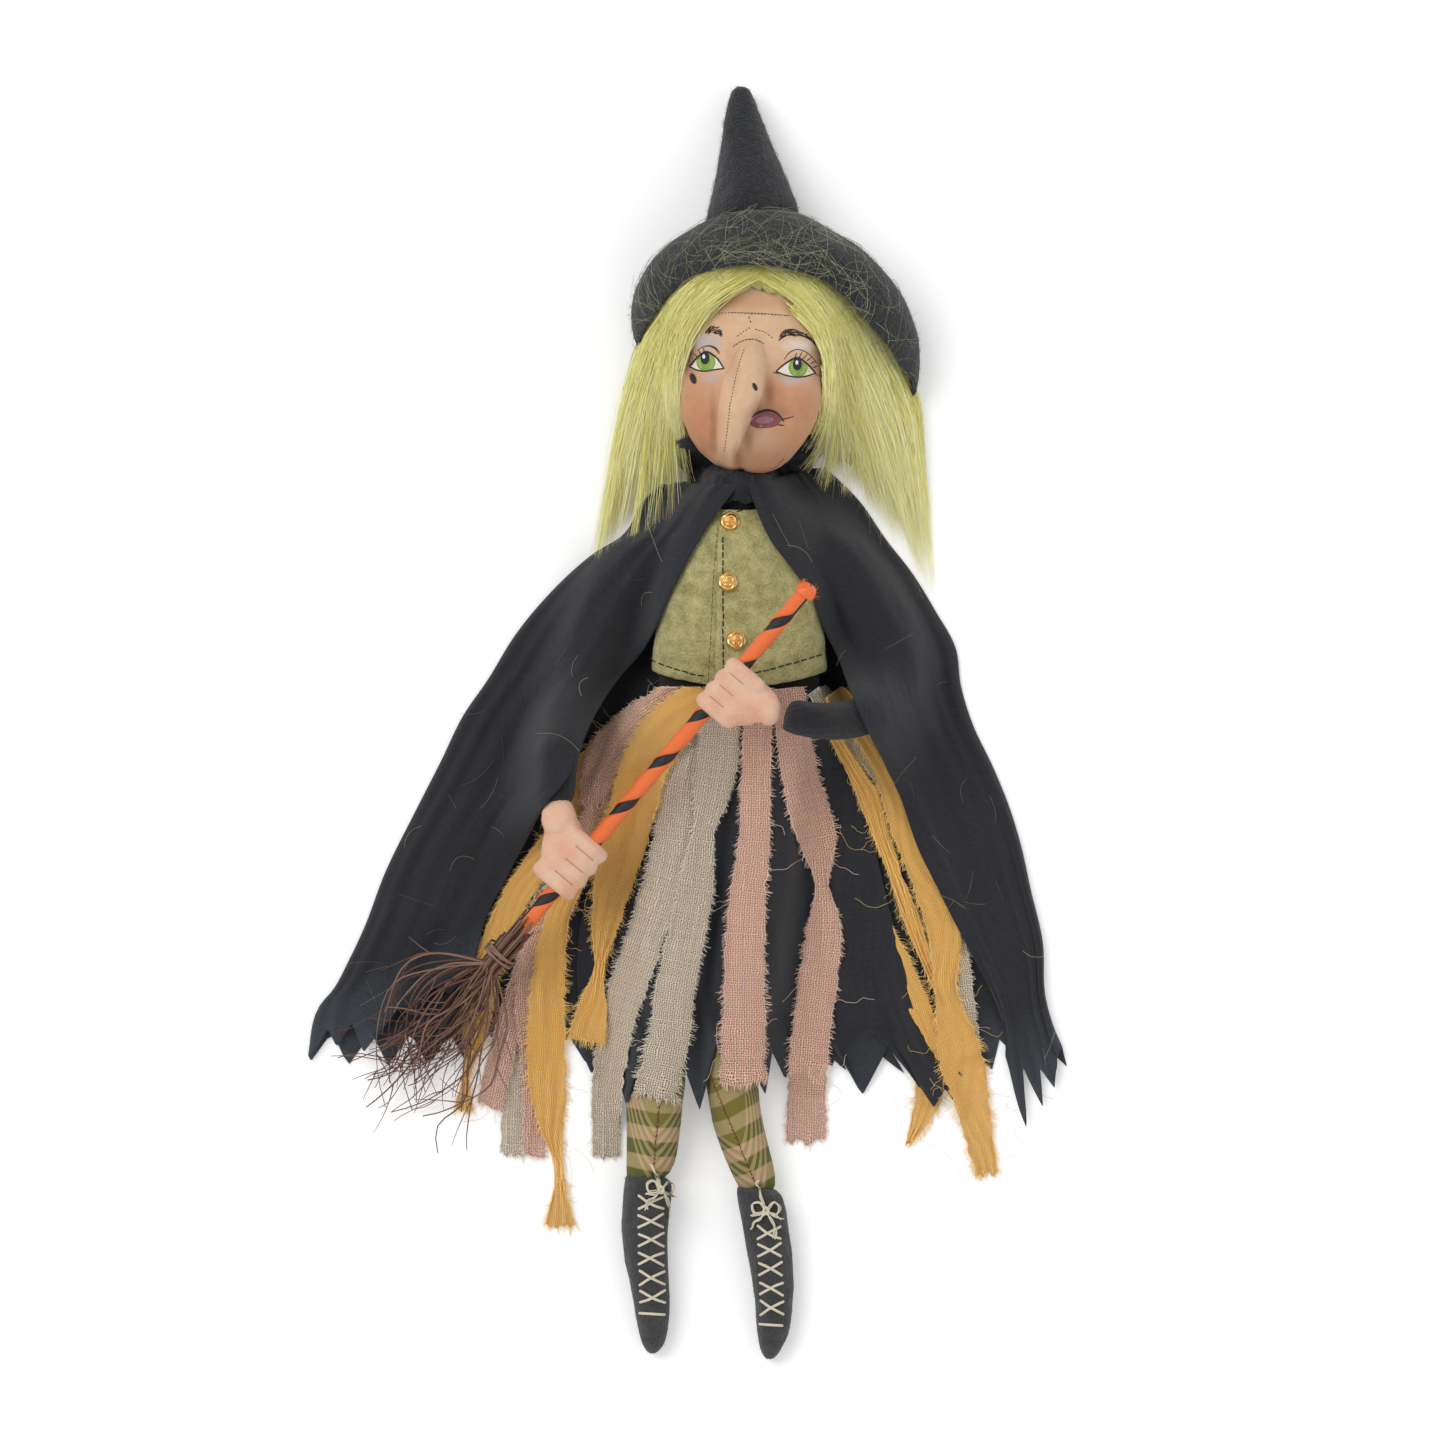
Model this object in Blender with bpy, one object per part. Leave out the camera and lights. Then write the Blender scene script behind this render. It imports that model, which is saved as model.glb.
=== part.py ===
"""A cloth witch doll that lies on its back. Metres, +Z up, +Y towards the hat's tip, +X to its left hand.

The floor is z = 0. The pieces are laid on each other in the order in which they lie on the real doll:
cape back, legs and torso, skirt, vest, rag strips, arms, cape flaps, broom. Pile keeps the height that
is already taken, so each sheet settles on what is under it.
"""

import math

import bpy
import numpy as np

# Clearances and sheet thicknesses
GAP = 0.0003
COTTON = 0.0010
FELT = 0.0020
LINEN = 0.0009
RIBBON = 0.0005

# Head, an egg with a squarish section
HEAD_CENTRE = (0.0106, 0.1528)
HEAD_HALF_WIDTH = 0.035
HEAD_HALF_LENGTH = 0.054
HEAD_HALF_DEPTH = 0.031
HEAD_SQUARENESS = 2.3
HEAD_TILT = math.radians(-4.5)
HEAD_COLUMNS = 36
HEAD_ROWS = 15

# Nose: x and y from the head's centre, height over the head's skin, radius
NOSE = [
    (0.001, 0.014, -0.004, 0.003),
    (-0.001, 0.001, 0.002, 0.008),
    (-0.004, -0.012, 0.008, 0.0105),
    (-0.008, -0.025, 0.012, 0.0085),
    (-0.011, -0.038, 0.012, 0.006),
    (-0.0125, -0.046, 0.010, 0.004),
    (-0.0128, -0.0495, 0.009, 0.002),
]

# Hair: direction round the head in degrees, how far it reaches, how high it covers the head in degrees
HAIR_THICKNESS = 0.007
HAIR_UNDER_HEAD = 0.003
HAIR_SEAT = 0.0016
HAIR_EDGE = 0.006
HAIR_CROWN_COVER = 41
HAIR_NECK_REACH = 0.012
HAIR_LOWEST = math.radians(-78)
HAIR_LIP = math.radians(4)
HAIR_SHOULDER = math.radians(20)
HAIR_LIP_SHARE = 0.6
HAIR_LEAST_LOCK = 0.003
HAIR_SLOPE = 0.55
HAIR_UNDERCUT = 0.001
HAIR = [
    (2, 0.066, 24),
    (15, 0.065, 28),
    (30, 0.063, 34),
    (50, 0.060, 40),
    (70, 0.0605, 42),
    (110, 0.0605, 44),
    (130, 0.052, 40),
    (150, 0.048, 32),
    (163, 0.049, 26),
    (175, 0.054, 23),
    (199, 0.067, 18),
    (210, 0.078, 10),
    (220, 0.088, 0),
    (230, 0.062, -10),
    (240, 0.050, -22),
    (250, 0.046, -32),
    (270, 0.044, -38),
    (290, 0.046, -34),
    (300, 0.050, -26),
    (310, 0.058, -14),
    (315, 0.094, -6),
    (324, 0.101, 4),
    (335, 0.088, 13),
    (346, 0.076, 20),
]

# Hat: the cone's centre line with its radius, and the bell of the brim
HAT_BASE_RADIUS = 0.024
HAT_CONE = [
    (0.0113, 0.2170, 0.0300, 1.00),
    (0.0106, 0.2294, 0.0260, 0.85),
    (0.0082, 0.2496, 0.0200, 0.60),
    (0.0055, 0.2760, 0.0130, 0.28),
    (0.0053, 0.2825, 0.0112, 0.19),
    (0.0053, 0.2846, 0.0106, 0.09),
]
BRIM_ROWS = 5
BRIM_COLUMNS = 36
BRIM_BEND = [
    (0.082, 0.184, 0.028),
    (0.072, 0.196, 0.048),
    (0.048, 0.207, 0.064),
    (0.014, 0.210, 0.068),
    (-0.014, 0.206, 0.062),
    (-0.034, 0.201, 0.045),
    (-0.043, 0.190, 0.026),
    (-0.040, 0.188, 0.009),
    (-0.015, 0.190, 0.0045),
    (0.015, 0.190, 0.0040),
    (0.048, 0.190, 0.0045),
    (0.076, 0.186, 0.0110),
]
BRIM_EDGE = [
    (0.087, 0.143, 0.020),
    (0.068, 0.168, 0.050),
    (0.045, 0.191, 0.070),
    (0.015, 0.198, 0.078),
    (-0.010, 0.196, 0.068),
    (-0.028, 0.186, 0.050),
    (-0.041, 0.166, 0.022),
    (-0.041, 0.156, 0.007),
    (-0.024, 0.150, 0.0023),
    (0.020, 0.150, 0.0022),
    (0.060, 0.143, 0.0023),
    (0.084, 0.134, 0.006),
]

# Torso: y, half width, half height, and how far it lies over its own floor
BODY_X = 0.0045
TORSO_FLOOR = COTTON + FELT + COTTON + 3 * GAP
TORSO = [
    (0.0940, 0.0100, 0.0090, 0.0200),
    (0.0880, 0.0125, 0.0110, 0.0155),
    (0.0830, 0.0210, 0.0150, 0.0060),
    (0.0760, 0.0300, 0.0190, 0.0),
    (0.0620, 0.0335, 0.0215, 0.0),
    (0.0450, 0.0350, 0.0225, 0.0),
    (0.0200, 0.0375, 0.0215, 0.0),
    (0.0040, 0.0390, 0.0195, 0.0),
    (-0.0100, 0.0390, 0.0175, 0.0),
    (-0.0240, 0.0370, 0.0160, 0.0),
    (-0.0300, 0.0300, 0.0120, 0.0030),
    (-0.0320, 0.0200, 0.0070, 0.0080),
]
TORSO_SIDES = 24

# Vest, wrapped once round the torso, its front edges one on the other
VEST_TOP = 0.0815
VEST_HEM = -0.0035
VEST_HEM_RISE = 0.0075
VEST_START = math.radians(92)
VEST_WRAP = math.radians(374)
VEST_STEP_OUT = math.radians(335)
VEST_COLUMNS = 32

# Rose buttons
BUTTON_BASE = 0.80
BUTTON_RADIUS = 0.0049
BUTTON_HEIGHT = 0.0032
BUTTON_PLACES = {"top": (0.0000, 0.0760), "middle": (-0.0010, 0.0470), "bottom": (0.0030, 0.0190)}
BUTTON_SIDES = 15

# Gathered tie round the neck
TIE_BELOW_HEAD = 0.0033
TIE_Y = HEAD_CENTRE[1] - HEAD_HALF_LENGTH - TIE_BELOW_HEAD
TIE_RADIUS = 0.0018
TIE_RUFFLES = 8

# Legs: x, y, radius. Boots: x, y, half width, half height
LEG_FLOOR = COTTON + COTTON + 2 * GAP
LEG_LEFT = [
    (-0.013, -0.0323, 0.0150),
    (-0.024, -0.1060, 0.0150),
    (-0.033, -0.1630, 0.0145),
    (-0.036, -0.1990, 0.0140),
    (-0.038, -0.2370, 0.0118),
]
LEG_RIGHT = [
    (0.0185, -0.0323, 0.0150),
    (0.0120, -0.1060, 0.0145),
    (0.0040, -0.1630, 0.0135),
    (0.0000, -0.1970, 0.0128),
    (0.0135, -0.2425, 0.0110),
]
BOOT_LEFT = [
    (-0.0382, -0.2376, 0.0124, 0.0124),
    (-0.0410, -0.2570, 0.0118, 0.0115),
    (-0.0410, -0.2740, 0.0110, 0.0108),
    (-0.0380, -0.2930, 0.0092, 0.0095),
    (-0.0370, -0.3090, 0.0080, 0.0085),
    (-0.0368, -0.3190, 0.0055, 0.0065),
    (-0.0368, -0.3225, 0.0025, 0.0035),
]
BOOT_RIGHT = [
    (0.0137, -0.2432, 0.0116, 0.0116),
    (0.0170, -0.2620, 0.0112, 0.0112),
    (0.0200, -0.2790, 0.0108, 0.0106),
    (0.0215, -0.2980, 0.0094, 0.0095),
    (0.0205, -0.3140, 0.0078, 0.0082),
    (0.0193, -0.3220, 0.0052, 0.0062),
    (0.0190, -0.3248, 0.0024, 0.0034),
]
LEG_SIDES = 16

# Bootlaces: rows of the zigzag, their pitch and half width, and the bow
LACE_RADIUS = 0.0007
LACE_ROWS = 7
LACE_PITCH = 0.0095
LACE_HALF_WIDTH = 0.0055
LACE_BELOW_KNOT = 0.006
BOW_APART = 0.001
KNOT_HALF = 0.0035
KNOT_TO_LACE = (0.003, -0.004)
LACE_FROM_CUFF = 0.0100
BOW_LENGTH = 0.0120
BOW_WIDTH = 0.0050

# Skirt: its sides in plan, and how the tube flattens from the waist to the hem
SKIRT_LEFT = [
    (-0.0360, -0.0045),
    (-0.0520, -0.0290),
    (-0.0610, -0.0580),
    (-0.0680, -0.0960),
    (-0.0740, -0.1340),
    (-0.0700, -0.1930),
]
SKIRT_RIGHT = [
    (0.0450, -0.0045),
    (0.0610, -0.0290),
    (0.0700, -0.0820),
    (0.0820, -0.1300),
    (0.0960, -0.1820),
    (0.1030, -0.1960),
]
SKIRT_ROWS = 9
SKIRT_TUCK = 0.0065
SKIRT_COLUMNS = 36
SKIRT_HEM_HEIGHT = 0.010
SKIRT_PLEAT = 0.0018
SKIRT_PLEATS = 7
SKIRT_TOOTH = 0.011
SKIRT_TOOTH_COLUMNS = 4

# Cape: front edges and side folds in plan, from the neck to the hem
CAPE_LEFT_INNER = [
    (-0.0030, 0.0880),
    (-0.0140, 0.0670),
    (-0.0340, 0.0290),
    (-0.0430, 0.0100),
    (-0.0620, -0.0290),
    (-0.0790, -0.0580),
    (-0.0980, -0.0860),
    (-0.1160, -0.1110),
    (-0.1240, -0.1380),
]
CAPE_LEFT_OUTER = [
    (-0.0380, 0.0925),
    (-0.0580, 0.0650),
    (-0.0820, 0.0430),
    (-0.1010, 0.0220),
    (-0.1150, 0.0000),
    (-0.1300, -0.0240),
    (-0.1390, -0.0480),
    (-0.1490, -0.0720),
    (-0.1580, -0.0910),
    (-0.1680, -0.1180),
    (-0.1850, -0.1460),
    (-0.2000, -0.1750),
]
CAPE_RIGHT_OUTER = [
    (0.0430, 0.0980),
    (0.0580, 0.0870),
    (0.0720, 0.0700),
    (0.0940, 0.0380),
    (0.1130, -0.0050),
    (0.1220, -0.0380),
    (0.1340, -0.0670),
    (0.1440, -0.1060),
    (0.1490, -0.1300),
    (0.1520, -0.1540),
    (0.1580, -0.1780),
]
CAPE_RIGHT_INNER = [
    (0.0150, 0.0880),
    (0.0510, 0.0190),
    (0.0640, -0.0140),
    (0.0840, -0.0630),
    (0.0970, -0.0950),
    (0.1140, -0.1280),
    (0.1270, -0.1550),
    (0.1340, -0.1860),
]
CAPE_ROWS = 12
CAPE_FLAP_COLUMNS = 12
CAPE_BACK_COLUMNS = 20
CAPE_FOLD_HEIGHT = 0.0022
CAPE_FLAP_HEIGHT = 0.0036
CAPE_FOLD_INSET = 0.003
CAPE_RIPPLE = 0.0022
CAPE_RIPPLES = 2.5
CAPE_TOOTH = 0.008
CAPE_TOOTH_COLUMNS = 4

# Broomstick in plan, with its ribbon, and the places of the two hands on it
STICK_TOP = (0.0360, 0.0422)
STICK_END = (-0.1120, -0.1337)
STICK_RADIUS = 0.0032
STICK_SIDES = 12
RIBBON_PITCH = 0.029
RIBBON_WIDTH = 0.022
RIBBON_STEPS = 9
RIBBON_START = 0.002
RIBBON_END = 0.214
GRIP_RIGHT = 0.052
GRIP_LEFT = 0.168

# Twigs: their tips in plan, from one side of the brush to the other
TWIG_RADIUS = 0.0010
TWIG_TIP_RADIUS = 0.0006
TWIG_SIDES = 5
TWIG_OVERLAP = 0.012
TWIG_TIPS = [
    (-0.1850, -0.1720),
    (-0.1880, -0.1830),
    (-0.1800, -0.1880),
    (-0.1780, -0.2000),
    (-0.1680, -0.2060),
    (-0.1620, -0.2150),
    (-0.1500, -0.2100),
    (-0.1420, -0.2140),
    (-0.1330, -0.2010),
    (-0.1250, -0.1920),
]
BINDING_FROM_END = 0.004
BINDING_SIDES = 16
TWIG_BEND = 0.006
TWIG_FIRST_TURN = math.radians(9)
BINDING_WIDTH = 0.005
BINDING_THICKNESS = 0.0014

# Arms from the shoulder to the finger tips: x, y, z, radius. The hand starts at HAND_FROM
SHOULDER_Y = 0.064
ARM_SIDES = 14
WRIST_RISE = 0.004
ARM_LEFT = [
    (-0.0560, 0.0480, 0.0200, 0.0095),
    (-0.0660, 0.0200, 0.0150, 0.0098),
    (-0.0740, -0.0080, 0.0150, 0.0098),
    (-0.0815, -0.0380, 0.0190, 0.0090),
    (-0.0820, -0.0600, 0.0240, 0.0080),
]
ARM_RIGHT = [
    (0.0600, 0.0500, 0.0200, 0.0095),
    (0.0760, 0.0260, 0.0180, 0.0100),
    (0.0800, 0.0020, 0.0200, 0.0102),
    (0.0680, -0.0160, 0.0300, 0.0102),
    (0.0450, -0.0200, 0.0400, 0.0095),
    (0.0270, -0.0165, 0.0440, 0.0080),
]
HAND_LEFT = [
    (-0.0805, -0.0600, 0.0078, 0.0075),
    (-0.0795, -0.0680, 0.0100, 0.0085),
    (-0.0780, -0.0800, 0.0135, 0.0095),
    (-0.0785, -0.0920, 0.0125, 0.0092),
    (-0.0815, -0.1000, 0.0080, 0.0070),
    (-0.0825, -0.1030, 0.0035, 0.0035),
]
HAND_RIGHT = [
    (0.0270, -0.0165, 0.0078, 0.0075),
    (0.0200, -0.0140, 0.0105, 0.0085),
    (0.0080, -0.0095, 0.0150, 0.0095),
    (-0.0030, -0.0090, 0.0135, 0.0092),
    (-0.0110, -0.0120, 0.0085, 0.0070),
    (-0.0140, -0.0135, 0.0035, 0.0035),
]

# Rag strips in the order in which they lie: x, y, width
STRIPS = {
    "strip_yellow_right_hem": [
        (0.0350, -0.0085, 0.0110),
        (0.0576, -0.0816, 0.0125),
        (0.0768, -0.1440, 0.0134),
        (0.0902, -0.1920, 0.0134),
        (0.0874, -0.2222, 0.0067),
    ],
    "strip_taupe_right": [
        (0.0440, -0.0080, 0.0100),
        (0.0816, -0.0576, 0.0125),
        (0.1056, -0.1200, 0.0125),
        (0.1142, -0.1776, 0.0125),
    ],
    "strip_taupe_left": [
        (-0.0330, -0.0080, 0.0080),
        (-0.0595, -0.0384, 0.0125),
        (-0.0739, -0.0720, 0.0125),
        (-0.0883, -0.1056, 0.0125),
        (-0.0979, -0.1440, 0.0125),
        (-0.1022, -0.1824, 0.0125),
        (-0.1042, -0.2280, 0.0120),
    ],
    "strip_yellow_left": [
        (-0.0320, -0.0085, 0.0080),
        (-0.0662, -0.0384, 0.0115),
        (-0.0816, -0.0720, 0.0125),
        (-0.1037, -0.1056, 0.0125),
        (-0.1162, -0.1344, 0.0125),
        (-0.1224, -0.1680, 0.0115),
        (-0.1272, -0.1934, 0.0038),
        (-0.1282, -0.2074, 0.0096),
    ],
    "strip_pink_left_inner": [
        (-0.0300, -0.0090, 0.0080),
        (-0.0528, -0.0384, 0.0125),
        (-0.0662, -0.0720, 0.0125),
        (-0.0806, -0.1056, 0.0125),
        (-0.0960, -0.1368, 0.0125),
        (-0.1080, -0.1728, 0.0125),
        (-0.1157, -0.2054, 0.0125),
    ],
    "strip_pink_left": [
        (-0.0260, -0.0095, 0.0144),
        (-0.0432, -0.0288, 0.0173),
        (-0.0576, -0.0576, 0.0182),
        (-0.0720, -0.0840, 0.0154),
        (-0.0869, -0.1109, 0.0125),
        (-0.0974, -0.1450, 0.0115),
        (-0.0946, -0.1824, 0.0115),
        (-0.0936, -0.2285, 0.0106),
    ],
    "strip_pink_fold": [
        (-0.0240, -0.0100, 0.0160),
        (-0.0400, -0.0200, 0.0220),
        (-0.0560, -0.0330, 0.0200),
        (-0.0640, -0.0460, 0.0150),
        (-0.0650, -0.0600, 0.0115),
    ],
    "strip_yellow_left_long": [
        (-0.0190, -0.0100, 0.0106),
        (-0.0360, -0.0312, 0.0115),
        (-0.0504, -0.0576, 0.0125),
        (-0.0610, -0.0778, 0.0096),
        (-0.0749, -0.0984, 0.0086),
        (-0.0835, -0.1176, 0.0115),
        (-0.0869, -0.1402, 0.0154),
        (-0.0883, -0.1776, 0.0182),
        (-0.0864, -0.2088, 0.0144),
        (-0.0826, -0.2347, 0.0043),
        (-0.0816, -0.2630, 0.0144),
    ],
    "strip_taupe_middle_under": [
        (-0.0130, -0.0100, 0.0130),
        (-0.0250, -0.0480, 0.0173),
        (-0.0283, -0.0816, 0.0182),
        (-0.0360, -0.1104, 0.0178),
        (-0.0442, -0.1344, 0.0173),
        (-0.0518, -0.1584, 0.0163),
        (-0.0581, -0.1872, 0.0154),
        (-0.0595, -0.2294, 0.0130),
    ],
    "strip_yellow_front": [
        (-0.0150, -0.0095, 0.0163),
        (-0.0298, -0.0230, 0.0211),
        (-0.0408, -0.0408, 0.0221),
        (-0.0470, -0.0634, 0.0221),
        (-0.0542, -0.0912, 0.0192),
        (-0.0605, -0.1200, 0.0125),
        (-0.0629, -0.1378, 0.0048),
        (-0.0662, -0.1584, 0.0144),
        (-0.0696, -0.1738, 0.0173),
    ],
    "strip_taupe_middle": [
        (-0.0038, -0.0090, 0.0173),
        (-0.0077, -0.0480, 0.0192),
        (-0.0130, -0.0739, 0.0096),
        (-0.0158, -0.0960, 0.0163),
        (-0.0192, -0.1152, 0.0178),
        (-0.0259, -0.1464, 0.0187),
        (-0.0298, -0.1728, 0.0197),
        (-0.0360, -0.1997, 0.0202),
    ],
    "strip_pink_middle": [
        (0.0130, -0.0085, 0.0134),
        (0.0125, -0.0480, 0.0139),
        (0.0115, -0.0787, 0.0149),
        (0.0086, -0.1032, 0.0173),
        (0.0067, -0.1498, 0.0202),
        (0.0062, -0.1934, 0.0216),
    ],
    "strip_pink_right": [
        (0.0288, -0.0085, 0.0154),
        (0.0336, -0.0456, 0.0173),
        (0.0418, -0.0758, 0.0182),
        (0.0442, -0.0979, 0.0072),
        (0.0451, -0.1200, 0.0163),
        (0.0422, -0.1464, 0.0182),
        (0.0389, -0.1718, 0.0182),
        (0.0370, -0.1944, 0.0182),
        (0.0365, -0.2218, 0.0192),
    ],
    "strip_yellow_right_thin": [
        (0.0430, -0.0100, 0.0067),
        (0.0566, -0.0360, 0.0067),
        (0.0682, -0.0648, 0.0077),
        (0.0782, -0.0960, 0.0067),
        (0.0883, -0.1248, 0.0067),
        (0.0960, -0.1480, 0.0077),
    ],
    "strip_yellow_right": [
        (0.0460, -0.0060, 0.0106),
        (0.0662, -0.0312, 0.0125),
        (0.0802, -0.0720, 0.0144),
        (0.0936, -0.1056, 0.0144),
        (0.1032, -0.1464, 0.0115),
        (0.1104, -0.1790, 0.0211),
        (0.1176, -0.2088, 0.0154),
        (0.1234, -0.2381, 0.0106),
    ],
}
STRIP_SPACING = 0.016
STRIP_BELOW_HEM = 0.001

# Grid of the pile
PILE_CELL = 0.0015
PILE_CORNER = (-0.24, -0.36)
PILE_SHAPE = (320, 440)
PILE_PASSES = 60

COLOURS = {
    "black_cotton": ((0.020, 0.021, 0.024), 0.9, 0.0),
    "black_felt": ((0.018, 0.018, 0.020), 0.95, 0.0),
    "black_knit": ((0.012, 0.012, 0.013), 0.9, 0.0),
    "lime_fur": ((0.56, 0.60, 0.10), 0.7, 0.0),
    "muslin": ((0.70, 0.36, 0.20), 0.85, 0.0),
    "hand_cloth": ((0.74, 0.45, 0.30), 0.85, 0.0),
    "olive_felt": ((0.25, 0.25, 0.07), 0.95, 0.0),
    "gold": ((0.85, 0.55, 0.18), 0.3, 1.0),
    "pink_linen": ((0.50, 0.26, 0.20), 0.9, 0.0),
    "taupe_linen": ((0.37, 0.33, 0.25), 0.9, 0.0),
    "yellow_gauze": ((0.76, 0.46, 0.08), 0.9, 0.0),
    "plaid": ((0.24, 0.22, 0.06), 0.9, 0.0),
    "stuffed_body": ((0.06, 0.06, 0.06), 0.9, 0.0),
    "cream_lace": ((0.80, 0.72, 0.52), 0.8, 0.0),
    "black_wood": ((0.015, 0.013, 0.012), 0.6, 0.0),
    "orange_satin": ((0.90, 0.14, 0.02), 0.35, 0.0),
    "twig": ((0.06, 0.03, 0.02), 0.8, 0.0),
}


def clear_scene():
    """Removes every object that the scene starts with."""
    for obj in list(bpy.data.objects):
        bpy.data.objects.remove(obj, do_unlink=True)


def material(name):
    """The named material, made once."""
    found = bpy.data.materials.get(name)
    if found:
        return found
    colour, roughness, metallic = COLOURS[name]
    made = bpy.data.materials.new(name)
    made.use_nodes = True
    shader = made.node_tree.nodes["Principled BSDF"]
    shader.inputs["Base Color"].default_value = (*colour, 1.0)
    shader.inputs["Roughness"].default_value = roughness
    shader.inputs["Metallic"].default_value = metallic
    return made


def add_object(name, points, triangles, material_name):
    """One closed body from points and outward triangles."""
    mesh = bpy.data.meshes.new(name)
    mesh.from_pydata([tuple(point) for point in points], [], [tuple(corners) for corners in triangles])
    mesh.materials.append(material(material_name))
    corners = np.asarray(points)[np.asarray(triangles)]
    if np.linalg.det(corners).sum() < 0:
        mesh.flip_normals()
    mesh.shade_smooth()
    mesh.set_sharp_from_angle(angle=math.radians(50))
    obj = bpy.data.objects.new(name, mesh)
    bpy.context.scene.collection.objects.link(obj)
    return obj


def smooth(points, count):
    """Evenly spaced points on a smooth curve through the chosen ones. Spacing is measured in plan."""
    chosen = np.array(points, float)
    steps = np.linalg.norm(np.diff(chosen[:, :2], axis=0), axis=1)
    knots = np.concatenate([[0.0], np.cumsum(steps)])
    slopes = np.gradient(chosen, knots, axis=0)
    places = np.linspace(0, knots[-1], count)
    i = np.clip(np.searchsorted(knots, places) - 1, 0, len(chosen) - 2)
    span = (knots[i + 1] - knots[i])[:, None]
    s = (places - knots[i])[:, None] / span
    start = (2 * s**3 - 3 * s**2 + 1) * chosen[i] + (s**3 - 2 * s**2 + s) * span * slopes[i]
    end = (3 * s**2 - 2 * s**3) * chosen[i + 1] + (s**3 - s**2) * span * slopes[i + 1]
    return start + end


def smooth_loop(points, count):
    """Points on a smooth closed curve through the chosen ones, which are a whole share of count."""
    chosen = np.array(points, float)
    each = count // len(chosen)
    made = []
    for k in range(len(chosen)):
        before, start, end, after = (chosen[(k + step) % len(chosen)] for step in (-1, 0, 1, 2))
        for part in range(each):
            s = part / each
            made.append(
                (2 * s**3 - 3 * s**2 + 1) * start
                + (s**3 - 2 * s**2 + s) * (end - before) / 2
                + (3 * s**2 - 2 * s**3) * end
                + (s**3 - s**2) * (after - start) / 2
            )
    return np.array(made)


def unit(vectors):
    """The vectors, each one metre long."""
    return vectors / np.linalg.norm(vectors, axis=-1, keepdims=True)


def grid_normals(grid, wrap):
    """The surface's direction at each point of a grid of rows and columns."""
    if wrap:
        along = np.roll(grid, -1, axis=1) - np.roll(grid, 1, axis=1)
    else:
        along = np.gradient(grid, axis=1)
    return unit(np.cross(along, np.gradient(grid, axis=0)))


def grid_triangles(rows, columns, wrap):
    """Two triangles for each cell of a grid."""
    made = []
    for row in range(rows - 1):
        for column in range(columns if wrap else columns - 1):
            beside = (column + 1) % columns
            a = row * columns + column
            b = row * columns + beside
            made += [(a, b, b + columns), (a, b + columns, a + columns)]
    return made


def sheet(name, inner, outer, wrap, material_name):
    """A closed sheet between two grids of points. A wrapped one is a tube that is open at both ends."""
    rows, columns = inner.shape[:2]
    count = rows * columns
    face = grid_triangles(rows, columns, wrap)
    triangles = [tuple(i + count for i in corners) for corners in face]
    triangles += [corners[::-1] for corners in face]
    edges = []
    for column in range(columns if wrap else columns - 1):
        beside = (column + 1) % columns
        edges.append((column, beside))
        edges.append((count - columns + beside, count - columns + column))
    if not wrap:
        for row in range(rows - 1):
            edges.append(((row + 1) * columns, row * columns))
            edges.append(((row + 1) * columns - 1, (row + 2) * columns - 1))
    for start, end in edges:
        triangles += [(start, end, end + count), (start, end + count, start + count)]
    points = np.concatenate([inner.reshape(-1, 3), outer.reshape(-1, 3)])
    return add_object(name, points, triangles, material_name)


def loft(name, rings, material_name):
    """A closed body through rings of equal count, with a fan over each end."""
    rings = np.asarray(rings)
    rows, columns = rings.shape[:2]
    points = np.concatenate([rings.reshape(-1, 3), [rings[0].mean(axis=0)], [rings[-1].mean(axis=0)]])
    triangles = grid_triangles(rows, columns, True)
    last = (rows - 1) * columns
    for column in range(columns):
        beside = (column + 1) % columns
        triangles.append((beside, column, rows * columns))
        triangles.append((last + column, last + beside, rows * columns + 1))
    add_object(name, points, triangles, material_name)
    return points, triangles


def rings_along(path, half_widths, half_heights, sides):
    """Elliptical rings square to a path, their second axis as upright as the path allows."""
    path = np.asarray(path, float)
    ahead = unit(np.gradient(path, axis=0))
    across = unit(np.cross(ahead, (0.0, 0.0, 1.0)))
    up = np.cross(across, ahead)
    turns = np.linspace(0, 2 * math.pi, sides, endpoint=False)
    wide = np.cos(turns)[None, :, None] * across[:, None] * np.asarray(half_widths)[:, None, None]
    high = np.sin(turns)[None, :, None] * up[:, None] * np.asarray(half_heights)[:, None, None]
    return path[:, None] + wide + high


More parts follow.
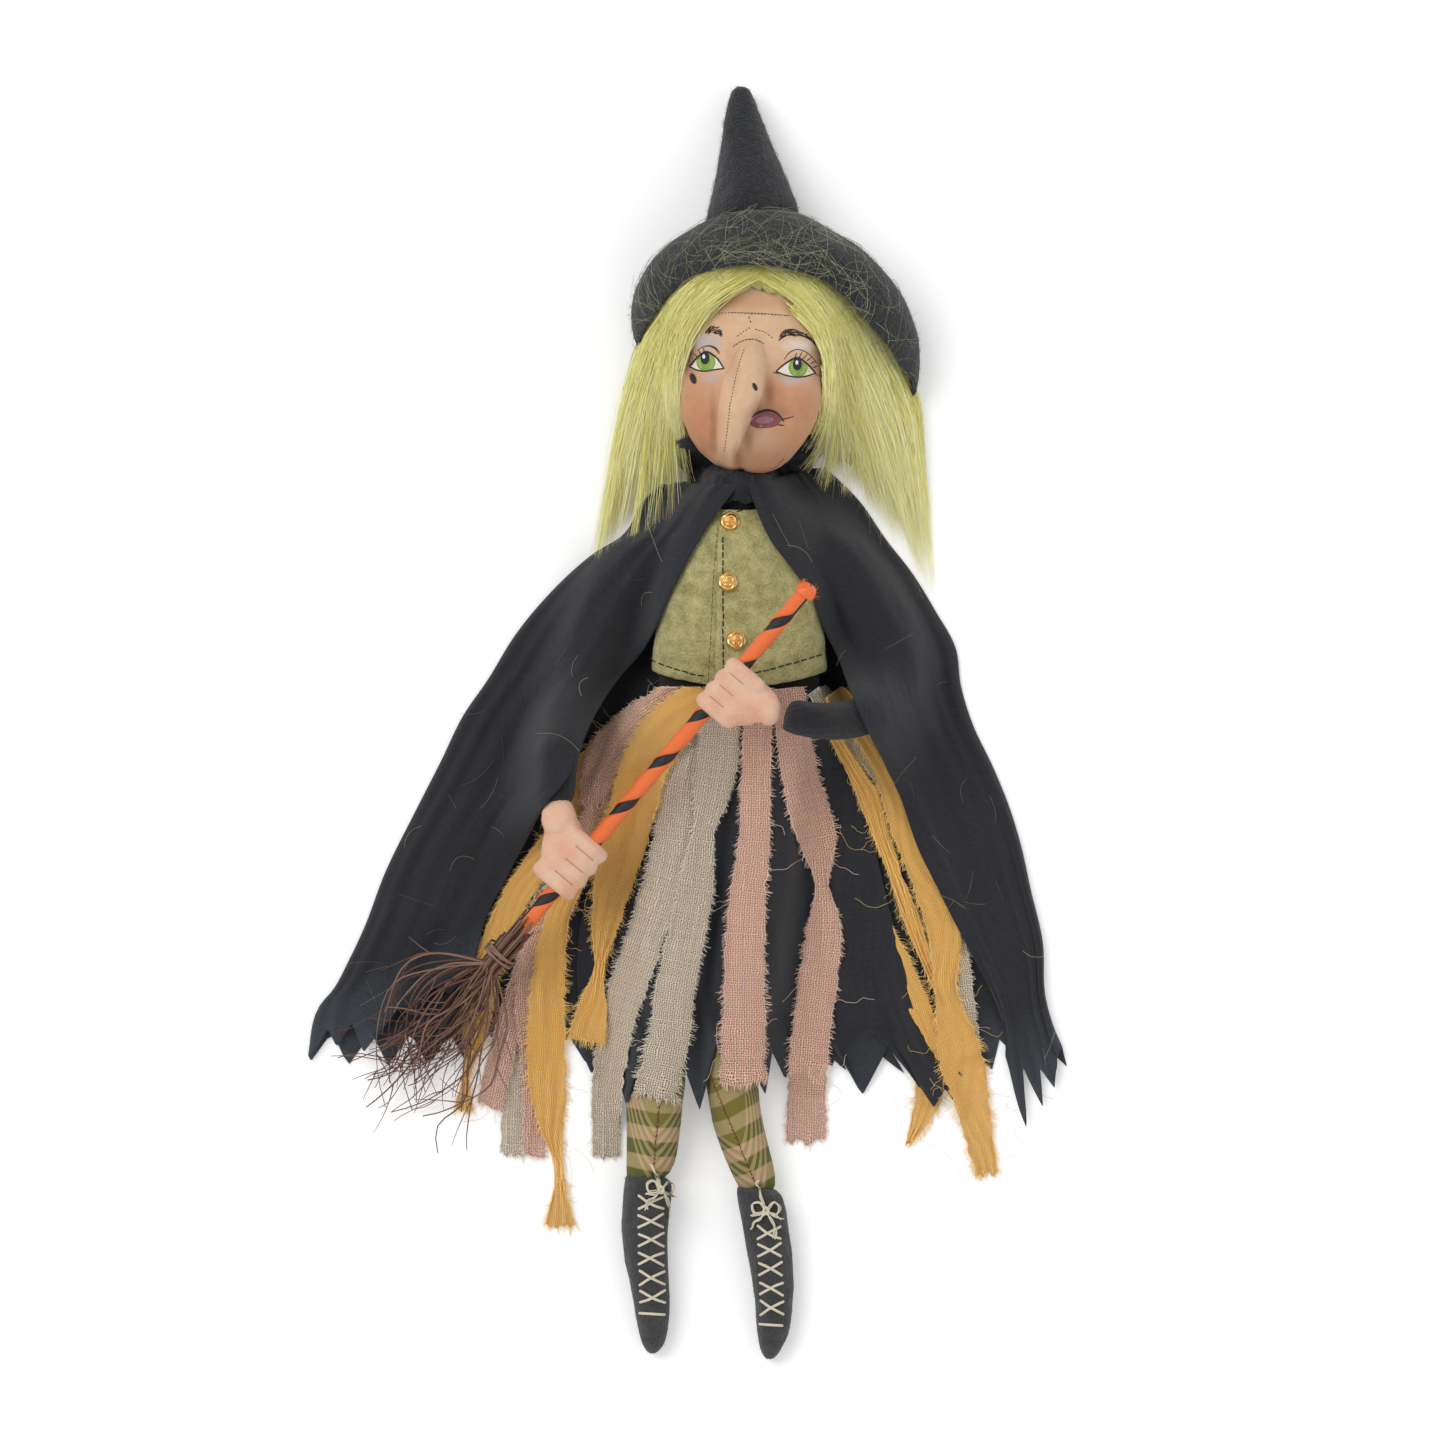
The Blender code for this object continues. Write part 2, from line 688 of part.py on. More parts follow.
class Pile:
    """How high things already lie, on a square grid seen from above."""

    def __init__(self):
        self.top = np.zeros(PILE_SHAPE)

    def cells(self, places):
        """Indices of the cells that hold the places."""
        index = ((places[..., :2] - np.array(PILE_CORNER)) / PILE_CELL).astype(int)
        return np.clip(index[..., 0], 0, PILE_SHAPE[0] - 1), np.clip(index[..., 1], 0, PILE_SHAPE[1] - 1)

    def spread(self, points, triangles):
        """Corners and weights of sample points over the triangles, closer together than the cells."""
        corners = np.asarray(triangles)
        plan = points[corners][:, :, :2]
        longest = np.linalg.norm(plan - np.roll(plan, 1, axis=1), axis=2).max(axis=1)
        counts = np.ceil(longest / (0.7 * PILE_CELL)).astype(int).clip(1)
        all_corners, all_weights = [], []
        for count in np.unique(counts):
            i, j = np.meshgrid(np.arange(count + 1), np.arange(count + 1))
            inside = i + j <= count
            weights = np.stack([i[inside], j[inside], (count - i - j)[inside]], axis=1) / count
            group = corners[counts == count]
            all_corners.append(np.repeat(group, len(weights), axis=0))
            all_weights.append(np.tile(weights, (len(group), 1)))
        return np.concatenate(all_corners), np.concatenate(all_weights)

    def add(self, points, triangles):
        """Raises the pile to the height of the triangles."""
        points = np.asarray(points).reshape(-1, 3)
        corners, weights = self.spread(points, triangles)
        places = (points[corners] * weights[:, :, None]).sum(axis=1)
        np.maximum.at(self.top, self.cells(places), places[:, 2])

    def around(self):
        """The pile with each cell as high as its highest neighbour."""
        padded = np.pad(self.top, 1, mode="edge")
        rows, columns = PILE_SHAPE
        return np.max([padded[i : i + rows, j : j + columns] for i in range(3) for j in range(3)], axis=0)

    def highest(self, x, y, reach):
        """The highest point within reach of a place."""
        i, j = self.cells(np.array([x, y]))
        span = int(math.ceil(reach / PILE_CELL))
        return self.top[max(i - span, 0) : i + span + 1, max(j - span, 0) : j + span + 1].max()

    def drape(self, grid, triangles):
        """Lifts the grid's points over the pile, then lets them settle as low as the triangles allow."""
        points = grid.reshape(-1, 3).copy()
        corners, weights = self.spread(points, triangles)
        places = (points[corners] * weights[:, :, None]).sum(axis=1)
        floor = self.around()[self.cells(places)] + GAP
        part = 1 / np.maximum(weights, 1e-6)
        start = points[:, 2].copy()
        height = start.copy()
        np.maximum.at(height, corners, np.repeat(floor[:, None], 3, axis=1))
        for _ in range(PILE_PASSES):
            slack = (height[corners] * weights).sum(axis=1) - floor
            room = height - start
            np.minimum.at(room, corners, slack[:, None] * part)
            height -= room / 3
        points[:, 2] = height
        return points.reshape(grid.shape)


PILE = Pile()


def teeth(count, period, depth):
    """A zigzag: how far each column of a hem hangs lower or higher."""
    phase = (np.arange(count) % period) / period
    return depth * (4 * np.abs(phase - 0.5) - 1)


def head_points(turn, rise, offset):
    """Points at an offset from the head's skin, by their turn round +Z and their rise from level."""
    x = np.cos(rise) * np.cos(turn - HEAD_TILT)
    y = np.cos(rise) * np.sin(turn - HEAD_TILT)
    z = np.sin(rise) * np.ones_like(turn)
    sizes = (HEAD_HALF_WIDTH + offset, HEAD_HALF_LENGTH + offset, HEAD_HALF_DEPTH + offset)
    total = sum(np.abs(part / size) ** HEAD_SQUARENESS for part, size in zip((x, y, z), sizes))
    reach = total ** (-1 / HEAD_SQUARENESS)
    centre_z = FELT + GAP + HAIR_UNDER_HEAD + HAIR_SEAT + HEAD_HALF_DEPTH
    return np.stack(
        [
            HEAD_CENTRE[0] + reach * np.cos(rise) * np.cos(turn),
            HEAD_CENTRE[1] + reach * np.cos(rise) * np.sin(turn),
            centre_z + reach * np.sin(rise) * np.ones_like(turn),
        ],
        axis=-1,
    )


def head_turns():
    """The directions round the head at which the head and the hair have their columns."""
    return np.linspace(0, 2 * math.pi, HEAD_COLUMNS, endpoint=False)


def skin_height(x, y):
    """Height of the head's upper skin over a place."""
    turn = math.atan2(y - HEAD_CENTRE[1], x - HEAD_CENTRE[0])
    away = math.hypot(x - HEAD_CENTRE[0], y - HEAD_CENTRE[1])
    rises = np.radians(np.arange(0, 90, 2))
    ring = head_points(np.full(len(rises), turn), rises, 0.0)
    radii = np.hypot(ring[:, 0] - HEAD_CENTRE[0], ring[:, 1] - HEAD_CENTRE[1])
    return float(np.interp(away, radii[::-1], ring[::-1, 2]))


def add_head():
    """The stuffed head with its hooked nose."""
    turns = head_turns()
    rises = np.radians(np.linspace(-84, 84, HEAD_ROWS))
    loft("head", [head_points(turns, rise, 0.0) for rise in rises], "muslin")
    path = []
    for x, y, over, radius in NOSE:
        x += HEAD_CENTRE[0]
        y += HEAD_CENTRE[1]
        path.append((x, y, skin_height(x, y) + over))
    radii = [row[3] for row in NOSE]
    loft("nose", rings_along(path, radii, radii, 12), "muslin")
    join = bpy.data.objects["head"].modifiers.new("nose", "BOOLEAN")
    join.operation = "UNION"
    join.solver = "EXACT"
    join.object = bpy.data.objects["nose"]
    bpy.data.objects["nose"].hide_render = True
    bpy.data.objects["nose"].display_type = "WIRE"


def add_hair():
    """The fur wig: a ring round and under the head, with locks that reach out to both sides."""
    turns = head_turns()
    crown = [(90, HAT_CONE[0][1] - GAP - HEAD_CENTRE[1], HAIR_CROWN_COVER)]
    angles, reaches, covers = np.array(sorted(HAIR + crown)).T
    reach = np.interp(np.degrees(turns), angles, reaches, period=360)
    cover = np.radians(np.interp(np.degrees(turns), angles, covers, period=360))
    centre = np.array([*HEAD_CENTRE, 0.0])
    ahead = np.stack([np.cos(turns), np.sin(turns), 0 * turns], axis=1)

    def out(radius, height):
        """Points at a plan radius and a height."""
        return centre + ahead * np.asarray(radius)[:, None] + np.array([0, 0, 1.0]) * np.asarray(height)[:, None]

    rows = [head_points(turns, HAIR_LOWEST + (cover - HAIR_LOWEST) * part, HAIR_SEAT) for part in np.linspace(0, 1, 8)]
    rows.append(head_points(turns, cover - HAIR_LIP, HAIR_SEAT + HAIR_LIP_SHARE * HAIR_THICKNESS))
    rows.append(head_points(turns, cover - HAIR_SHOULDER, HAIR_SEAT + HAIR_THICKNESS))
    shoulder = np.hypot(*(rows[-1] - centre)[:, :2].T)
    top = rows[-1][:, 2]
    lip = np.hypot(*(rows[-2] - centre)[:, :2].T)
    reach = np.maximum(reach, np.maximum(lip, shoulder) + HAIR_LEAST_LOCK)
    base = np.full(len(turns), GAP)
    rows.append(out(0.5 * (shoulder + reach), base + HAIR_SLOPE * top))
    rows.append(out(reach, base + HAIR_EDGE))
    rows.append(out(reach - HAIR_UNDERCUT, base))
    rows.append(out(0.5 * reach, base))
    rows.append(out(np.full(len(turns), HAIR_NECK_REACH), base))
    grid = np.array(rows).transpose(1, 0, 2)
    triangles = []
    for column in range(HEAD_COLUMNS):
        beside = (column + 1) % HEAD_COLUMNS
        for row in range(len(rows)):
            above = (row + 1) % len(rows)
            a, b = column * len(rows) + row, beside * len(rows) + row
            c, d = beside * len(rows) + above, column * len(rows) + above
            triangles += [(a, b, c), (a, c, d)]
    under = PILE.drape(grid, [t for t in triangles if all(i % len(rows) >= len(rows) - 4 for i in t)])
    add_object("hair", under.reshape(-1, 3), triangles, "lime_fur")


def add_hat():
    """The stuffed cone, and the floppy bell of the brim round its base."""
    cone = np.array(HAT_CONE)
    radii = cone[:, 3] * HAT_BASE_RADIUS
    rings = rings_along(cone[:, :3], radii, radii, BRIM_COLUMNS)
    rings[0, :, 1] = cone[0, 1]
    loft("hat_cone", rings, "black_felt")
    seat = rings_along(cone[:2, :3], [HAT_BASE_RADIUS + 2 * GAP] * 2, [HAT_BASE_RADIUS + 2 * GAP] * 2, BRIM_COLUMNS)[0]
    bend = smooth_loop(BRIM_BEND, BRIM_COLUMNS)
    edge = smooth_loop(BRIM_EDGE, BRIM_COLUMNS)
    rows = []
    for part in np.linspace(0, 1, BRIM_ROWS):
        control = 2 * bend - (seat + edge) / 2
        rows.append((1 - part) ** 2 * seat + 2 * part * (1 - part) * control + part**2 * edge)
    inner = np.array(rows)
    outer = inner + FELT * grid_normals(inner, True)
    outer[..., 2] = outer[..., 2].clip(0)
    sheet("hat_brim", inner, outer, True, "black_felt")
    low = [t for t in grid_triangles(BRIM_ROWS, BRIM_COLUMNS, True) if all(i % BRIM_COLUMNS > BRIM_COLUMNS / 2 for i in t)]
    PILE.add(inner, low)


def torso_rows(offset, places):
    """Centre, half width and half height of the torso at places along it, grown by an offset."""
    table = np.array(TORSO)[::-1]
    half_width = np.interp(places, table[:, 0], table[:, 1])
    half_height = np.interp(places, table[:, 0], table[:, 2])
    lift = np.interp(places, table[:, 0], table[:, 3])
    return TORSO_FLOOR + lift + half_height, half_width + offset, half_height + offset


def add_torso():
    """The stuffed body with its neck, which ends at the head."""
    chin = HEAD_CENTRE[1] - HEAD_HALF_LENGTH - GAP
    neck = (chin, *TORSO[0][1:])
    rings = []
    for y, half_width, half_height, lift in [neck] + TORSO:
        turns = np.linspace(0, 2 * math.pi, TORSO_SIDES, endpoint=False)
        ring = np.stack(
            [
                BODY_X + half_width * np.cos(turns),
                np.full(TORSO_SIDES, y),
                TORSO_FLOOR + lift + half_height + half_height * np.sin(turns),
            ],
            axis=1,
        )
        rings.append(ring)
    PILE.add(*loft("torso", rings, "stuffed_body"))


def add_vest():
    """One wrap of felt round the torso, its right front over its left."""
    clear = GAP + COTTON + GAP
    turns = VEST_START + np.linspace(0, VEST_WRAP, VEST_COLUMNS)
    over = np.interp(turns - VEST_START, [VEST_STEP_OUT, VEST_STEP_OUT + math.radians(15)], [0, FELT + 2 * GAP])
    rows = []
    for place in [VEST_TOP] + [row[0] for row in TORSO if VEST_HEM < row[0] < VEST_TOP] + [VEST_HEM]:
        part = (VEST_TOP - place) / (VEST_TOP - VEST_HEM)
        y = place + VEST_HEM_RISE * part**2 * np.cos(turns) ** 2
        middle, half_width, half_height = torso_rows(clear, y)
        rows.append(
            np.stack(
                [
                    BODY_X + (half_width + over) * np.cos(turns),
                    y,
                    middle + (half_height + over) * np.sin(turns),
                ],
                axis=1,
            )
        )
    inner = np.array(rows)
    outer = inner + FELT * grid_normals(inner, False)
    sheet("vest", inner, outer, False, "olive_felt")
    PILE.add(outer, grid_triangles(len(rows), VEST_COLUMNS, False))


def button_seat(x, y, turns):
    """How high a button lies on the vest, and how much the vest slopes along Y there."""
    behind = PILE.highest(x, y - BUTTON_RADIUS, 0)
    slope = (PILE.highest(x, y + BUTTON_RADIUS, 0) - behind) / (2 * BUTTON_RADIUS)
    wide = BUTTON_BASE * BUTTON_RADIUS * np.cos(turns)
    long = BUTTON_BASE * BUTTON_RADIUS * np.sin(turns)
    return max(PILE.highest(x + w, y + l, 0) - slope * l for w, l in zip(wide, long)) + GAP, slope


def add_buttons():
    """Three rose buttons of five petals, sewn on the vest's front."""
    turns = np.linspace(0, 2 * math.pi, BUTTON_SIDES, endpoint=False)
    profile = [(BUTTON_BASE, 0.0), (1.0, 0.3), (0.92, 0.62), (0.55, 0.9), (0.25, 1.0)]
    for name, (x, y) in BUTTON_PLACES.items():
        base, slope = button_seat(x, y, turns)
        rings = []
        for wide, high in profile:
            radius = BUTTON_RADIUS * wide * (1 - 0.06 * high * (1 + np.cos(5 * turns)))
            height = base + BUTTON_HEIGHT * high + slope * radius * np.sin(turns)
            rings.append(np.stack([x + radius * np.cos(turns), y + radius * np.sin(turns), height], axis=1))
        loft("button_" + name, rings, "gold")


def add_tie():
    """The gathered tie round the neck."""
    middle, half_width, half_height = torso_rows(GAP + TIE_RADIUS * 1.4, np.array([TIE_Y]))
    count = 4 * TIE_RUFFLES
    turns = np.linspace(0, 2 * math.pi, count, endpoint=False)
    tube = np.linspace(0, 2 * math.pi, 6, endpoint=False)
    ruffle = 1 + 0.35 * np.sign(np.cos(math.pi * np.arange(count) / 2 + 0.1))
    rings = []
    for around in tube:
        out = TIE_RADIUS * np.cos(around) * ruffle
        rings.append(
            np.stack(
                [
                    BODY_X + (half_width[0] + out) * np.cos(turns),
                    TIE_Y + TIE_RADIUS * np.sin(around) * ruffle,
                    middle[0] + (half_height[0] + out) * np.sin(turns),
                ],
                axis=1,
            )
        )
    points = np.array(rings).reshape(-1, 3)
    triangles = grid_triangles(len(tube), count, True)
    last = (len(tube) - 1) * count
    for column in range(count):
        beside = (column + 1) % count
        triangles += [(last + column, last + beside, beside), (last + column, beside, column)]
    add_object("cape_tie", points, triangles, "black_cotton")


def add_leg(side, leg, boot):
    """A stuffed leg from the torso, and the boot that it ends in, with its lace."""
    radii = np.array([row[2] for row in leg])
    floors = np.interp(np.arange(len(leg)), [0, len(leg) - 2, len(leg) - 1], [LEG_FLOOR, LEG_FLOOR, GAP])
    path = [(x, y, floor + radius) for (x, y, radius), floor in zip(leg, floors)]
    path = smooth(np.column_stack([path, radii]), 9)
    rings = rings_along(path[:, :3], path[:, 3], path[:, 3], LEG_SIDES)
    rings[0, :, 1] = path[0, 1]
    rings[-1, :, 1] = path[-1, 1]
    PILE.add(*loft("leg_" + side, rings, "plaid"))
    path = [(x, y, half_height) for x, y, half_width, half_height in boot]
    widths = [row[2] for row in boot]
    heights = [row[3] for row in boot]
    rings = rings_along(path, widths, heights, LEG_SIDES)
    rings[0, :, 1] = path[0][1]
    PILE.add(*loft("boot_" + side, rings, "black_felt"))
    add_lace(side, boot)


def add_lace(side, boot):
    """A lace that zigzags down the boot's front and is tied in a bow at the cuff."""
    line = smooth([(x, y) for x, y, half_width, half_height in boot], 60)
    down = -(line[:, 1] - line[0, 1])
    knot_x, knot_y = line[0, 0], line[0, 1] - LACE_FROM_CUFF
    plan = []
    for way in (-1, 1):
        for along, wide in ((0.25, 0.25), (0.6, 1.0), (1.0, 0.8), (1.0, -0.1), (0.6, -0.35), (0.3, -0.3)):
            plan.append((knot_x + way * (along * BOW_LENGTH + BOW_APART), knot_y + BOW_APART * 2 + wide * BOW_WIDTH))
        if way < 0:
            plan.append((knot_x, knot_y + KNOT_HALF))
    plan.append((knot_x + KNOT_TO_LACE[0], knot_y + KNOT_TO_LACE[1]))
    for row in range(LACE_ROWS + 1):
        place = LACE_FROM_CUFF + LACE_BELOW_KNOT + row * LACE_PITCH
        x = np.interp(place, down, line[:, 0])
        share = 1 - 0.35 * row / LACE_ROWS
        plan.append((x + LACE_HALF_WIDTH * share * (-1) ** row, line[0, 1] - place))
    count = 2 * len(plan)
    path = np.column_stack([smooth(plan, count), np.zeros(count)])
    for point in path:
        point[2] = PILE.highest(point[0], point[1], 2.5 * LACE_RADIUS) + LACE_RADIUS + GAP
    path[1:-1, 2] = np.maximum(path[1:-1, 2], (path[:-2, 2] + path[2:, 2]) / 2)
    radii = np.full(count, LACE_RADIUS)
    loft("bootlace_" + side, rings_along(path, radii, radii, 4), "cream_lace")


def waist_ring(y, turns):
    """The skirt's waistband, close round the torso."""
    middle, half_width, half_height = torso_rows(GAP, np.full(len(turns), y))
    x = BODY_X + half_width * np.cos(turns)
    return np.stack([x, np.full(len(turns), y), middle + half_height * np.sin(turns)], axis=1)


def add_skirt():
    """The full skirt: a tube from the waist under the vest to a zigzag hem, flat under the legs."""
    left = smooth(SKIRT_LEFT, SKIRT_ROWS)
    right = smooth(SKIRT_RIGHT, SKIRT_ROWS)
    half = SKIRT_COLUMNS // 2
    turns = np.linspace(0, 2 * math.pi, SKIRT_COLUMNS, endpoint=False)
    half_height = torso_rows(GAP, left[:, 1])[2]
    back = COTTON + GAP + COTTON
    rows = [waist_ring(left[0, 1] + SKIRT_TUCK, turns), waist_ring(left[0, 1], turns)]
    for row in range(1, SKIRT_ROWS):
        part = row / (SKIRT_ROWS - 1)
        x = (left[row, 0] + right[row, 0]) / 2 + (right[row, 0] - left[row, 0]) / 2 * np.cos(turns)
        y = left[row, 1] + (right[row, 1] - left[row, 1]) * (1 + np.cos(turns)) / 2
        crown = half_height[row] * 2 * (1 - part) + SKIRT_HEM_HEIGHT * part
        upper = np.abs(np.sin(turns))
        folded = SKIRT_PLEAT * part * np.cos(SKIRT_PLEATS * 2 * turns) * upper
        front = back + COTTON + crown * upper**0.8 + folded
        rows.append(np.stack([x, y, np.where(np.sin(turns) > 1e-6, front, back)], axis=1))
    hem = np.concatenate([teeth(half, SKIRT_TOOTH_COLUMNS, SKIRT_TOOTH)] * 2)
    rows[-1][:, 1] += hem
    inner = np.array(rows)
    triangles = grid_triangles(SKIRT_ROWS + 1, SKIRT_COLUMNS, True)
    upper_half = [t for t in triangles if all(i % SKIRT_COLUMNS <= half for i in t)]
    snug = 2 * SKIRT_COLUMNS
    hanging = [tuple(i - snug for i in t) for t in upper_half if min(t) >= snug]
    inner = np.concatenate([inner[:2], PILE.drape(inner[2:], hanging)])
    outer = inner + COTTON * grid_normals(inner, True)
    outer[..., 2] = outer[..., 2].clip(COTTON + GAP)
    sheet("skirt", inner, outer, True, "black_cotton")
    PILE.add(outer, upper_half)


def add_strip(name, line):
    """A torn strip that lies on whatever is under it."""
    length = np.linalg.norm(np.diff(np.array(line)[:, :2], axis=0), axis=1).sum()
    centre = smooth(line, max(6, round(length / STRIP_SPACING)))
    ahead = unit(np.gradient(centre[:, :2], axis=0))
    across = np.stack([ahead[:, 1], -ahead[:, 0]], axis=1)
    half = centre[:, 2:3] / 2
    sides = [centre[:, :2] - across * half, centre[:, :2], centre[:, :2] + across * half]
    plan = np.stack(sides, axis=1)
    plan[..., 1] = plan[..., 1].clip(max=VEST_HEM - STRIP_BELOW_HEM)
    grid = np.concatenate([plan, np.full((*plan.shape[:2], 1), GAP)], axis=2)
    triangles = grid_triangles(*plan.shape[:2], False)
    under = PILE.drape(grid, triangles)
    over = under + np.array([0, 0, LINEN])
    kind = name.split("_")[1]
    cloth = {"pink": "pink_linen", "taupe": "taupe_linen", "yellow": "yellow_gauze"}[kind]
    sheet(name, under, over, False, cloth)
    PILE.add(over, triangles)


def stick_line():
    """The broomstick's two ends, high enough for the hands and for all that lies under it."""
    top, end = np.array(STICK_TOP), np.array(STICK_END)
    length = np.linalg.norm(end - top)
    heights = []
    for grip, hand in ((GRIP_RIGHT, HAND_RIGHT), (GRIP_LEFT, HAND_LEFT)):
        under = max(PILE.highest(x, y, 0.7 * half_width) for x, y, half_width, half_height in hand[1:-1])
        heights.append(under + GAP + hand[2][3])
    slope = (heights[1] - heights[0]) / (GRIP_LEFT - GRIP_RIGHT)
    clear = STICK_RADIUS + RIBBON + 3 * GAP
    lift = 0.0
    for place in np.arange(0, length, PILE_CELL):
        under = PILE.highest(*(top + (end - top) * place / length), clear)
        lift = max(lift, under + clear - heights[0] - slope * (place - GRIP_RIGHT))
    ends = []
    for place, plan in ((0.0, top), (length, end)):
        ends.append(np.array([*plan, heights[0] + lift + slope * (place - GRIP_RIGHT)]))
    return ends


def add_broom(top, end):
    """The stick with its spiral ribbon. Returns the stick's direction and two directions across it."""
    length = np.linalg.norm(end - top)
    ahead = (end - top) / length
    across = unit(np.cross(ahead, (0.0, 0.0, 1.0)))
    up = np.cross(across, ahead)
    turns = np.linspace(0, 2 * math.pi, STICK_SIDES, endpoint=False)
    round_stick = np.cos(turns)[:, None] * across + np.sin(turns)[:, None] * up
    loft("broom_stick", [place + STICK_RADIUS * round_stick for place in (top, end)], "black_wood")
    steps = int((RIBBON_END - RIBBON_START - RIBBON_WIDTH) / RIBBON_PITCH * RIBBON_STEPS)
    turn = np.arange(steps) * 2 * math.pi / RIBBON_STEPS
    out = np.cos(turn)[:, None] * across + np.sin(turn)[:, None] * up
    along = RIBBON_START + np.arange(steps) * RIBBON_PITCH / RIBBON_STEPS
    clear = (STICK_RADIUS + GAP) / math.cos(math.pi / RIBBON_STEPS)
    layers = []
    for radius in (clear, clear + RIBBON):
        edges = [top + ahead * (along + shift)[:, None] + out * radius for shift in (0.0, RIBBON_WIDTH)]
        layers.append(np.stack(edges, axis=1))
    sheet("broom_ribbon", layers[0], layers[1], False, "orange_satin")
    return ahead, across, up


def add_brush(end, ahead, across, up):
    """The twigs, held round the stick's end by a binding, which fan out to their tips."""
    ring_radius = STICK_RADIUS + GAP + TWIG_RADIUS * 1.15
    count = len(TWIG_TIPS)
    turns = TWIG_FIRST_TURN + np.arange(count) * 2 * math.pi / count
    order = np.argsort(-np.cos(turns))
    for number, turn in enumerate(turns[order]):
        out = ring_radius * (math.cos(turn) * across + math.sin(turn) * up)
        tip = np.array([*TWIG_TIPS[number], 0.0])
        start = end + out - ahead * TWIG_OVERLAP
        bend = end + out + ahead * TWIG_BEND
        plan = [start, start * 0.5 + bend * 0.5, bend]
        for part in (0.3, 0.65, 1.0):
            place = bend * (1 - part) + tip * part
            place += TWIG_BEND * math.sin(math.pi * part) * ahead * [1, 1, 0]
            rest = PILE.highest(place[0], place[1], 0.006) + 4 * GAP + TWIG_RADIUS * (3 + 2 * (number % 2))
            place[2] = max(rest, bend[2] * (1 - part) + rest * part)
            plan.append(place)
        radii = np.linspace(TWIG_RADIUS, TWIG_TIP_RADIUS, len(plan))
        loft(f"twig_{number + 1:02d}", rings_along(plan, radii, radii, TWIG_SIDES), "twig")
    inner = ring_radius + TWIG_RADIUS + GAP * 2
    ring = np.linspace(0, 2 * math.pi, BINDING_SIDES, endpoint=False)
    way = np.cos(ring)[:, None] * across + np.sin(ring)[:, None] * up
    starts = [end - ahead * (BINDING_FROM_END + BINDING_WIDTH), end - ahead * BINDING_FROM_END]
    walls = [np.array([place + way * radius for place in starts]) for radius in (inner, inner + BINDING_THICKNESS)]
    sheet("broom_binding", walls[0], walls[1], True, "twig")


def add_arm(side, way, arm, hand, stick):
    """A sleeve from the shoulder to the wrist, and the hand that closes round the stick."""
    middle, half_width, half_height = torso_rows(GAP + COTTON + GAP + FELT, np.array([SHOULDER_Y]))
    shoulder_x = BODY_X + way * (half_width[0] + (FELT + 4 * GAP if way > 0 else 4 * GAP))
    shoulder = (shoulder_x, SHOULDER_Y, middle[0], 0.0085)
    path = [shoulder, (shoulder_x + way * 0.008, SHOULDER_Y - 0.003, middle[0] - 0.001, 0.0095)] + list(arm)
    grip = np.array([hand[2][0], hand[2][1]])
    top, end = stick
    along = np.dot(grip - top[:2], end[:2] - top[:2]) / np.dot(end[:2] - top[:2], end[:2] - top[:2])
    hand_z = top[2] + (end[2] - top[2]) * along
    path[-1] = (*path[-1][:2], hand_z, path[-1][3])
    path[-2] = (*path[-2][:2], hand_z - WRIST_RISE, path[-2][3])
    line = smooth(path, 12)
    for point in line[2:-2]:
        point[2] = max(point[2], PILE.highest(point[0], point[1], point[3]) + point[3] + GAP)
    rings = rings_along(line[:, :3], line[:, 3], line[:, 3], ARM_SIDES)
    rings[0, :, 0] = shoulder_x
    PILE.add(*loft("sleeve_" + side, rings, "black_knit"))
    wrist = unit(line[-1, :3] - line[-2, :3])
    start = line[-1, :3] + wrist * GAP * 2
    hand_path = [start] + [(x, y, hand_z) for x, y, wide, high in hand[1:]]
    hand_rings = rings_along(hand_path, [row[2] for row in hand], [row[3] for row in hand], ARM_SIDES)
    shift = hand_rings[0] - start
    hand_rings[0] = start + shift - (shift @ wrist)[:, None] * wrist
    PILE.add(*loft("hand_" + side, hand_rings, "hand_cloth"))
    bore_hand(side, top, end)


def bore_hand(side, top, end):
    """Cuts the stick's way through a hand."""
    ahead = unit(end - top)
    across = unit(np.cross(ahead, (0.0, 0.0, 1.0)))
    up = np.cross(across, ahead)
    turns = np.linspace(0, 2 * math.pi, STICK_SIDES, endpoint=False)
    radius = ((STICK_RADIUS + GAP) / math.cos(math.pi / RIBBON_STEPS) + RIBBON + GAP) / math.cos(math.pi / STICK_SIDES)
    ring = radius * (np.cos(turns)[:, None] * across + np.sin(turns)[:, None] * up)
    loft("bore_" + side, [place + ring for place in (top - ahead * 0.01, end + ahead * 0.01)], "hand_cloth")
    cutter = bpy.data.objects["bore_" + side]
    cutter.hide_render = True
    cutter.display_type = "WIRE"
    cut = bpy.data.objects["hand_" + side].modifiers.new("bore", "BOOLEAN")
    cut.operation = "DIFFERENCE"
    cut.solver = "EXACT"
    cut.object = cutter


def cape_flap(inner_edge, outer_edge):
    """A front flap in plan, from its free edge to the fold at the side, with its long ripples."""
    shares = np.linspace(0, 1, CAPE_FLAP_COLUMNS)
    inset = unit(inner_edge - outer_edge) * CAPE_FOLD_INSET
    plan = inner_edge[:, None] * (1 - shares)[None, :, None] + (outer_edge + inset)[:, None] * shares[None, :, None]
    down = np.linspace(0, 1, CAPE_ROWS)[:, None]
    ripple = CAPE_RIPPLE * (1 - np.cos(2 * math.pi * CAPE_RIPPLES * shares))[None, :] * (0.4 + 0.6 * down)
    height = CAPE_FLAP_HEIGHT + ripple
    return np.concatenate([plan, height[:, :, None]], axis=2)


def cape_back_columns(left, right):
    """The back of the cape, flat on the floor between its side folds."""
    shares = np.linspace(0, 1, CAPE_BACK_COLUMNS)
    inset = unit(right - left) * CAPE_FOLD_INSET
    start, end = left + inset, right - inset
    plan = start[:, None] * (1 - shares)[None, :, None] + end[:, None] * shares[None, :, None]
    return np.concatenate([plan, np.full((*plan.shape[:2], 1), COTTON)], axis=2)


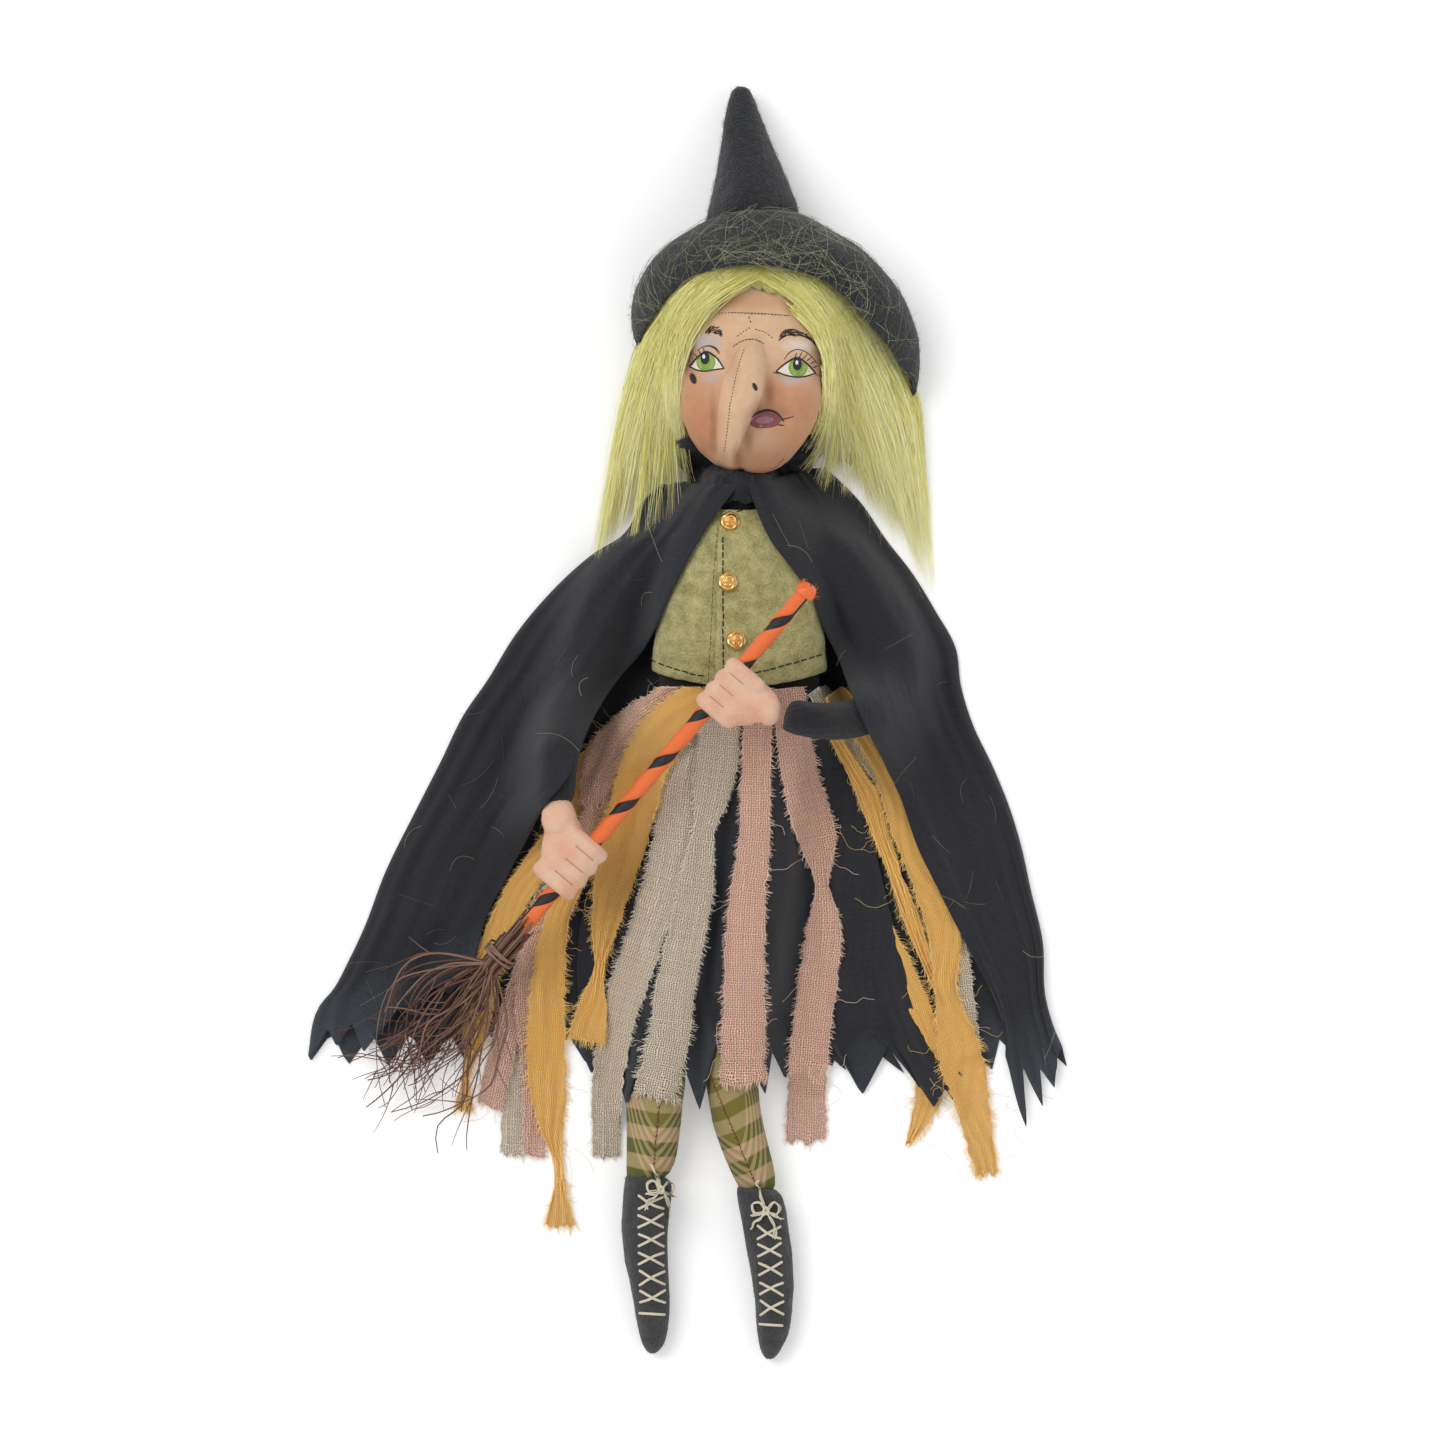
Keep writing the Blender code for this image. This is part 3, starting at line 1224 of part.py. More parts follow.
def fold_column(edge):
    """The fold at a side of the cape."""
    return np.column_stack([edge, np.full(len(edge), CAPE_FOLD_HEIGHT)])[:, None]


def cape_edges():
    """The cape's four long lines: left front edge, left fold, right fold, right front edge."""
    lines = (CAPE_LEFT_INNER, CAPE_LEFT_OUTER, CAPE_RIGHT_OUTER, CAPE_RIGHT_INNER)
    return [smooth(line, CAPE_ROWS) for line in lines]


def lay_cape_back():
    """Puts the cape's back under everything that comes after."""
    left_inner, left, right, right_inner = cape_edges()
    PILE.add(cape_back_columns(left, right), grid_triangles(CAPE_ROWS, CAPE_BACK_COLUMNS, False))


def add_cape():
    """One gathered sheet: the back on the floor, a fold at each side, and the flaps over the arms."""
    left_inner, left, right, right_inner = cape_edges()
    flap_triangles = grid_triangles(CAPE_ROWS, CAPE_FLAP_COLUMNS, False)
    flaps = []
    for inner_edge, outer_edge, order in ((left_inner, left, 1), (right_inner, right, -1)):
        flap = cape_flap(inner_edge, outer_edge)
        flap[-1, :, 1] += teeth(CAPE_FLAP_COLUMNS, CAPE_TOOTH_COLUMNS, CAPE_TOOTH)
        flaps.append(PILE.drape(flap[:, ::order], flap_triangles))
    back = cape_back_columns(left, right)
    back[-1, :, 1] += teeth(CAPE_BACK_COLUMNS, 2, CAPE_TOOTH)
    inner = np.concatenate([flaps[0], fold_column(left), back, fold_column(right), flaps[1]], axis=1)
    outer = inner + COTTON * grid_normals(inner, False)
    outer[..., 2] = outer[..., 2].clip(0)
    flat = slice(CAPE_FLAP_COLUMNS + 1, CAPE_FLAP_COLUMNS + 1 + CAPE_BACK_COLUMNS)
    outer[:, flat, :2] = inner[:, flat, :2]
    outer[:, flat, 2] = 0.0
    sheet("cape", inner, outer, False, "black_cotton")
    for flap in flaps:
        PILE.add(flap + np.array([0, 0, 2 * COTTON]), flap_triangles)


def build():
    """Lays the doll's pieces on each other, from the floor up."""
    clear_scene()
    lay_cape_back()
    add_hat()
    add_hair()
    add_head()
    add_torso()
    add_tie()
    add_leg("left", LEG_LEFT, BOOT_LEFT)
    add_leg("right", LEG_RIGHT, BOOT_RIGHT)
    add_skirt()
    add_vest()
    add_buttons()
    for name, line in STRIPS.items():
        add_strip(name, line)
    stick = stick_line()
    add_arm("left", -1, ARM_LEFT, HAND_LEFT, stick)
    add_arm("right", 1, ARM_RIGHT, HAND_RIGHT, stick)
    add_cape()
    ahead, across, up = add_broom(*stick)
    add_brush(stick[1], ahead, across, up)


build()
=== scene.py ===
"""The looks of a cloth witch doll that lies on its back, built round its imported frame.

Metres, +Z up, +Y towards the hat's tip. "left" and "right" in names are as seen from above, the head up.
Places are measured on a picture of the doll from straight above: at() turns its pixels into metres.
"""

import math

import bmesh
import bpy
import numpy as np
from mathutils import Matrix, Vector
from mathutils.bvhtree import BVHTree


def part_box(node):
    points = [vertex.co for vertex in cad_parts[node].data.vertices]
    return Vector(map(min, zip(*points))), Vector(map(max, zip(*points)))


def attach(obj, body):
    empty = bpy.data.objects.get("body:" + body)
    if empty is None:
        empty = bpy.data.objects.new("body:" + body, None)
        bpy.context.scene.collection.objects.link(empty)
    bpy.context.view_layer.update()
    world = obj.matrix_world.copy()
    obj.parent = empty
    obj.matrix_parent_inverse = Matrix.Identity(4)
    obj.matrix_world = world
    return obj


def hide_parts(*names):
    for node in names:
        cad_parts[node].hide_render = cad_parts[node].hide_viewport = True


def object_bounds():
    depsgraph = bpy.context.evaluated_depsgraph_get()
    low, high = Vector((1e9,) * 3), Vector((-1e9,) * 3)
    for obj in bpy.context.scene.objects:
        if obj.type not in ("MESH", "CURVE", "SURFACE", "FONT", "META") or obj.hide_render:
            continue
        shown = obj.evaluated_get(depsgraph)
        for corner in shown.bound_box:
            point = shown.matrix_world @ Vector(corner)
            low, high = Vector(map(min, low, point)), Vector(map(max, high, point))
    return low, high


# The picture's scale and middle, and the camera over it
PIXEL = 0.00048
PICTURE_SIZE = 1445
PICTURE_ORIGIN = (730.0, 680.0)
CAMERA_HEIGHT = 24.0
CAMERA_FOCUS_HEIGHT = 0.03
SENSOR = 36.0
FLOOR_HALF = 6.0
FLOOR_Z = -0.0002

# Cloth thicknesses and clearance
COTTON = 0.0006
LINEN = 0.0006
GAP = 0.0003
LAWN_PITCH = 0.00055
SEED = 7

# The cape's four long lines from neck to hem, and its hem teeth
CAPE_LEFT_INNER = [
    (739, 484), (716, 515), (696, 546), (670, 596), (646, 646), (617, 681), (593, 719), (579, 752),
    (565, 781), (546, 804), (526, 840), (505, 881), (488, 913), (474, 966),
]
CAPE_LEFT_OUTER = [
    (656, 484), (643, 502), (626, 533), (593, 555), (543, 602), (517, 634), (488, 681), (464, 716),
    (441, 763), (417, 810), (385, 875), (365, 928), (350, 960), (334, 990), (316, 1012), (311, 1040),
]
CAPE_RIGHT_OUTER = [
    (824, 467), (859, 502), (886, 541), (911, 573), (935, 612), (955, 649), (960, 686), (972, 725),
    (992, 767), (1009, 809), (1020, 845), (1030, 890), (1042, 942), (1045, 998), (1054, 1030),
    (1062, 1048),
]
CAPE_RIGHT_INNER = [
    (748, 484), (756, 509), (771, 541), (793, 570), (813, 598), (824, 629), (837, 656), (852, 696),
    (867, 730), (886, 767), (901, 799), (916, 843), (940, 893), (967, 946), (999, 1012), (1010, 1085),
]
CAPE_ROWS = 92
FLAP_COLUMNS = 64
BACK_COLUMNS = 40

# The skirt's sides and the points and notches of its hem
SKIRT_LEFT = [(655, 690), (622, 740), (603, 800), (588, 880), (577, 960), (584, 1050)]
SKIRT_RIGHT = [(824, 690), (857, 740), (876, 851), (901, 951), (930, 1040), (963, 1070)]
SKIRT_HEM = [
    (560, 1010), (592, 1075), (606, 1030), (626, 1105), (645, 1040), (664, 1090), (680, 1052),
    (700, 1110), (716, 1045), (733, 1082), (744, 1050), (766, 1094), (773, 1049), (786, 1079),
    (800, 1045), (816, 1085), (832, 1038), (863, 1095), (891, 1043), (934, 1108), (946, 1088),
    (961, 1112), (985, 1060),
]
SKIRT_ROWS = 72
SKIRT_FRONT_COLUMNS = 220
SKIRT_BACK_COLUMNS = 60

# Rag strips in the order in which they lie, each from the waist down: pixel x, pixel y, width in pixels
STRIPS = {
    "strip_yellow_right_hem": [
        (880, 930, 26), (912, 1000, 30), (930, 1060, 32), (929, 1095, 28), (909, 1144, 6),
    ],
    "strip_taupe_right": [(822, 697, 20), (900, 800, 26), (950, 930, 26), (968, 1050, 26)],
    "strip_taupe_left": [
        (661, 697, 17), (606, 760, 26), (576, 830, 26), (546, 900, 26), (526, 980, 26), (517, 1060, 26),
        (513, 1155, 25),
    ],
    "strip_yellow_left": [
        (663, 698, 17), (592, 760, 24), (560, 830, 26), (514, 900, 26), (488, 960, 26), (475, 1030, 24),
        (465, 1083, 8), (463, 1112, 20),
    ],
    "strip_pink_left_inner": [
        (667, 699, 17), (620, 760, 26), (592, 830, 26), (562, 900, 26), (530, 965, 26), (505, 1040, 26),
        (489, 1108, 26),
    ],
    "strip_pink_left": [
        (676, 700, 30), (640, 740, 36), (610, 800, 38), (580, 855, 32), (549, 911, 26), (527, 982, 24),
        (533, 1060, 24), (535, 1156, 22),
    ],
    "strip_pink_fold": [(680, 701, 33), (647, 722, 46), (613, 749, 42), (597, 776, 31), (594, 805, 24)],
    "strip_yellow_left_long": [
        (690, 701, 22), (655, 745, 24), (625, 800, 26), (603, 842, 20), (574, 885, 18), (556, 925, 24),
        (549, 972, 32), (546, 1050, 38), (550, 1115, 30), (558, 1169, 8), (560, 1228, 31),
    ],
    "strip_taupe_middle_under": [
        (703, 701, 27), (680, 780, 36), (671, 850, 38), (655, 910, 37), (638, 960, 36), (622, 1010, 34),
        (609, 1070, 32), (606, 1158, 27),
    ],
    "strip_yellow_front": [
        (699, 700, 34), (668, 728, 44), (645, 765, 46), (632, 812, 46), (617, 870, 40), (604, 930, 26),
        (599, 967, 10), (592, 1010, 30), (585, 1042, 36),
    ],
    "strip_taupe_middle": [
        (722, 699, 36), (714, 780, 40), (703, 834, 22), (697, 880, 34), (690, 920, 37), (676, 985, 39),
        (668, 1040, 41), (655, 1096, 42),
    ],
    "strip_pink_middle": [
        (757, 698, 28), (756, 780, 29), (754, 844, 31), (748, 895, 36), (744, 992, 42), (743, 1083, 45),
    ],
    "strip_pink_right": [
        (790, 698, 32), (800, 775, 36), (817, 838, 38), (822, 884, 15), (824, 930, 34), (818, 985, 38),
        (811, 1038, 38), (807, 1085, 38), (806, 1142, 40),
    ],
    "strip_yellow_right_thin": [
        (834, 735, 10), (851, 766, 14), (868, 796, 20), (882, 839, 15), (895, 873, 12), (912, 920, 16),
        (927, 960, 12), (942, 990, 14),
    ],
    "strip_yellow_right": [
        (840, 700, 22), (880, 755, 26), (908, 830, 32), (936, 900, 34), (946, 950, 30), (946, 988, 22),
        (960, 1053, 44), (975, 1115, 32), (987, 1176, 22),
    ],
}
UNDER_SKIRT = ["strip_yellow_right_hem"]
STRIP_TOP_LIMIT = -0.0032
STRIP_TOP_SPARE = 0.005
STRIP_END_RAGGED = 0.0022
STRIP_WIDTH_LEAST = 0.0101

# The broomstick's ends in plan, the ribbon wound on it and the brush
STICK_TOP = (0.0360, 0.0422)
STICK_END = (-0.1120, -0.1337)
STICK_RADIUS = 0.0032
RIBBON_PITCH = 0.0298
RIBBON_SHARE = 0.72
RIBBON_IN = 0.0002
RIBBON_OUT = 0.0006
RIBBON_FROM = 0.0113
RIBBON_STEPS = 620
BRUSH_RADIUS = 0.0062
TWIG_COUNT = 58
FORK_COUNT = 70

# The band round the neck: its middle line in pixels and its width in pixels
COLLAR = [
    (690, 436), (696, 452), (708, 466), (724, 476), (743, 480), (764, 477), (781, 467), (793, 453),
    (800, 436),
]
COLLAR_WIDTH = 46
COLLAR_STEPS = 170

# The legs: seams in pixels, how far a leg runs on into its boot, and the measures of its plaid
LEG_SEAMS = {"left": ((660, 1096), (653, 1176)), "right": ((708, 1070), (758, 1190))}
LEG_TUCK_FROM = 0.012
LEG_TUCK = 0.0045
PLAID_PITCH = 0.0140
PLAID_BAND = 0.0125
PLAID_LINES = 0.0225
PLAID_LINE_PITCH = 0.0058
PLAID_LINES_LENGTH = 0.0285

COLOURS = {
    "cotton_black": (0.0125, 0.0130, 0.0165),
    "cotton_grey": (0.030, 0.031, 0.038),
    # painted light through worn thin black cotton
    "cotton_thin_lit": (0.072, 0.086, 0.105),
    "felt_black": (0.0150, 0.0170, 0.0215),
    "boot_dark": (0.028, 0.029, 0.030),
    "boot_light": (0.062, 0.062, 0.062),
    "felt_fibre": (0.080, 0.084, 0.086),
    "pink_light": (0.900, 0.660, 0.540),
    "taupe_light": (0.800, 0.730, 0.610),
    "yellow_light": (1.000, 0.680, 0.250),
    "orange_light": (1.000, 0.350, 0.080),
    "hand_light": (0.900, 0.720, 0.580),
    "hand_seam": (0.420, 0.190, 0.110),
    "knit_black": (0.0105, 0.0105, 0.0125),
    "olive": (0.225, 0.215, 0.070),
    "olive_light": (0.560, 0.500, 0.230),
    "blush": (0.540, 0.225, 0.105),
    "hand": (0.760, 0.480, 0.330),
    "hand_pink": (0.730, 0.350, 0.220),
    "hand_pale": (0.860, 0.640, 0.480),
    "muslin": (0.700, 0.425, 0.260),
    "muslin_pale": (0.800, 0.560, 0.370),
    "muslin_gap": (0.300, 0.130, 0.070),
    "ribbon_deep": (0.780, 0.105, 0.012),
    "ribbon_bright": (0.950, 0.210, 0.035),
    "lace_dark": (0.560, 0.480, 0.330),
    "lace_pale": (0.900, 0.850, 0.700),
    "stray_dark": (0.055, 0.062, 0.032),
    "stray_pale": (0.520, 0.520, 0.340),
    "hair_root": (0.560, 0.520, 0.100),
    # painted shade deep in the wig's fur
    "hair_under": (0.200, 0.190, 0.030),
    "hair": (0.930, 0.890, 0.350),
    "hair_tip": (0.970, 0.950, 0.640),
    "pink": (1.000, 0.640, 0.480),
    "pink_dark": (0.560, 0.250, 0.180),
    "taupe": (0.930, 0.790, 0.610),
    "taupe_dark": (0.370, 0.290, 0.205),
    "yellow": (1.000, 0.610, 0.165),
    "yellow_dark": (0.930, 0.400, 0.070),
    "orange": (0.900, 0.150, 0.018),
    "ribbon_black": (0.012, 0.010, 0.012),
    "twig": (0.112, 0.056, 0.039),
    "twig_light": (0.300, 0.180, 0.132),
    "gold": (0.850, 0.520, 0.190),
    "plaid_green": (0.110, 0.120, 0.025),
    "plaid_olive": (0.190, 0.165, 0.030),
    "plaid_tan": (0.390, 0.310, 0.135),
    "plaid_pink": (0.640, 0.400, 0.260),
    "plaid_soil": (0.080, 0.070, 0.030),
    "thread_black": (0.010, 0.010, 0.010),
    "thread_red": (0.180, 0.018, 0.018),
    "sclera": (0.800, 0.740, 0.640),
    "iris": (0.215, 0.350, 0.055),
    "iris_light": (0.420, 0.550, 0.180),
    "paint_black": (0.012, 0.011, 0.010),
    "brow": (0.050, 0.040, 0.038),
    "white": (0.900, 0.900, 0.900),
    "lips": (0.250, 0.075, 0.095),
    "lip_red": (0.340, 0.050, 0.070),
    # painted highlight on the lips
    "lip_highlight": (0.400, 0.180, 0.200),
    "eyeshadow": (0.520, 0.470, 0.490),
    # painted shade for the face
    "shade": (0.330, 0.130, 0.070),
}


def at(points):
    """Metres for pixels of the picture. Further columns are kept."""
    points = np.array(points, float)
    points[..., 0] = (points[..., 0] - PICTURE_ORIGIN[0]) * PIXEL
    points[..., 1] = (PICTURE_ORIGIN[1] - points[..., 1]) * PIXEL
    return points


def unit(vectors):
    """The same directions, each with a length of one."""
    return vectors / np.maximum(np.linalg.norm(vectors, axis=-1, keepdims=True), 1e-12)


def smooth_line(points, count):
    """Evenly spaced points on a smooth curve through the chosen ones. Spacing is measured in plan."""
    chosen = np.array(points, float)
    steps = np.linalg.norm(np.diff(chosen[:, :2], axis=0), axis=1)
    knots = np.concatenate([[0.0], np.cumsum(np.maximum(steps, 1e-9))])
    slopes = np.gradient(chosen, knots, axis=0)
    places = np.linspace(0, knots[-1], count)
    i = np.clip(np.searchsorted(knots, places) - 1, 0, len(chosen) - 2)
    span = (knots[i + 1] - knots[i])[:, None]
    s = (places - knots[i])[:, None] / span
    start = (2 * s**3 - 3 * s**2 + 1) * chosen[i] + (s**3 - 2 * s**2 + s) * span * slopes[i]
    end = (3 * s**2 - 2 * s**3) * chosen[i + 1] + (s**3 - s**2) * span * slopes[i + 1]
    return start + end


def line_length(points):
    """The length of a line through points."""
    return np.linalg.norm(np.diff(points, axis=0), axis=1).sum()


def quarter_turn(ways):
    """Level directions, each turned a quarter to the left as seen from above."""
    turned = np.zeros_like(ways)
    turned[..., 0], turned[..., 1] = -ways[..., 1], ways[..., 0]
    return turned


def spokes(turns, across, up):
    """Directions round an axis, at turns from across towards up."""
    return np.cos(turns)[..., None] * across + np.sin(turns)[..., None] * up


def raised(plan, z):
    """Places in space from places in plan and their heights."""
    return np.concatenate([plan, z[..., None]], axis=-1)


def between(left, right, shares):
    """A grid of points from one line across to another, at shares of the way."""
    return left[:, None] * (1 - shares)[None, :, None] + right[:, None] * shares[None, :, None]


def tapered(radius, end, count, steps):
    """Radii of many rods that shrink from their start to a share of it."""
    return radius * np.linspace(1, end, steps)[None] * np.ones((count, 1))


def noise(u, v, seed):
    """Smooth noise from -1 to 1, one bump about one unit wide."""
    table = np.random.default_rng(seed).uniform(-1, 1, (64, 64))
    u, v = np.broadcast_arrays(np.asarray(u, float), np.asarray(v, float))
    i, j = np.floor(u).astype(int), np.floor(v).astype(int)
    s, t = u - i, v - j
    s, t = s * s * (3 - 2 * s), t * t * (3 - 2 * t)
    low = table[i % 64, j % 64] * (1 - s) + table[(i + 1) % 64, j % 64] * s
    high = table[i % 64, (j + 1) % 64] * (1 - s) + table[(i + 1) % 64, (j + 1) % 64] * s
    return low * (1 - t) + high * t


def blur(grid, passes):
    """A grid of numbers, each averaged with its neighbours a few times."""
    for _ in range(passes):
        padded = np.pad(grid, 1, mode="edge")
        grid = (4 * grid + padded[:-2, 1:-1] + padded[2:, 1:-1] + padded[1:-1, :-2] + padded[1:-1, 2:]) / 8
    return grid


def make(name, points, faces, material, uv=None, tint=None):
    """A piece from points and faces of one size, with a place on its cloth and a tint at each point."""
    mesh = bpy.data.meshes.new(name)
    points = np.asarray(points, np.float32).reshape(-1, 3)
    faces = np.asarray(faces, np.int32)
    mesh.vertices.add(len(points))
    mesh.vertices.foreach_set("co", points.ravel())
    mesh.loops.add(faces.size)
    mesh.loops.foreach_set("vertex_index", faces.ravel())
    mesh.polygons.add(len(faces))
    mesh.polygons.foreach_set("loop_start", np.arange(0, faces.size, faces.shape[1], dtype=np.int32))
    if uv is not None:
        layer = mesh.uv_layers.new(name="UVMap")
        layer.data.foreach_set("uv", np.asarray(uv, np.float32)[faces.ravel()].ravel())
    if tint is not None:
        layer = mesh.attributes.new("tint", "FLOAT", "POINT")
        layer.data.foreach_set("value", np.asarray(tint, np.float32).ravel())
    mesh.update(calc_edges=True)
    mesh.validate()
    mesh.shade_smooth()
    mesh.materials.append(material)
    obj = linked(name, mesh)
    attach(obj, "root")
    return obj


def linked(name, data):
    """A new object in the scene."""
    obj = bpy.data.objects.new(name, data)
    bpy.context.scene.collection.objects.link(obj)
    return obj


def grid_faces(rows, columns, wrap=False):
    """Four-sided faces of a grid of points."""
    row, column = np.meshgrid(np.arange(rows - 1), np.arange(columns if wrap else columns - 1), indexing="ij")
    beside = (column + 1) % columns
    this_row, next_row = row * columns, (row + 1) * columns
    corners = [this_row + column, this_row + beside, next_row + beside, next_row + column]
    return np.stack(corners, axis=-1).reshape(-1, 4)


def grid_normals(grid, wrap=False):
    """The upward side's direction at each point of a grid."""
    if wrap:
        along = np.roll(grid, -1, axis=1) - np.roll(grid, 1, axis=1)
    else:
        along = np.gradient(grid, axis=1)
    return unit(np.cross(along, np.gradient(grid, axis=0)))


def cloth(name, inner, outer, material, uv, tint=None, wrap=False):
    """A closed sheet between two grids of points."""
    rows, columns = inner.shape[:2]
    count = rows * columns
    face = grid_faces(rows, columns, wrap)
    faces = [face[:, ::-1], face + count]
    edges = []
    span = np.arange(columns if wrap else columns - 1)
    beside = (span + 1) % columns
    edges.append(np.stack([span, beside], axis=1))
    edges.append(np.stack([count - columns + beside, count - columns + span], axis=1))
    if not wrap:
        down = np.arange(rows - 1)
        edges.append(np.stack([(down + 1) * columns, down * columns], axis=1))
        edges.append(np.stack([(down + 1) * columns - 1, (down + 2) * columns - 1], axis=1))
    edges = np.concatenate(edges)
    faces.append(np.stack([edges[:, 0], edges[:, 1], edges[:, 1] + count, edges[:, 0] + count], axis=1))
    points = np.concatenate([inner.reshape(-1, 3), outer.reshape(-1, 3)])
    both = np.tile(uv.reshape(-1, 2), (2, 1))
    tints = None if tint is None else np.tile(np.asarray(tint).ravel(), 2)
    return make(name, points, np.concatenate(faces), material, both, tints)


def tubes(paths, radii, sides):
    """Points and faces of many thin rods, each along its own path of the same number of points."""
    paths = np.asarray(paths, float)
    radii = np.broadcast_to(radii, paths.shape[:2])
    ahead = unit(np.gradient(paths, axis=1))
    helper = np.where(np.abs(ahead[..., 2:3]) > 0.9, (1.0, 0.0, 0.0), (0.0, 0.0, 1.0))
    across = unit(np.cross(ahead, helper))
    up = np.cross(across, ahead)
    turns = np.linspace(0, 2 * math.pi, sides, endpoint=False)
    ring = spokes(turns, across[:, :, None], up[:, :, None])
    points = paths[:, :, None] + ring * radii[:, :, None, None]
    count, stations = paths.shape[:2]
    face = grid_faces(stations, sides, True)
    faces = face[None] + (np.arange(count) * stations * sides)[:, None, None]
    return points.reshape(-1, 3), faces.reshape(-1, 4)


def ribbons(paths, widths, lean):
    """Points and faces of many flat strands, each turned about its path by its own lean."""
    paths = np.asarray(paths, float)
    ahead = unit(np.gradient(paths, axis=1))
    across = unit(np.cross(ahead, (0.0, 0.0, 1.0)))
    up = np.cross(across, ahead)
    side = across * np.cos(lean)[:, None, None] + up * np.sin(lean)[:, None, None]
    half = side * (widths / 2)[..., None]
    points = np.stack([paths - half, paths + half], axis=2)
    count, stations = paths.shape[:2]
    face = grid_faces(stations, 2)
    faces = face[None] + (np.arange(count) * stations * 2)[:, None, None]
    return points.reshape(-1, 3), faces.reshape(-1, 4)


def add_blades(name, paths, radii, material, tint, seed):
    """One piece of many thin flat fibres, each turned its own way."""
    paths = np.asarray(paths, float)
    widths = 2.2 * np.broadcast_to(radii, paths.shape[:2])
    lean = np.random.default_rng(seed + 7).uniform(-1.0, 1.0, len(paths))
    points, faces = ribbons(paths, widths, lean)
    return make(name, points, faces, material, tint=np.repeat(tint, 2 * paths.shape[1]))


def add_tubes(name, paths, radii, material, sides, tint=None):
    """One piece of many thin rods."""
    points, faces = tubes(paths, radii, sides)
    tints = None if tint is None else np.repeat(tint, len(points) // len(tint))
    return make(name, points, faces, material, tint=tints)


class Pile:
    """How high things already lie, on a square grid seen from above."""

    cell = 0.001
    corner = np.array([-0.225, -0.350])
    shape = (405, 655)

    def __init__(self):
        self.top = np.zeros(self.shape)

    def cells(self, places):
        """Indices of the cells that hold the places."""
        index = ((places[..., :2] - self.corner) / self.cell).astype(int)
        return index[..., 0].clip(0, self.shape[0] - 1), index[..., 1].clip(0, self.shape[1] - 1)

    def add(self, points, faces):
        """Raises the pile to the height of the faces."""
        points = np.asarray(points, float).reshape(-1, 3)
        faces = np.asarray(faces)
        if faces.shape[1] == 4:
            faces = np.concatenate([faces[:, [0, 1, 2]], faces[:, [0, 2, 3]]])
        corners = points[faces]
        sides = corners[:, :, :2] - np.roll(corners, 1, axis=1)[:, :, :2]
        longest = np.linalg.norm(sides, axis=2).max(axis=1)
        counts = np.ceil(longest / (0.7 * self.cell)).astype(int).clip(1)
        for count in np.unique(counts):
            i, j = np.meshgrid(np.arange(count + 1), np.arange(count + 1))
            inside = i + j <= count
            weights = np.stack([i[inside], j[inside], (count - i - j)[inside]], axis=1) / count
            places = np.einsum("wk,fkc->fwc", weights, corners[counts == count]).reshape(-1, 3)
            np.maximum.at(self.top, self.cells(places), places[:, 2])

    def add_node(self, name):
        """Raises the pile to the height of a piece of the frame."""
        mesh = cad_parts[name].data
        mesh.calc_loop_triangles()
        points = np.empty(len(mesh.vertices) * 3)
        mesh.vertices.foreach_get("co", points)
        faces = np.empty(len(mesh.loop_triangles) * 3, int)
        mesh.loop_triangles.foreach_get("vertices", faces)
        self.add(points.reshape(-1, 3), faces.reshape(-1, 3))

    def around(self):
        """The pile with each cell as high as its highest neighbour."""
        padded = np.pad(self.top, 1, mode="edge")
        rows, columns = self.shape
        return np.max([padded[i : i + rows, j : j + columns] for i in range(3) for j in range(3)], axis=0)

    def level(self, places):
        """How high the pile is at places."""
        return self.top[self.cells(places)]

    def height(self, places):
        """How high the pile is at places and just beside them."""
        return self.around()[self.cells(places)]

    def drape(self, plan, lift, passes):
        """Heights of a sheet over the pile: it spans small gaps as cloth does, and its folds lift it."""
        floor = self.height(plan) + GAP
        height = floor.copy()
        for _ in range(passes):
            padded = np.pad(height, 1, mode="edge")
            mean = (padded[:-2, 1:-1] + padded[2:, 1:-1] + padded[1:-1, :-2] + padded[1:-1, 2:]) / 4
            height = np.maximum(floor, mean)
        height = blur(height, 2) + lift
        return np.maximum(height, floor)


def node_tree(name):
    """A new material with its tree and its main shader."""
    made = bpy.data.materials.new(name)
    made.use_nodes = True
    return made, made.node_tree, made.node_tree.nodes["Principled BSDF"]


def node(tree, kind, settings=None, **inputs):
    """A shader node. A socket among the inputs is linked, anything else is its value."""
    made = tree.nodes.new("ShaderNode" + kind)
    for key, value in (settings or {}).items():
        setattr(made, key, value)
    for key, value in inputs.items():
        numbered = key[0] == "i" and key[1:].isdigit()
        socket = made.inputs[int(key[1:]) if numbered else key.replace("_", " ")]
        if isinstance(value, bpy.types.NodeSocket):
            tree.links.new(value, socket)
        else:
            socket.default_value = value
    return made


def math_node(tree, operation, first, second=0.0, third=0.0, clamp=False):
    """The result of one sum in a shader."""
    made = node(tree, "Math", {"operation": operation, "use_clamp": clamp}, i0=first, i1=second, i2=third)
    return made.outputs[0]


def plus(tree, first, second):
    """The sum of two values in a shader."""
    return math_node(tree, "ADD", first, second)


def times(tree, first, second, clamp=False):
    """The product of two values in a shader."""
    return math_node(tree, "MULTIPLY", first, second, clamp=clamp)


def times_plus(tree, first, second, third, clamp=False):
    """The product of two values in a shader, and a third on top."""
    return math_node(tree, "MULTIPLY_ADD", first, second, third, clamp)


def vector_math(tree, operation, *values):
    """A node that works on places or directions."""
    inputs = {f"i{index}": value for index, value in enumerate(values)}
    return node(tree, "VectorMath", {"operation": operation}, **inputs)


def own_place(tree):
    """The place in metres."""
    return node(tree, "TexCoord").outputs["Object"]


def cloth_place(tree):
    """The place on a cloth laid flat, in metres."""
    return node(tree, "TexCoord").outputs["UV"]


def tint_value(tree):
    """The tint that a mesh carries at each point."""
    return node(tree, "Attribute", {"attribute_name": "tint"}).outputs["Fac"]


def paint(tree, shader, colour):
    """Joins a colour to a shader."""
    tree.links.new(colour, shader.inputs["Base Color"])


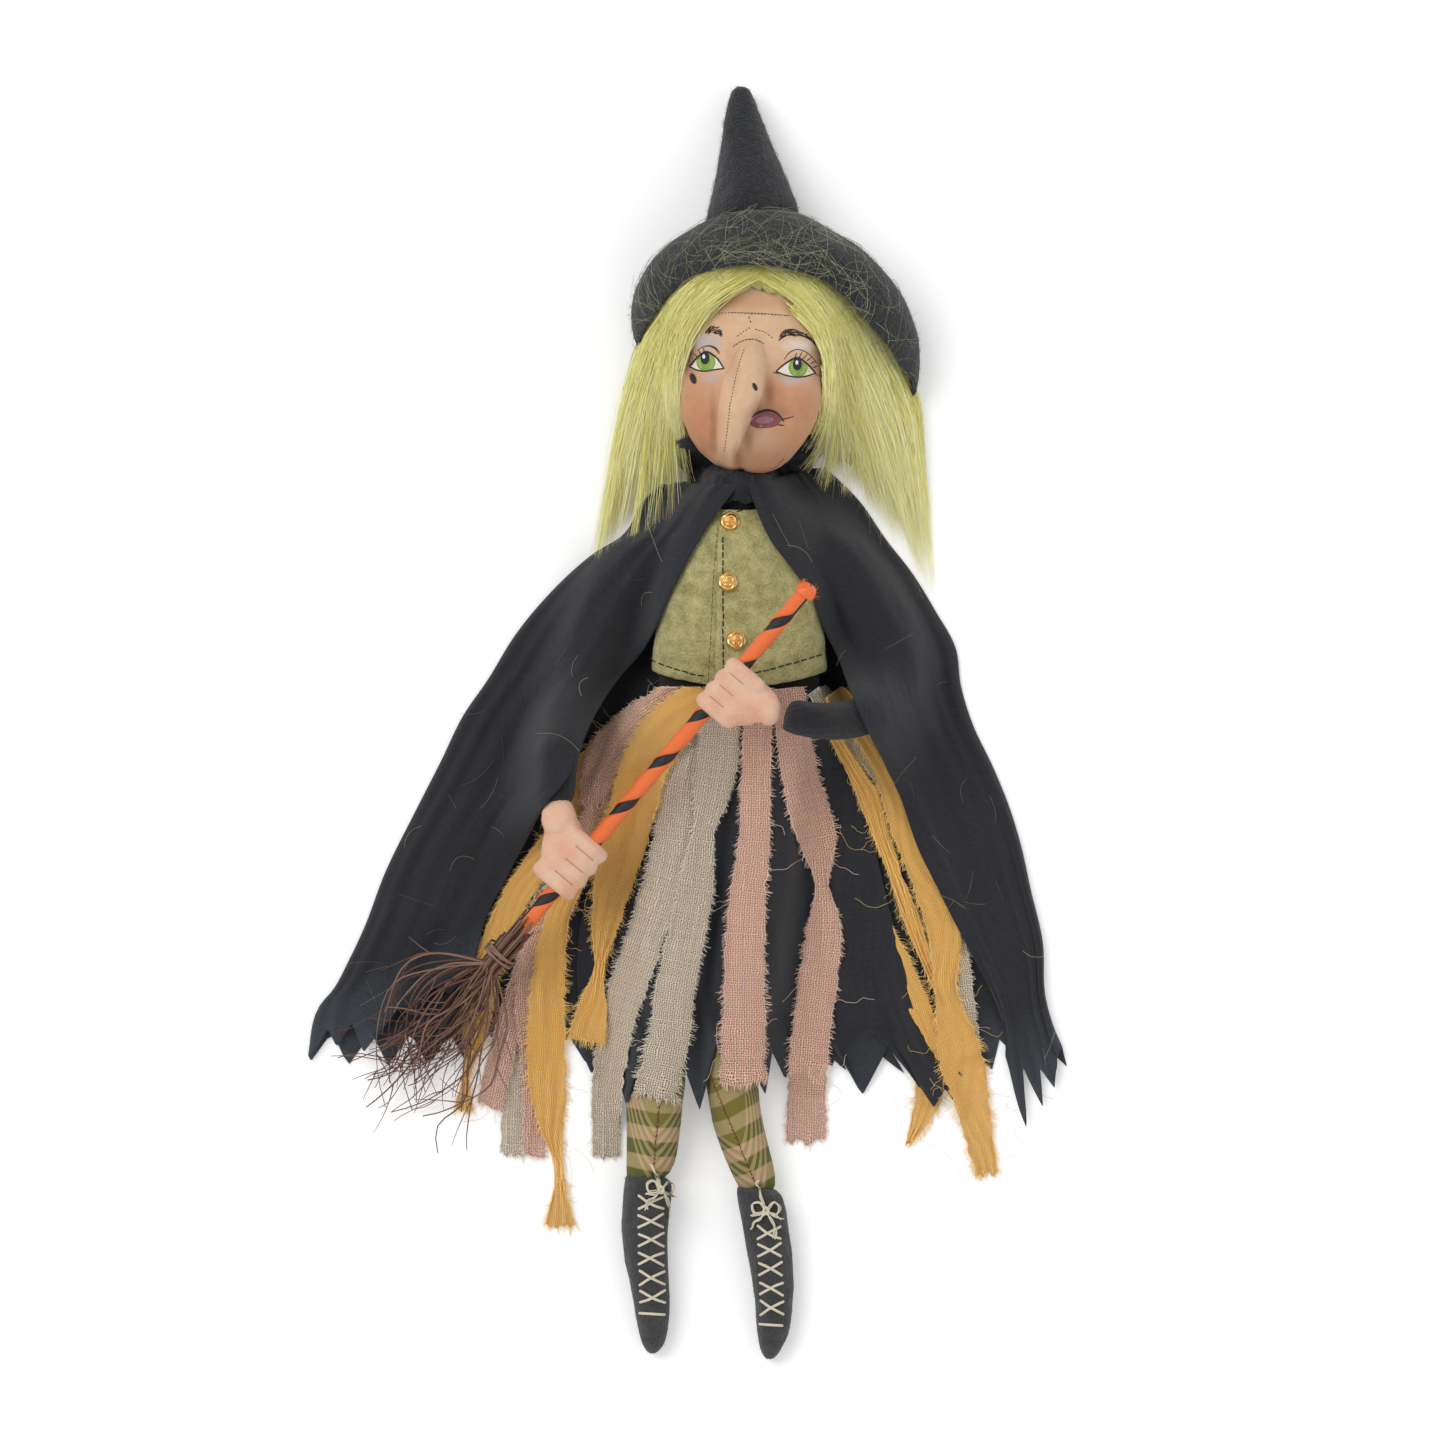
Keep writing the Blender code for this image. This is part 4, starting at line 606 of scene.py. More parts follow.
def mix(tree, share, first, second):
    """A colour between two colours."""
    made = node(tree, "Mix", {"data_type": "RGBA"}, i0=share)
    for index, value in ((6, first), (7, second)):
        if isinstance(value, bpy.types.NodeSocket):
            tree.links.new(value, made.inputs[index])
        else:
            made.inputs[index].default_value = (*value, 1.0)
    return made.outputs[2]


def noise_node(tree, coordinates, scale, detail, stretch=(1.0, 1.0, 1.0)):
    """Noise from 0 to 1 at a scale in bumps per metre."""
    mapped = node(tree, "Mapping", Vector=coordinates, Scale=stretch)
    made = node(tree, "TexNoise", Vector=mapped.outputs[0], Scale=scale, Detail=detail)
    return made.outputs["Fac"]


def bump(tree, shader, height, distance):
    """Joins a height to a shader's surface."""
    made = node(tree, "Bump", Height=height, Distance=distance, Strength=1.0)
    tree.links.new(made.outputs[0], shader.inputs["Normal"])


def spread(tree, value, low, high):
    """A value stretched so that low gives 0 and high gives 1."""
    made = node(tree, "MapRange", Value=value)
    made.inputs["From Min"].default_value = low
    made.inputs["From Max"].default_value = high
    return made.outputs[0]


def set_cloth(shader, roughness, sheen):
    """The soft shine of cloth, the same all over."""
    shader.inputs["Roughness"].default_value = roughness
    shader.inputs["Specular IOR Level"].default_value = 0.2
    shader.inputs["Sheen Weight"].default_value = sheen
    shader.inputs["Sheen Roughness"].default_value = 0.6


def felt(name, dark, light, sheen, grain=900.0):
    """Wool felt: mottled, with short matted fibres."""
    made, tree, shader = node_tree(name)
    place = own_place(tree)
    patches = noise_node(tree, place, 160.0, 4.0)
    fibres = noise_node(tree, place, grain, 6.0)
    share = plus(tree, times(tree, patches, 0.9), times(tree, fibres, 0.8))
    paint(tree, shader, mix(tree, spread(tree, share, 0.55, 1.15), COLOURS[dark], COLOURS[light]))
    bump(tree, shader, plus(tree, fibres, times(tree, patches, 1.5)), 0.0009)
    set_cloth(shader, 0.95, sheen)
    return made


def waves(tree, coordinate, pitch):
    """A rounded ridge for each thread, from 0 between threads to 1 on top."""
    turn = times(tree, coordinate, 2 * math.pi / pitch)
    return times_plus(tree, math_node(tree, "SINE", turn), 0.5, 0.5)


def woven(name, light, dark, pitch, holes, depth, sheen):
    """Plain weave on the cloth's own coordinates: uneven threads with open holes between them."""
    made, tree, shader = node_tree(name)
    place = cloth_place(tree)
    moved = times(tree, math_node(tree, "SUBTRACT", noise_node(tree, place, 260.0, 2.0), 0.5), 1.3 * pitch)
    split = node(tree, "SeparateXYZ", Vector=place)
    u = plus(tree, split.outputs[0], moved)
    v = plus(tree, split.outputs[1], moved)
    warp = waves(tree, u, pitch)
    weft = waves(tree, v, pitch)
    turned = node(tree, "CombineXYZ", X=times(tree, u, 1.0 / pitch), Y=times(tree, v, 1.0 / pitch))
    checks = node(tree, "TexChecker", Vector=turned.outputs[0], Scale=1.0).outputs["Fac"]
    height = math_node(tree, "MAXIMUM", plus(tree, warp, times_plus(tree, checks, 0.5, 0.0)), weft)
    thread_u = noise_node(tree, place, 1.0, 2.0, (1.0 / pitch, 14.0, 1.0))
    thread_v = noise_node(tree, place, 1.0, 2.0, (14.0, 1.0 / pitch, 1.0))
    uneven = plus(tree, thread_u, thread_v)
    tone = times_plus(tree, height, 0.75, times_plus(tree, uneven, 0.8, -0.80))
    paint(tree, shader, mix(tree, spread(tree, tone, 0.1, 0.95), COLOURS[dark], COLOURS[light]))
    bump(tree, shader, height, depth)
    level = times_plus(tree, uneven, 0.5, holes - 0.5)
    level = times_plus(tree, tint_value(tree), 0.22, level)
    solid = math_node(tree, "GREATER_THAN", math_node(tree, "MAXIMUM", warp, weft), level)
    tree.links.new(solid, shader.inputs["Alpha"])
    set_cloth(shader, 0.92, sheen)
    return made


def thin_cotton(name):
    """Black cotton lawn: fine threads, lint, and a worn thin edge with open holes and bluish paler streaks,
    painted light that comes through the thin cloth.
    """
    made, tree, shader = node_tree(name)
    place = cloth_place(tree)
    split = node(tree, "SeparateXYZ", Vector=place)
    warp = waves(tree, split.outputs[0], LAWN_PITCH)
    weft = waves(tree, split.outputs[1], LAWN_PITCH)
    slub_u = noise_node(tree, place, 1.0, 2.0, (1500.0, 40.0, 1.0))
    slub_v = noise_node(tree, place, 1.0, 2.0, (40.0, 1500.0, 1.0))
    slubs = plus(tree, slub_u, slub_v)
    lint = noise_node(tree, place, 500.0, 5.0)
    thin = tint_value(tree)
    # bluish paler streaks at the worn thin edge: painted light shining through the cloth
    lit_streaks = times(tree, thin, times_plus(tree, slubs, 1.7, -0.9), clamp=True)
    greyer = spread(tree, plus(tree, slubs, lint), 0.9, 2.0)
    base = mix(tree, greyer, COLOURS["cotton_black"], COLOURS["cotton_grey"])
    paint(tree, shader, mix(tree, lit_streaks, base, COLOURS["cotton_thin_lit"]))
    open_share = times(tree, thin, spread(tree, slubs, 0.95, 1.35), clamp=True)
    tree.links.new(times_plus(tree, open_share, -0.55, 1.0), shader.inputs["Alpha"])
    height = math_node(tree, "MAXIMUM", warp, weft)
    bump(tree, shader, plus(tree, height, times(tree, lint, 2.0)), 0.00012)
    set_cloth(shader, 0.9, 0.12)
    return made


def tinted(name, dark, light, roughness, sheen=0.0, grain=1500.0):
    """A fibre whose tint runs from dark to light, strand by strand."""
    made, tree, shader = node_tree(name)
    tint = tint_value(tree)
    place = own_place(tree)
    uneven = noise_node(tree, place, grain, 3.0)
    share = times_plus(tree, math_node(tree, "SUBTRACT", uneven, 0.5), 0.5, tint, clamp=True)
    paint(tree, shader, mix(tree, share, COLOURS[dark], COLOURS[light]))
    bump(tree, shader, uneven, 0.0002)
    set_cloth(shader, roughness, sheen)
    return made


def plain(name, colour, roughness, grain=1200.0, depth=0.0001, variation=0.25, metallic=0.0):
    """One colour with fine grain and slight variation."""
    made, tree, shader = node_tree(name)
    place = own_place(tree)
    uneven = noise_node(tree, place, grain, 5.0)
    base = np.array(COLOURS[colour])
    lightest = np.minimum(base * (1 + variation), 1.0)
    paint(tree, shader, mix(tree, uneven, base * (1 - variation), lightest))
    bump(tree, shader, uneven, depth)
    shader.inputs["Roughness"].default_value = roughness
    shader.inputs["Metallic"].default_value = metallic
    return made


def blot(tree, place, centre, radii, softness):
    """A soft oval mark in plan, from 1 inside to 0 outside."""
    moved = vector_math(tree, "SUBTRACT", place, (*centre, 0.0)).outputs[0]
    scaled = vector_math(tree, "MULTIPLY", moved, (1 / radii[0], 1 / radii[1], 0.0)).outputs[0]
    length = vector_math(tree, "LENGTH", scaled).outputs["Value"]
    made = node(tree, "MapRange", {"interpolation_type": "SMOOTHSTEP"}, Value=length)
    made.inputs["From Min"].default_value = 1.0 + softness
    made.inputs["From Max"].default_value = 1.0 - softness
    return made.outputs[0]


# Soft paint on the face: pixel place, half sizes in pixels, softness, strength, colour
FACE_BLOTS = [
    ((694, 410), (22, 40), 0.9, 0.75, "blush"),
    ((703, 440), (16, 26), 0.9, 0.60, "blush"),
    ((800, 408), (24, 28), 0.9, 0.75, "blush"),
    ((792, 446), (26, 18), 0.9, 0.55, "blush"),
    ((760, 466), (34, 12), 0.8, 0.55, "blush"),
    ((740, 303), (34, 8), 0.9, 0.45, "blush"),
    ((776, 398), (9, 26), 0.9, 0.55, "blush"),
    ((705, 342), (15, 7), 0.6, 0.85, "eyeshadow"),
    ((800, 346), (14, 5), 0.9, 0.48, "white"),
    ((711, 379), (8, 4), 0.8, 0.65, "eyeshadow"),
    ((791, 381), (13, 4), 0.8, 0.65, "eyeshadow"),
    ((689, 360), (8, 14), 0.8, 0.55, "brow"),
    ((817, 364), (6, 16), 0.8, 0.35, "brow"),
    ((768, 414), (18, 8), 0.8, 0.40, "lips"),
    # Painted shade where shadow falls: down the nose's right side and under its tip, along its left edge and
    # bridge, and under the chin. On the nose it also stands for the doll's own airbrushed shading.
    ((769, 394), (5, 13), 0.9, 0.60, "shade"),
    ((758, 415), (5, 12), 0.9, 0.55, "shade"),
    ((748, 437), (5, 14), 0.9, 0.60, "shade"),
    ((738, 460), (5, 12), 0.9, 0.65, "shade"),
    ((713, 430), (3, 32), 0.9, 0.45, "shade"),
    ((722, 462), (5, 9), 0.9, 0.45, "shade"),
    ((772, 460), (24, 15), 0.9, 0.45, "shade"),
    ((700, 455), (14, 12), 0.9, 0.45, "shade"),
    ((760, 475), (30, 6), 0.9, 0.55, "shade"),
    ((733, 368), (6, 20), 0.9, 0.25, "shade"),
]


def face_cloth():
    """Painted muslin: a fine weave, mottled colour, terracotta cheeks, pale eyelids, and painted shade round
    the nose and under the chin.
    """
    made, tree, shader = node_tree("muslin_paint")
    place = own_place(tree)
    split = node(tree, "SeparateXYZ", Vector=place)
    warp = waves(tree, split.outputs[0], 0.0007)
    weft = waves(tree, split.outputs[1], 0.0007)
    weave = math_node(tree, "MAXIMUM", warp, weft)
    mottle = noise_node(tree, place, 300.0, 6.0)
    front = spread(tree, split.outputs[2], 0.020, 0.036)
    colour = mix(tree, mottle, COLOURS["muslin"], COLOURS["muslin_pale"])
    for centre, size, softness, strength, pigment in FACE_BLOTS:
        mark = blot(tree, place, at(centre), np.array(size) * PIXEL, softness)
        share = times(tree, mark, times(tree, front, strength))
        share = times(tree, share, times_plus(tree, mottle, 0.7, 0.65), clamp=True)
        colour = mix(tree, share, colour, COLOURS[pigment])
    colour = mix(tree, times_plus(tree, weave, -0.10, 0.10), colour, COLOURS["muslin_gap"])
    paint(tree, shader, colour)
    bump(tree, shader, plus(tree, weave, mottle), 0.00010)
    set_cloth(shader, 0.85, 0.05)
    return made


def plaid_cloth(name, seam):
    """Woven plaid: level green bands, and pink lines that curve in from the sides to the leg's seam."""
    made, tree, shader = node_tree(name)
    place = own_place(tree)
    top, bottom = at(seam)
    ahead = unit(bottom - top)
    length = float(np.linalg.norm(bottom - top))
    moved = vector_math(tree, "SUBTRACT", place, (*top, 0.0)).outputs[0]
    down = vector_math(tree, "DOT_PRODUCT", moved, (*ahead, 0.0)).outputs["Value"]
    aside = vector_math(tree, "DOT_PRODUCT", moved, (-ahead[1], ahead[0], 0.0)).outputs["Value"]
    aside = math_node(tree, "ABSOLUTE", aside)
    curve = math_node(tree, "POWER", times(tree, aside, 1 / 0.013), 2.4)
    from_band = math_node(tree, "SUBTRACT", down, length - PLAID_BAND - PLAID_PITCH / 4)
    bands = waves(tree, times_plus(tree, aside, 0.12, from_band), PLAID_PITCH)
    bands = spread(tree, bands, 0.42, 0.58)
    slant = plus(tree, down, times_plus(tree, curve, 0.015, times(tree, aside, 0.90)))
    slant = math_node(tree, "SUBTRACT", slant, length - PLAID_LINES)
    lined = spread(tree, slant, -0.0002, 0.0002)
    beyond = spread(tree, slant, PLAID_LINES_LENGTH, PLAID_LINES_LENGTH + 0.0004)
    lines = spread(tree, waves(tree, slant, PLAID_LINE_PITCH), 0.40, 0.54)
    lines = times(tree, lines, math_node(tree, "SUBTRACT", lined, beyond))
    green = mix(tree, lined, COLOURS["plaid_olive"], COLOURS["plaid_green"])
    colour = mix(tree, bands, COLOURS["plaid_tan"], green)
    paler = mix(tree, bands, COLOURS["plaid_pink"], COLOURS["plaid_tan"])
    colour = mix(tree, times(tree, lines, 0.85), colour, paler)
    grain = noise_node(tree, place, 1800.0, 4.0)
    soiled = times_plus(tree, grain, 0.5, -0.1, clamp=True)
    paint(tree, shader, mix(tree, soiled, colour, COLOURS["plaid_soil"]))
    bump(tree, shader, grain, 0.0003)
    set_cloth(shader, 0.92, 0.1)
    return made


def hand_cloth_look():
    """Soft pale cotton of the hands with a pink wash."""
    made, tree, shader = node_tree("hand_muslin")
    place = own_place(tree)
    wash = noise_node(tree, place, 90.0, 3.0)
    nap = noise_node(tree, place, 900.0, 6.0)
    colour = mix(tree, spread(tree, wash, 0.35, 0.65), COLOURS["hand"], COLOURS["hand_pink"])
    colour = mix(tree, times(tree, nap, 0.35), colour, COLOURS["hand_pale"])
    paint(tree, shader, colour)
    bump(tree, shader, nap, 0.0005)
    set_cloth(shader, 0.9, 0.2)
    return made


def satin():
    """Orange satin ribbon: long fine ribs with a soft shine."""
    made, tree, shader = node_tree("satin_orange")
    place = cloth_place(tree)
    ribs = noise_node(tree, place, 1.0, 3.0, (3500.0, 60.0, 1.0))
    folds = noise_node(tree, place, 120.0, 2.0)
    colour = mix(tree, ribs, COLOURS["ribbon_deep"], COLOURS["ribbon_bright"])
    paint(tree, shader, colour)
    bump(tree, shader, plus(tree, ribs, folds), 0.0002)
    set_cloth(shader, 0.42, 0.1)
    shader.inputs["Specular IOR Level"].default_value = 0.5
    return made


def surface(obj):
    """A tree for rays at an object as it is shown."""
    return BVHTree.FromObject(obj, bpy.context.evaluated_depsgraph_get())


def heights(tree, places):
    """The top of a surface at each place. Where there's none, the nearest point's height."""
    flat = places.reshape(-1, places.shape[-1])
    found = []
    for place in flat:
        hit = tree.ray_cast(Vector((place[0], place[1], 0.3)), Vector((0, 0, -1)))[0]
        if hit is None:
            hit = tree.find_nearest(Vector((place[0], place[1], 0.03)))[0]
        found.append(hit.z)
    return np.array(found).reshape(places.shape[:-1])


def applied(obj, look):
    """Makes an object's modifiers part of its mesh and gives it one material."""
    shown = bpy.data.meshes.new_from_object(obj.evaluated_get(bpy.context.evaluated_depsgraph_get()))
    obj.modifiers.clear()
    obj.data = shown
    shown.name = obj.name
    shown.materials.clear()
    shown.materials.append(look)
    return obj


def melted(obj, voxel, passes):
    """Runs an object's parts together into one skin, and smooths it."""
    melt = obj.modifiers.new("melt", "REMESH")
    melt.mode = "VOXEL"
    melt.voxel_size = voxel
    soften = obj.modifiers.new("soften", "SMOOTH")
    soften.factor = 0.5
    soften.iterations = passes
    return obj


def refined(name, node_names, levels, material, ripple=0.0, ripple_size=0.01):
    """A smooth copy of pieces of the frame, with slight lumps, that stands for them."""
    mesh = bmesh.new()
    for node_name in node_names:
        mesh.from_mesh(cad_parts[node_name].data)
    bmesh.ops.remove_doubles(mesh, verts=mesh.verts, dist=0.00002)
    bmesh.ops.recalc_face_normals(mesh, faces=mesh.faces)
    data = bpy.data.meshes.new(name)
    mesh.to_mesh(data)
    mesh.free()
    obj = linked(name, data)
    modifier = obj.modifiers.new("smooth", "SUBSURF")
    modifier.levels = levels
    modifier.render_levels = levels
    applied(obj, material)
    if ripple:
        lumpy(obj, ripple, ripple_size)
    obj.data.shade_smooth()
    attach(obj, "root")
    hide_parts(*node_names)
    return obj


def vertex_arrays(obj):
    """Places and normals of an object's points."""
    data = obj.data
    points = np.empty(len(data.vertices) * 3)
    normals = np.empty(len(data.vertices) * 3)
    data.vertices.foreach_get("co", points)
    data.vertices.foreach_get("normal", normals)
    return points.reshape(-1, 3), normals.reshape(-1, 3)


def lumpy(obj, amount, size):
    """Moves an object's points in and out a little, as stuffing does."""
    points, normals = vertex_arrays(obj)
    u = points[:, 0] / size + points[:, 2] / size * 0.7
    v = points[:, 1] / size + points[:, 2] / size * 0.4
    push = amount * noise(u + 40, v + 40, 3)
    points += normals * push[:, None]
    points[:, 2] = points[:, 2].clip(0)
    obj.data.vertices.foreach_set("co", points.ravel())
    obj.data.update()


def surface_samples(obj, count, seed):
    """Random places on an object's surface, with the surface's direction there."""
    data = obj.data
    data.calc_loop_triangles()
    faces = np.empty(len(data.loop_triangles) * 3, int)
    data.loop_triangles.foreach_get("vertices", faces)
    corners = vertex_arrays(obj)[0][faces.reshape(-1, 3)]
    directions = np.cross(corners[:, 1] - corners[:, 0], corners[:, 2] - corners[:, 0])
    area = np.linalg.norm(directions, axis=1)
    rng = np.random.default_rng(seed)
    chosen = rng.choice(len(corners), count, p=area / area.sum())
    share = rng.dirichlet((1, 1, 1), count)
    return (corners[chosen] * share[:, :, None]).sum(axis=1), unit(directions[chosen])


def fuzz(name, obj, count, length, material, seed, rise=0.35, radius=0.00005):
    """Short fibres that stand off a surface."""
    rng = np.random.default_rng(seed)
    starts, normals = surface_samples(obj, count, seed)
    way = unit(np.cross(normals, rng.normal(size=(count, 3))))
    turn = unit(np.cross(normals, way))
    reach = length * rng.uniform(0.4, 1.3, count)
    steps = np.linspace(0, 1, 4)
    bend = rng.normal(0, 0.6, count)
    off = rise * np.sin(steps * 2.2)[None, :, None] * normals[:, None]
    paths = starts[:, None] + reach[:, None, None] * (
        steps[None, :, None] * way[:, None]
        + bend[:, None, None] * steps[None, :, None] ** 2 * turn[:, None]
        + off * rng.uniform(0.3, 1.4, count)[:, None, None]
    )
    paths[..., 2] = paths[..., 2].clip(0.0002)
    return add_blades(name, paths, tapered(radius, 0.3, count, 4), material, rng.uniform(0, 1, count), seed)


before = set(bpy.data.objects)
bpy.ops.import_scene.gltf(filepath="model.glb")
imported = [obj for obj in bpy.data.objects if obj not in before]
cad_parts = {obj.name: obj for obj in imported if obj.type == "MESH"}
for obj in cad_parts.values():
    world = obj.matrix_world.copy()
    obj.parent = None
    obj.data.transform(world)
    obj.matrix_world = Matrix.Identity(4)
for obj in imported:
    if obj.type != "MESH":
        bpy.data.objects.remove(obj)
CAD_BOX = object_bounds()
PILE = Pile()


def add_stage():
    """A white floor, a soft light from the upper left and an even sky, and the camera straight above."""
    scene = bpy.context.scene
    scene.view_settings.view_transform = "Standard"
    world = bpy.data.worlds.new("sky")
    world.use_nodes = True
    sky = world.node_tree.nodes["Background"]
    sky.inputs["Color"].default_value = (1.0, 1.0, 1.0, 1.0)
    sky.inputs["Strength"].default_value = 0.62
    scene.world = world
    add_sun("key", (-0.55, 0.45, 1.0), 1.15, math.radians(35))
    add_sun("fill", (0.7, -0.4, 0.8), 0.35, math.radians(60))
    corners = ((-1, -1), (1, -1), (1, 1), (-1, 1))
    points = [(x * FLOOR_HALF, y * FLOOR_HALF, FLOOR_Z) for x, y in corners]
    mesh = bpy.data.meshes.new("floor")
    mesh.from_pydata(points, [], [(0, 1, 2, 3)])
    floor = linked("floor", mesh)
    mesh.materials.append(floor_look())
    middle = at([(PICTURE_SIZE / 2, PICTURE_SIZE / 2)])[0]
    camera = bpy.data.cameras.new("camera")
    camera.sensor_width = SENSOR
    camera.lens = SENSOR * CAMERA_HEIGHT / (PICTURE_SIZE * PIXEL)
    camera.clip_end = 50.0
    holder = linked("camera", camera)
    holder.location = (middle[0], middle[1], CAMERA_FOCUS_HEIGHT + CAMERA_HEIGHT)
    scene.camera = holder


def add_sun(name, towards, strength, angle):
    """A distant soft lamp that shines from a direction."""
    lamp = bpy.data.lights.new(name, "SUN")
    lamp.energy = strength
    lamp.angle = angle
    linked(name, lamp).rotation_euler = Vector(towards).to_track_quat("Z", "Y").to_euler()


def floor_look():
    """A white floor that keeps the shadow, and is white in the camera's own view."""
    made, tree, shader = node_tree("floor_white")
    shader.inputs["Base Color"].default_value = (0.93, 0.93, 0.93, 1.0)
    shader.inputs["Roughness"].default_value = 1.0
    shader.inputs["Specular IOR Level"].default_value = 0.0
    path = node(tree, "LightPath")
    glow = node(tree, "Emission", Color=(1.0, 1.0, 1.0, 1.0), Strength=0.22)
    both = node(tree, "AddShader", i0=shader.outputs[0], i1=glow.outputs[0])
    seen = node(tree, "MixShader", i0=path.outputs["Is Camera Ray"], i1=shader.outputs[0], i2=both.outputs[0])
    tree.links.new(seen.outputs[0], tree.nodes["Material Output"].inputs["Surface"])
    return made


def add_head(look):
    """The stuffed head: a smooth egg with the hooked nose blended in, cheeks, brow and chin."""
    obj = linked("head_skin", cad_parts["head"].data.copy())
    applied(melted(obj, 0.0012, 14), look)
    sculpt_face(obj)
    obj.data.shade_smooth()
    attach(obj, "root")
    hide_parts("head")
    return obj


# Bumps and hollows of the face: pixel place, half sizes in pixels, height in metres
FACE_FORMS = [
    ((694, 412), (24, 30), 0.0016),
    ((800, 410), (26, 28), 0.0022),
    ((764, 462), (22, 14), 0.0022),
    ((700, 340), (22, 9), 0.0012),
    ((797, 340), (24, 9), 0.0012),
    ((707, 362), (17, 10), -0.0013),
    ((797, 368), (19, 10), -0.0013),
    ((770, 417), (17, 5), -0.0016),
    ((772, 427), (13, 5), 0.0010),
    ((772, 408), (14, 4), 0.0008),
    ((741, 475), (4, 9), -0.0016),
    ((710, 470), (9, 5), -0.0008),
    ((782, 392), (4, 26), -0.0009),
]


def sculpt_face(obj):
    """Presses the face's forms into the head's front."""
    points, normals = vertex_arrays(obj)
    push = np.zeros(len(points))
    for centre, size, amount in FACE_FORMS:
        x, y = at(centre)
        away = ((points[:, 0] - x) / (size[0] * PIXEL)) ** 2 + ((points[:, 1] - y) / (size[1] * PIXEL)) ** 2
        push += amount * np.exp(-away)
    push *= np.clip((points[:, 2] - 0.03) / 0.015, 0, 1)
    push += 0.00025 * noise(points[:, 0] / 0.005 + 30, points[:, 1] / 0.005 + 30, 5)
    points += normals * push[:, None]
    obj.data.vertices.foreach_set("co", points.ravel())
    obj.data.update()


# Steps of the painted patches: rings from the middle, along a lid, and round an iris
PATCH_RINGS = 6
LID_STEPS = 14
IRIS_STEPS = 40


def patch(name, skin, outline, lift, look):
    """A thin painted patch on the face, star-shaped round its middle."""
    outline = at(outline)
    middle = outline.mean(axis=0)
    shares = np.linspace(0.02, 1, PATCH_RINGS)
    plan = middle + (outline - middle)[None] * shares[:, None, None]
    z = heights(skin, plan) + lift
    return make(name, raised(plan, z), grid_faces(PATCH_RINGS, len(outline), True), look)


def oval(centre, half_width, half_height, turn=0.0, count=28):
    """Outline of an ellipse in pixels."""
    angles = np.linspace(0, 2 * math.pi, count, endpoint=False)
    x = half_width * np.cos(angles)
    y = half_height * np.sin(angles)
    c, s = math.cos(turn), math.sin(turn)
    return np.array(centre) + np.stack([x * c - y * s, x * s + y * c], axis=1)


def strokes(name, skin, lines, lift, look):
    """Painted or sewn lines on the face: each line's pixels, with its width in pixels at each."""
    points, faces = [], []
    base = 0
    for line in lines:
        line = np.array(line, float)
        count = max(8, int(line_length(line[:, :2]) / 1.2))
        path = smooth_line(line, count)
        side = quarter_turn(unit(np.gradient(path[:, :2], axis=0))) * path[:, 2:3] / 2
        plan = at(np.stack([path[:, :2] - side, path[:, :2], path[:, :2] + side], axis=1))
        z = heights(skin, plan) + lift
        points.append(raised(plan, z).reshape(-1, 3))
        faces.append(grid_faces(count, 3)[:, ::-1] + base)
        base += count * 3
    return make(name, np.concatenate(points), np.concatenate(faces), look)


def almond(inner, top, outer, bottom):
    """An eye's outline in pixels from its two corners and the middles of its lids."""
    high_in = ((inner[0] + top[0]) / 2, top[1] + 4.5)
    high_out = ((outer[0] + top[0]) / 2, top[1] + 5.5)
    low_out = ((outer[0] + bottom[0]) / 2, bottom[1] - 1)
    low_in = ((inner[0] + bottom[0]) / 2, bottom[1] - 1.5)
    upper = smooth_line([inner, high_in, top, high_out, outer], LID_STEPS)
    lower = smooth_line([outer, low_out, bottom, low_in, inner], LID_STEPS)
    return np.concatenate([upper[:-1], lower[:-1]]), upper, lower


def lid_at(lid, x):
    """How far down a lid is at x, in pixels."""
    return np.interp(x, *lid[np.argsort(lid[:, 0])].T)


def clipped_disc(centre, radius, upper, lower):
    """A round iris cut off by the lids."""
    ring = oval(centre, radius, radius, count=IRIS_STEPS)
    ring[:, 1] = np.clip(ring[:, 1], lid_at(upper, ring[:, 0]) + 0.4, lid_at(lower, ring[:, 0]) - 0.4)
    return ring


# The eyes in pixels: inner corner, upper lid, outer corner, lower lid, iris, pupil and highlight
EYES = {
    "left": (
        (724, 369),
        (705.5, 352.3),
        (689.5, 366.8),
        (705, 371.6),
        (705.9, 362.6),
        (705, 358.6),
        (703.8, 357),
    ),
    "right": (
        (776, 372),
        (798, 358.4),
        (815.5, 373.4),
        (797.5, 377.5),
        (798, 368),
        (797.3, 364.6),
        (796.8, 363),
    ),
}


def add_eye(side, skin, looks):
    """One painted eye."""
    inner, top, outer, bottom, iris, pupil, highlight = EYES[side]
    outline, upper, lower = almond(inner, top, outer, bottom)
    patch("eye_white_" + side, skin, outline, 0.00010, looks["sclera"])
    patch("iris_" + side, skin, clipped_disc(iris, 9.5, upper, lower), 0.00016, looks["iris"])
    patch("pupil_" + side, skin, oval(pupil, 4.5, 6.3), 0.00022, looks["paint"])
    patch("highlight_" + side, skin, oval(highlight, 1.5, 2.2), 0.00028, looks["white"])
    width = np.interp(np.linspace(0, 1, len(upper)), [0, 0.5, 1], [1.3, 1.9, 1.6])
    lids = [np.column_stack([upper, width]), np.column_stack([lower, np.full(len(lower), 1.4)])]
    strokes("lid_lines_" + side, skin, lids, 0.00026, looks["paint"])
    rays = []
    for angle in np.linspace(0, 2 * math.pi, 22, endpoint=False):
        way = np.array([math.cos(angle), math.sin(angle)])
        start, end = np.array(iris) + way * 5.5, np.array(iris) + way * 8.4
        if lid_at(upper, end[0]) + 1.5 < end[1] < lid_at(lower, end[0]) - 1.5:
            rays.append([(*start, 1.0), (*(start + end) / 2, 0.9), (*end, 0.5)])
    strokes("iris_rays_" + side, skin, rays, 0.00020, looks["iris_light"])


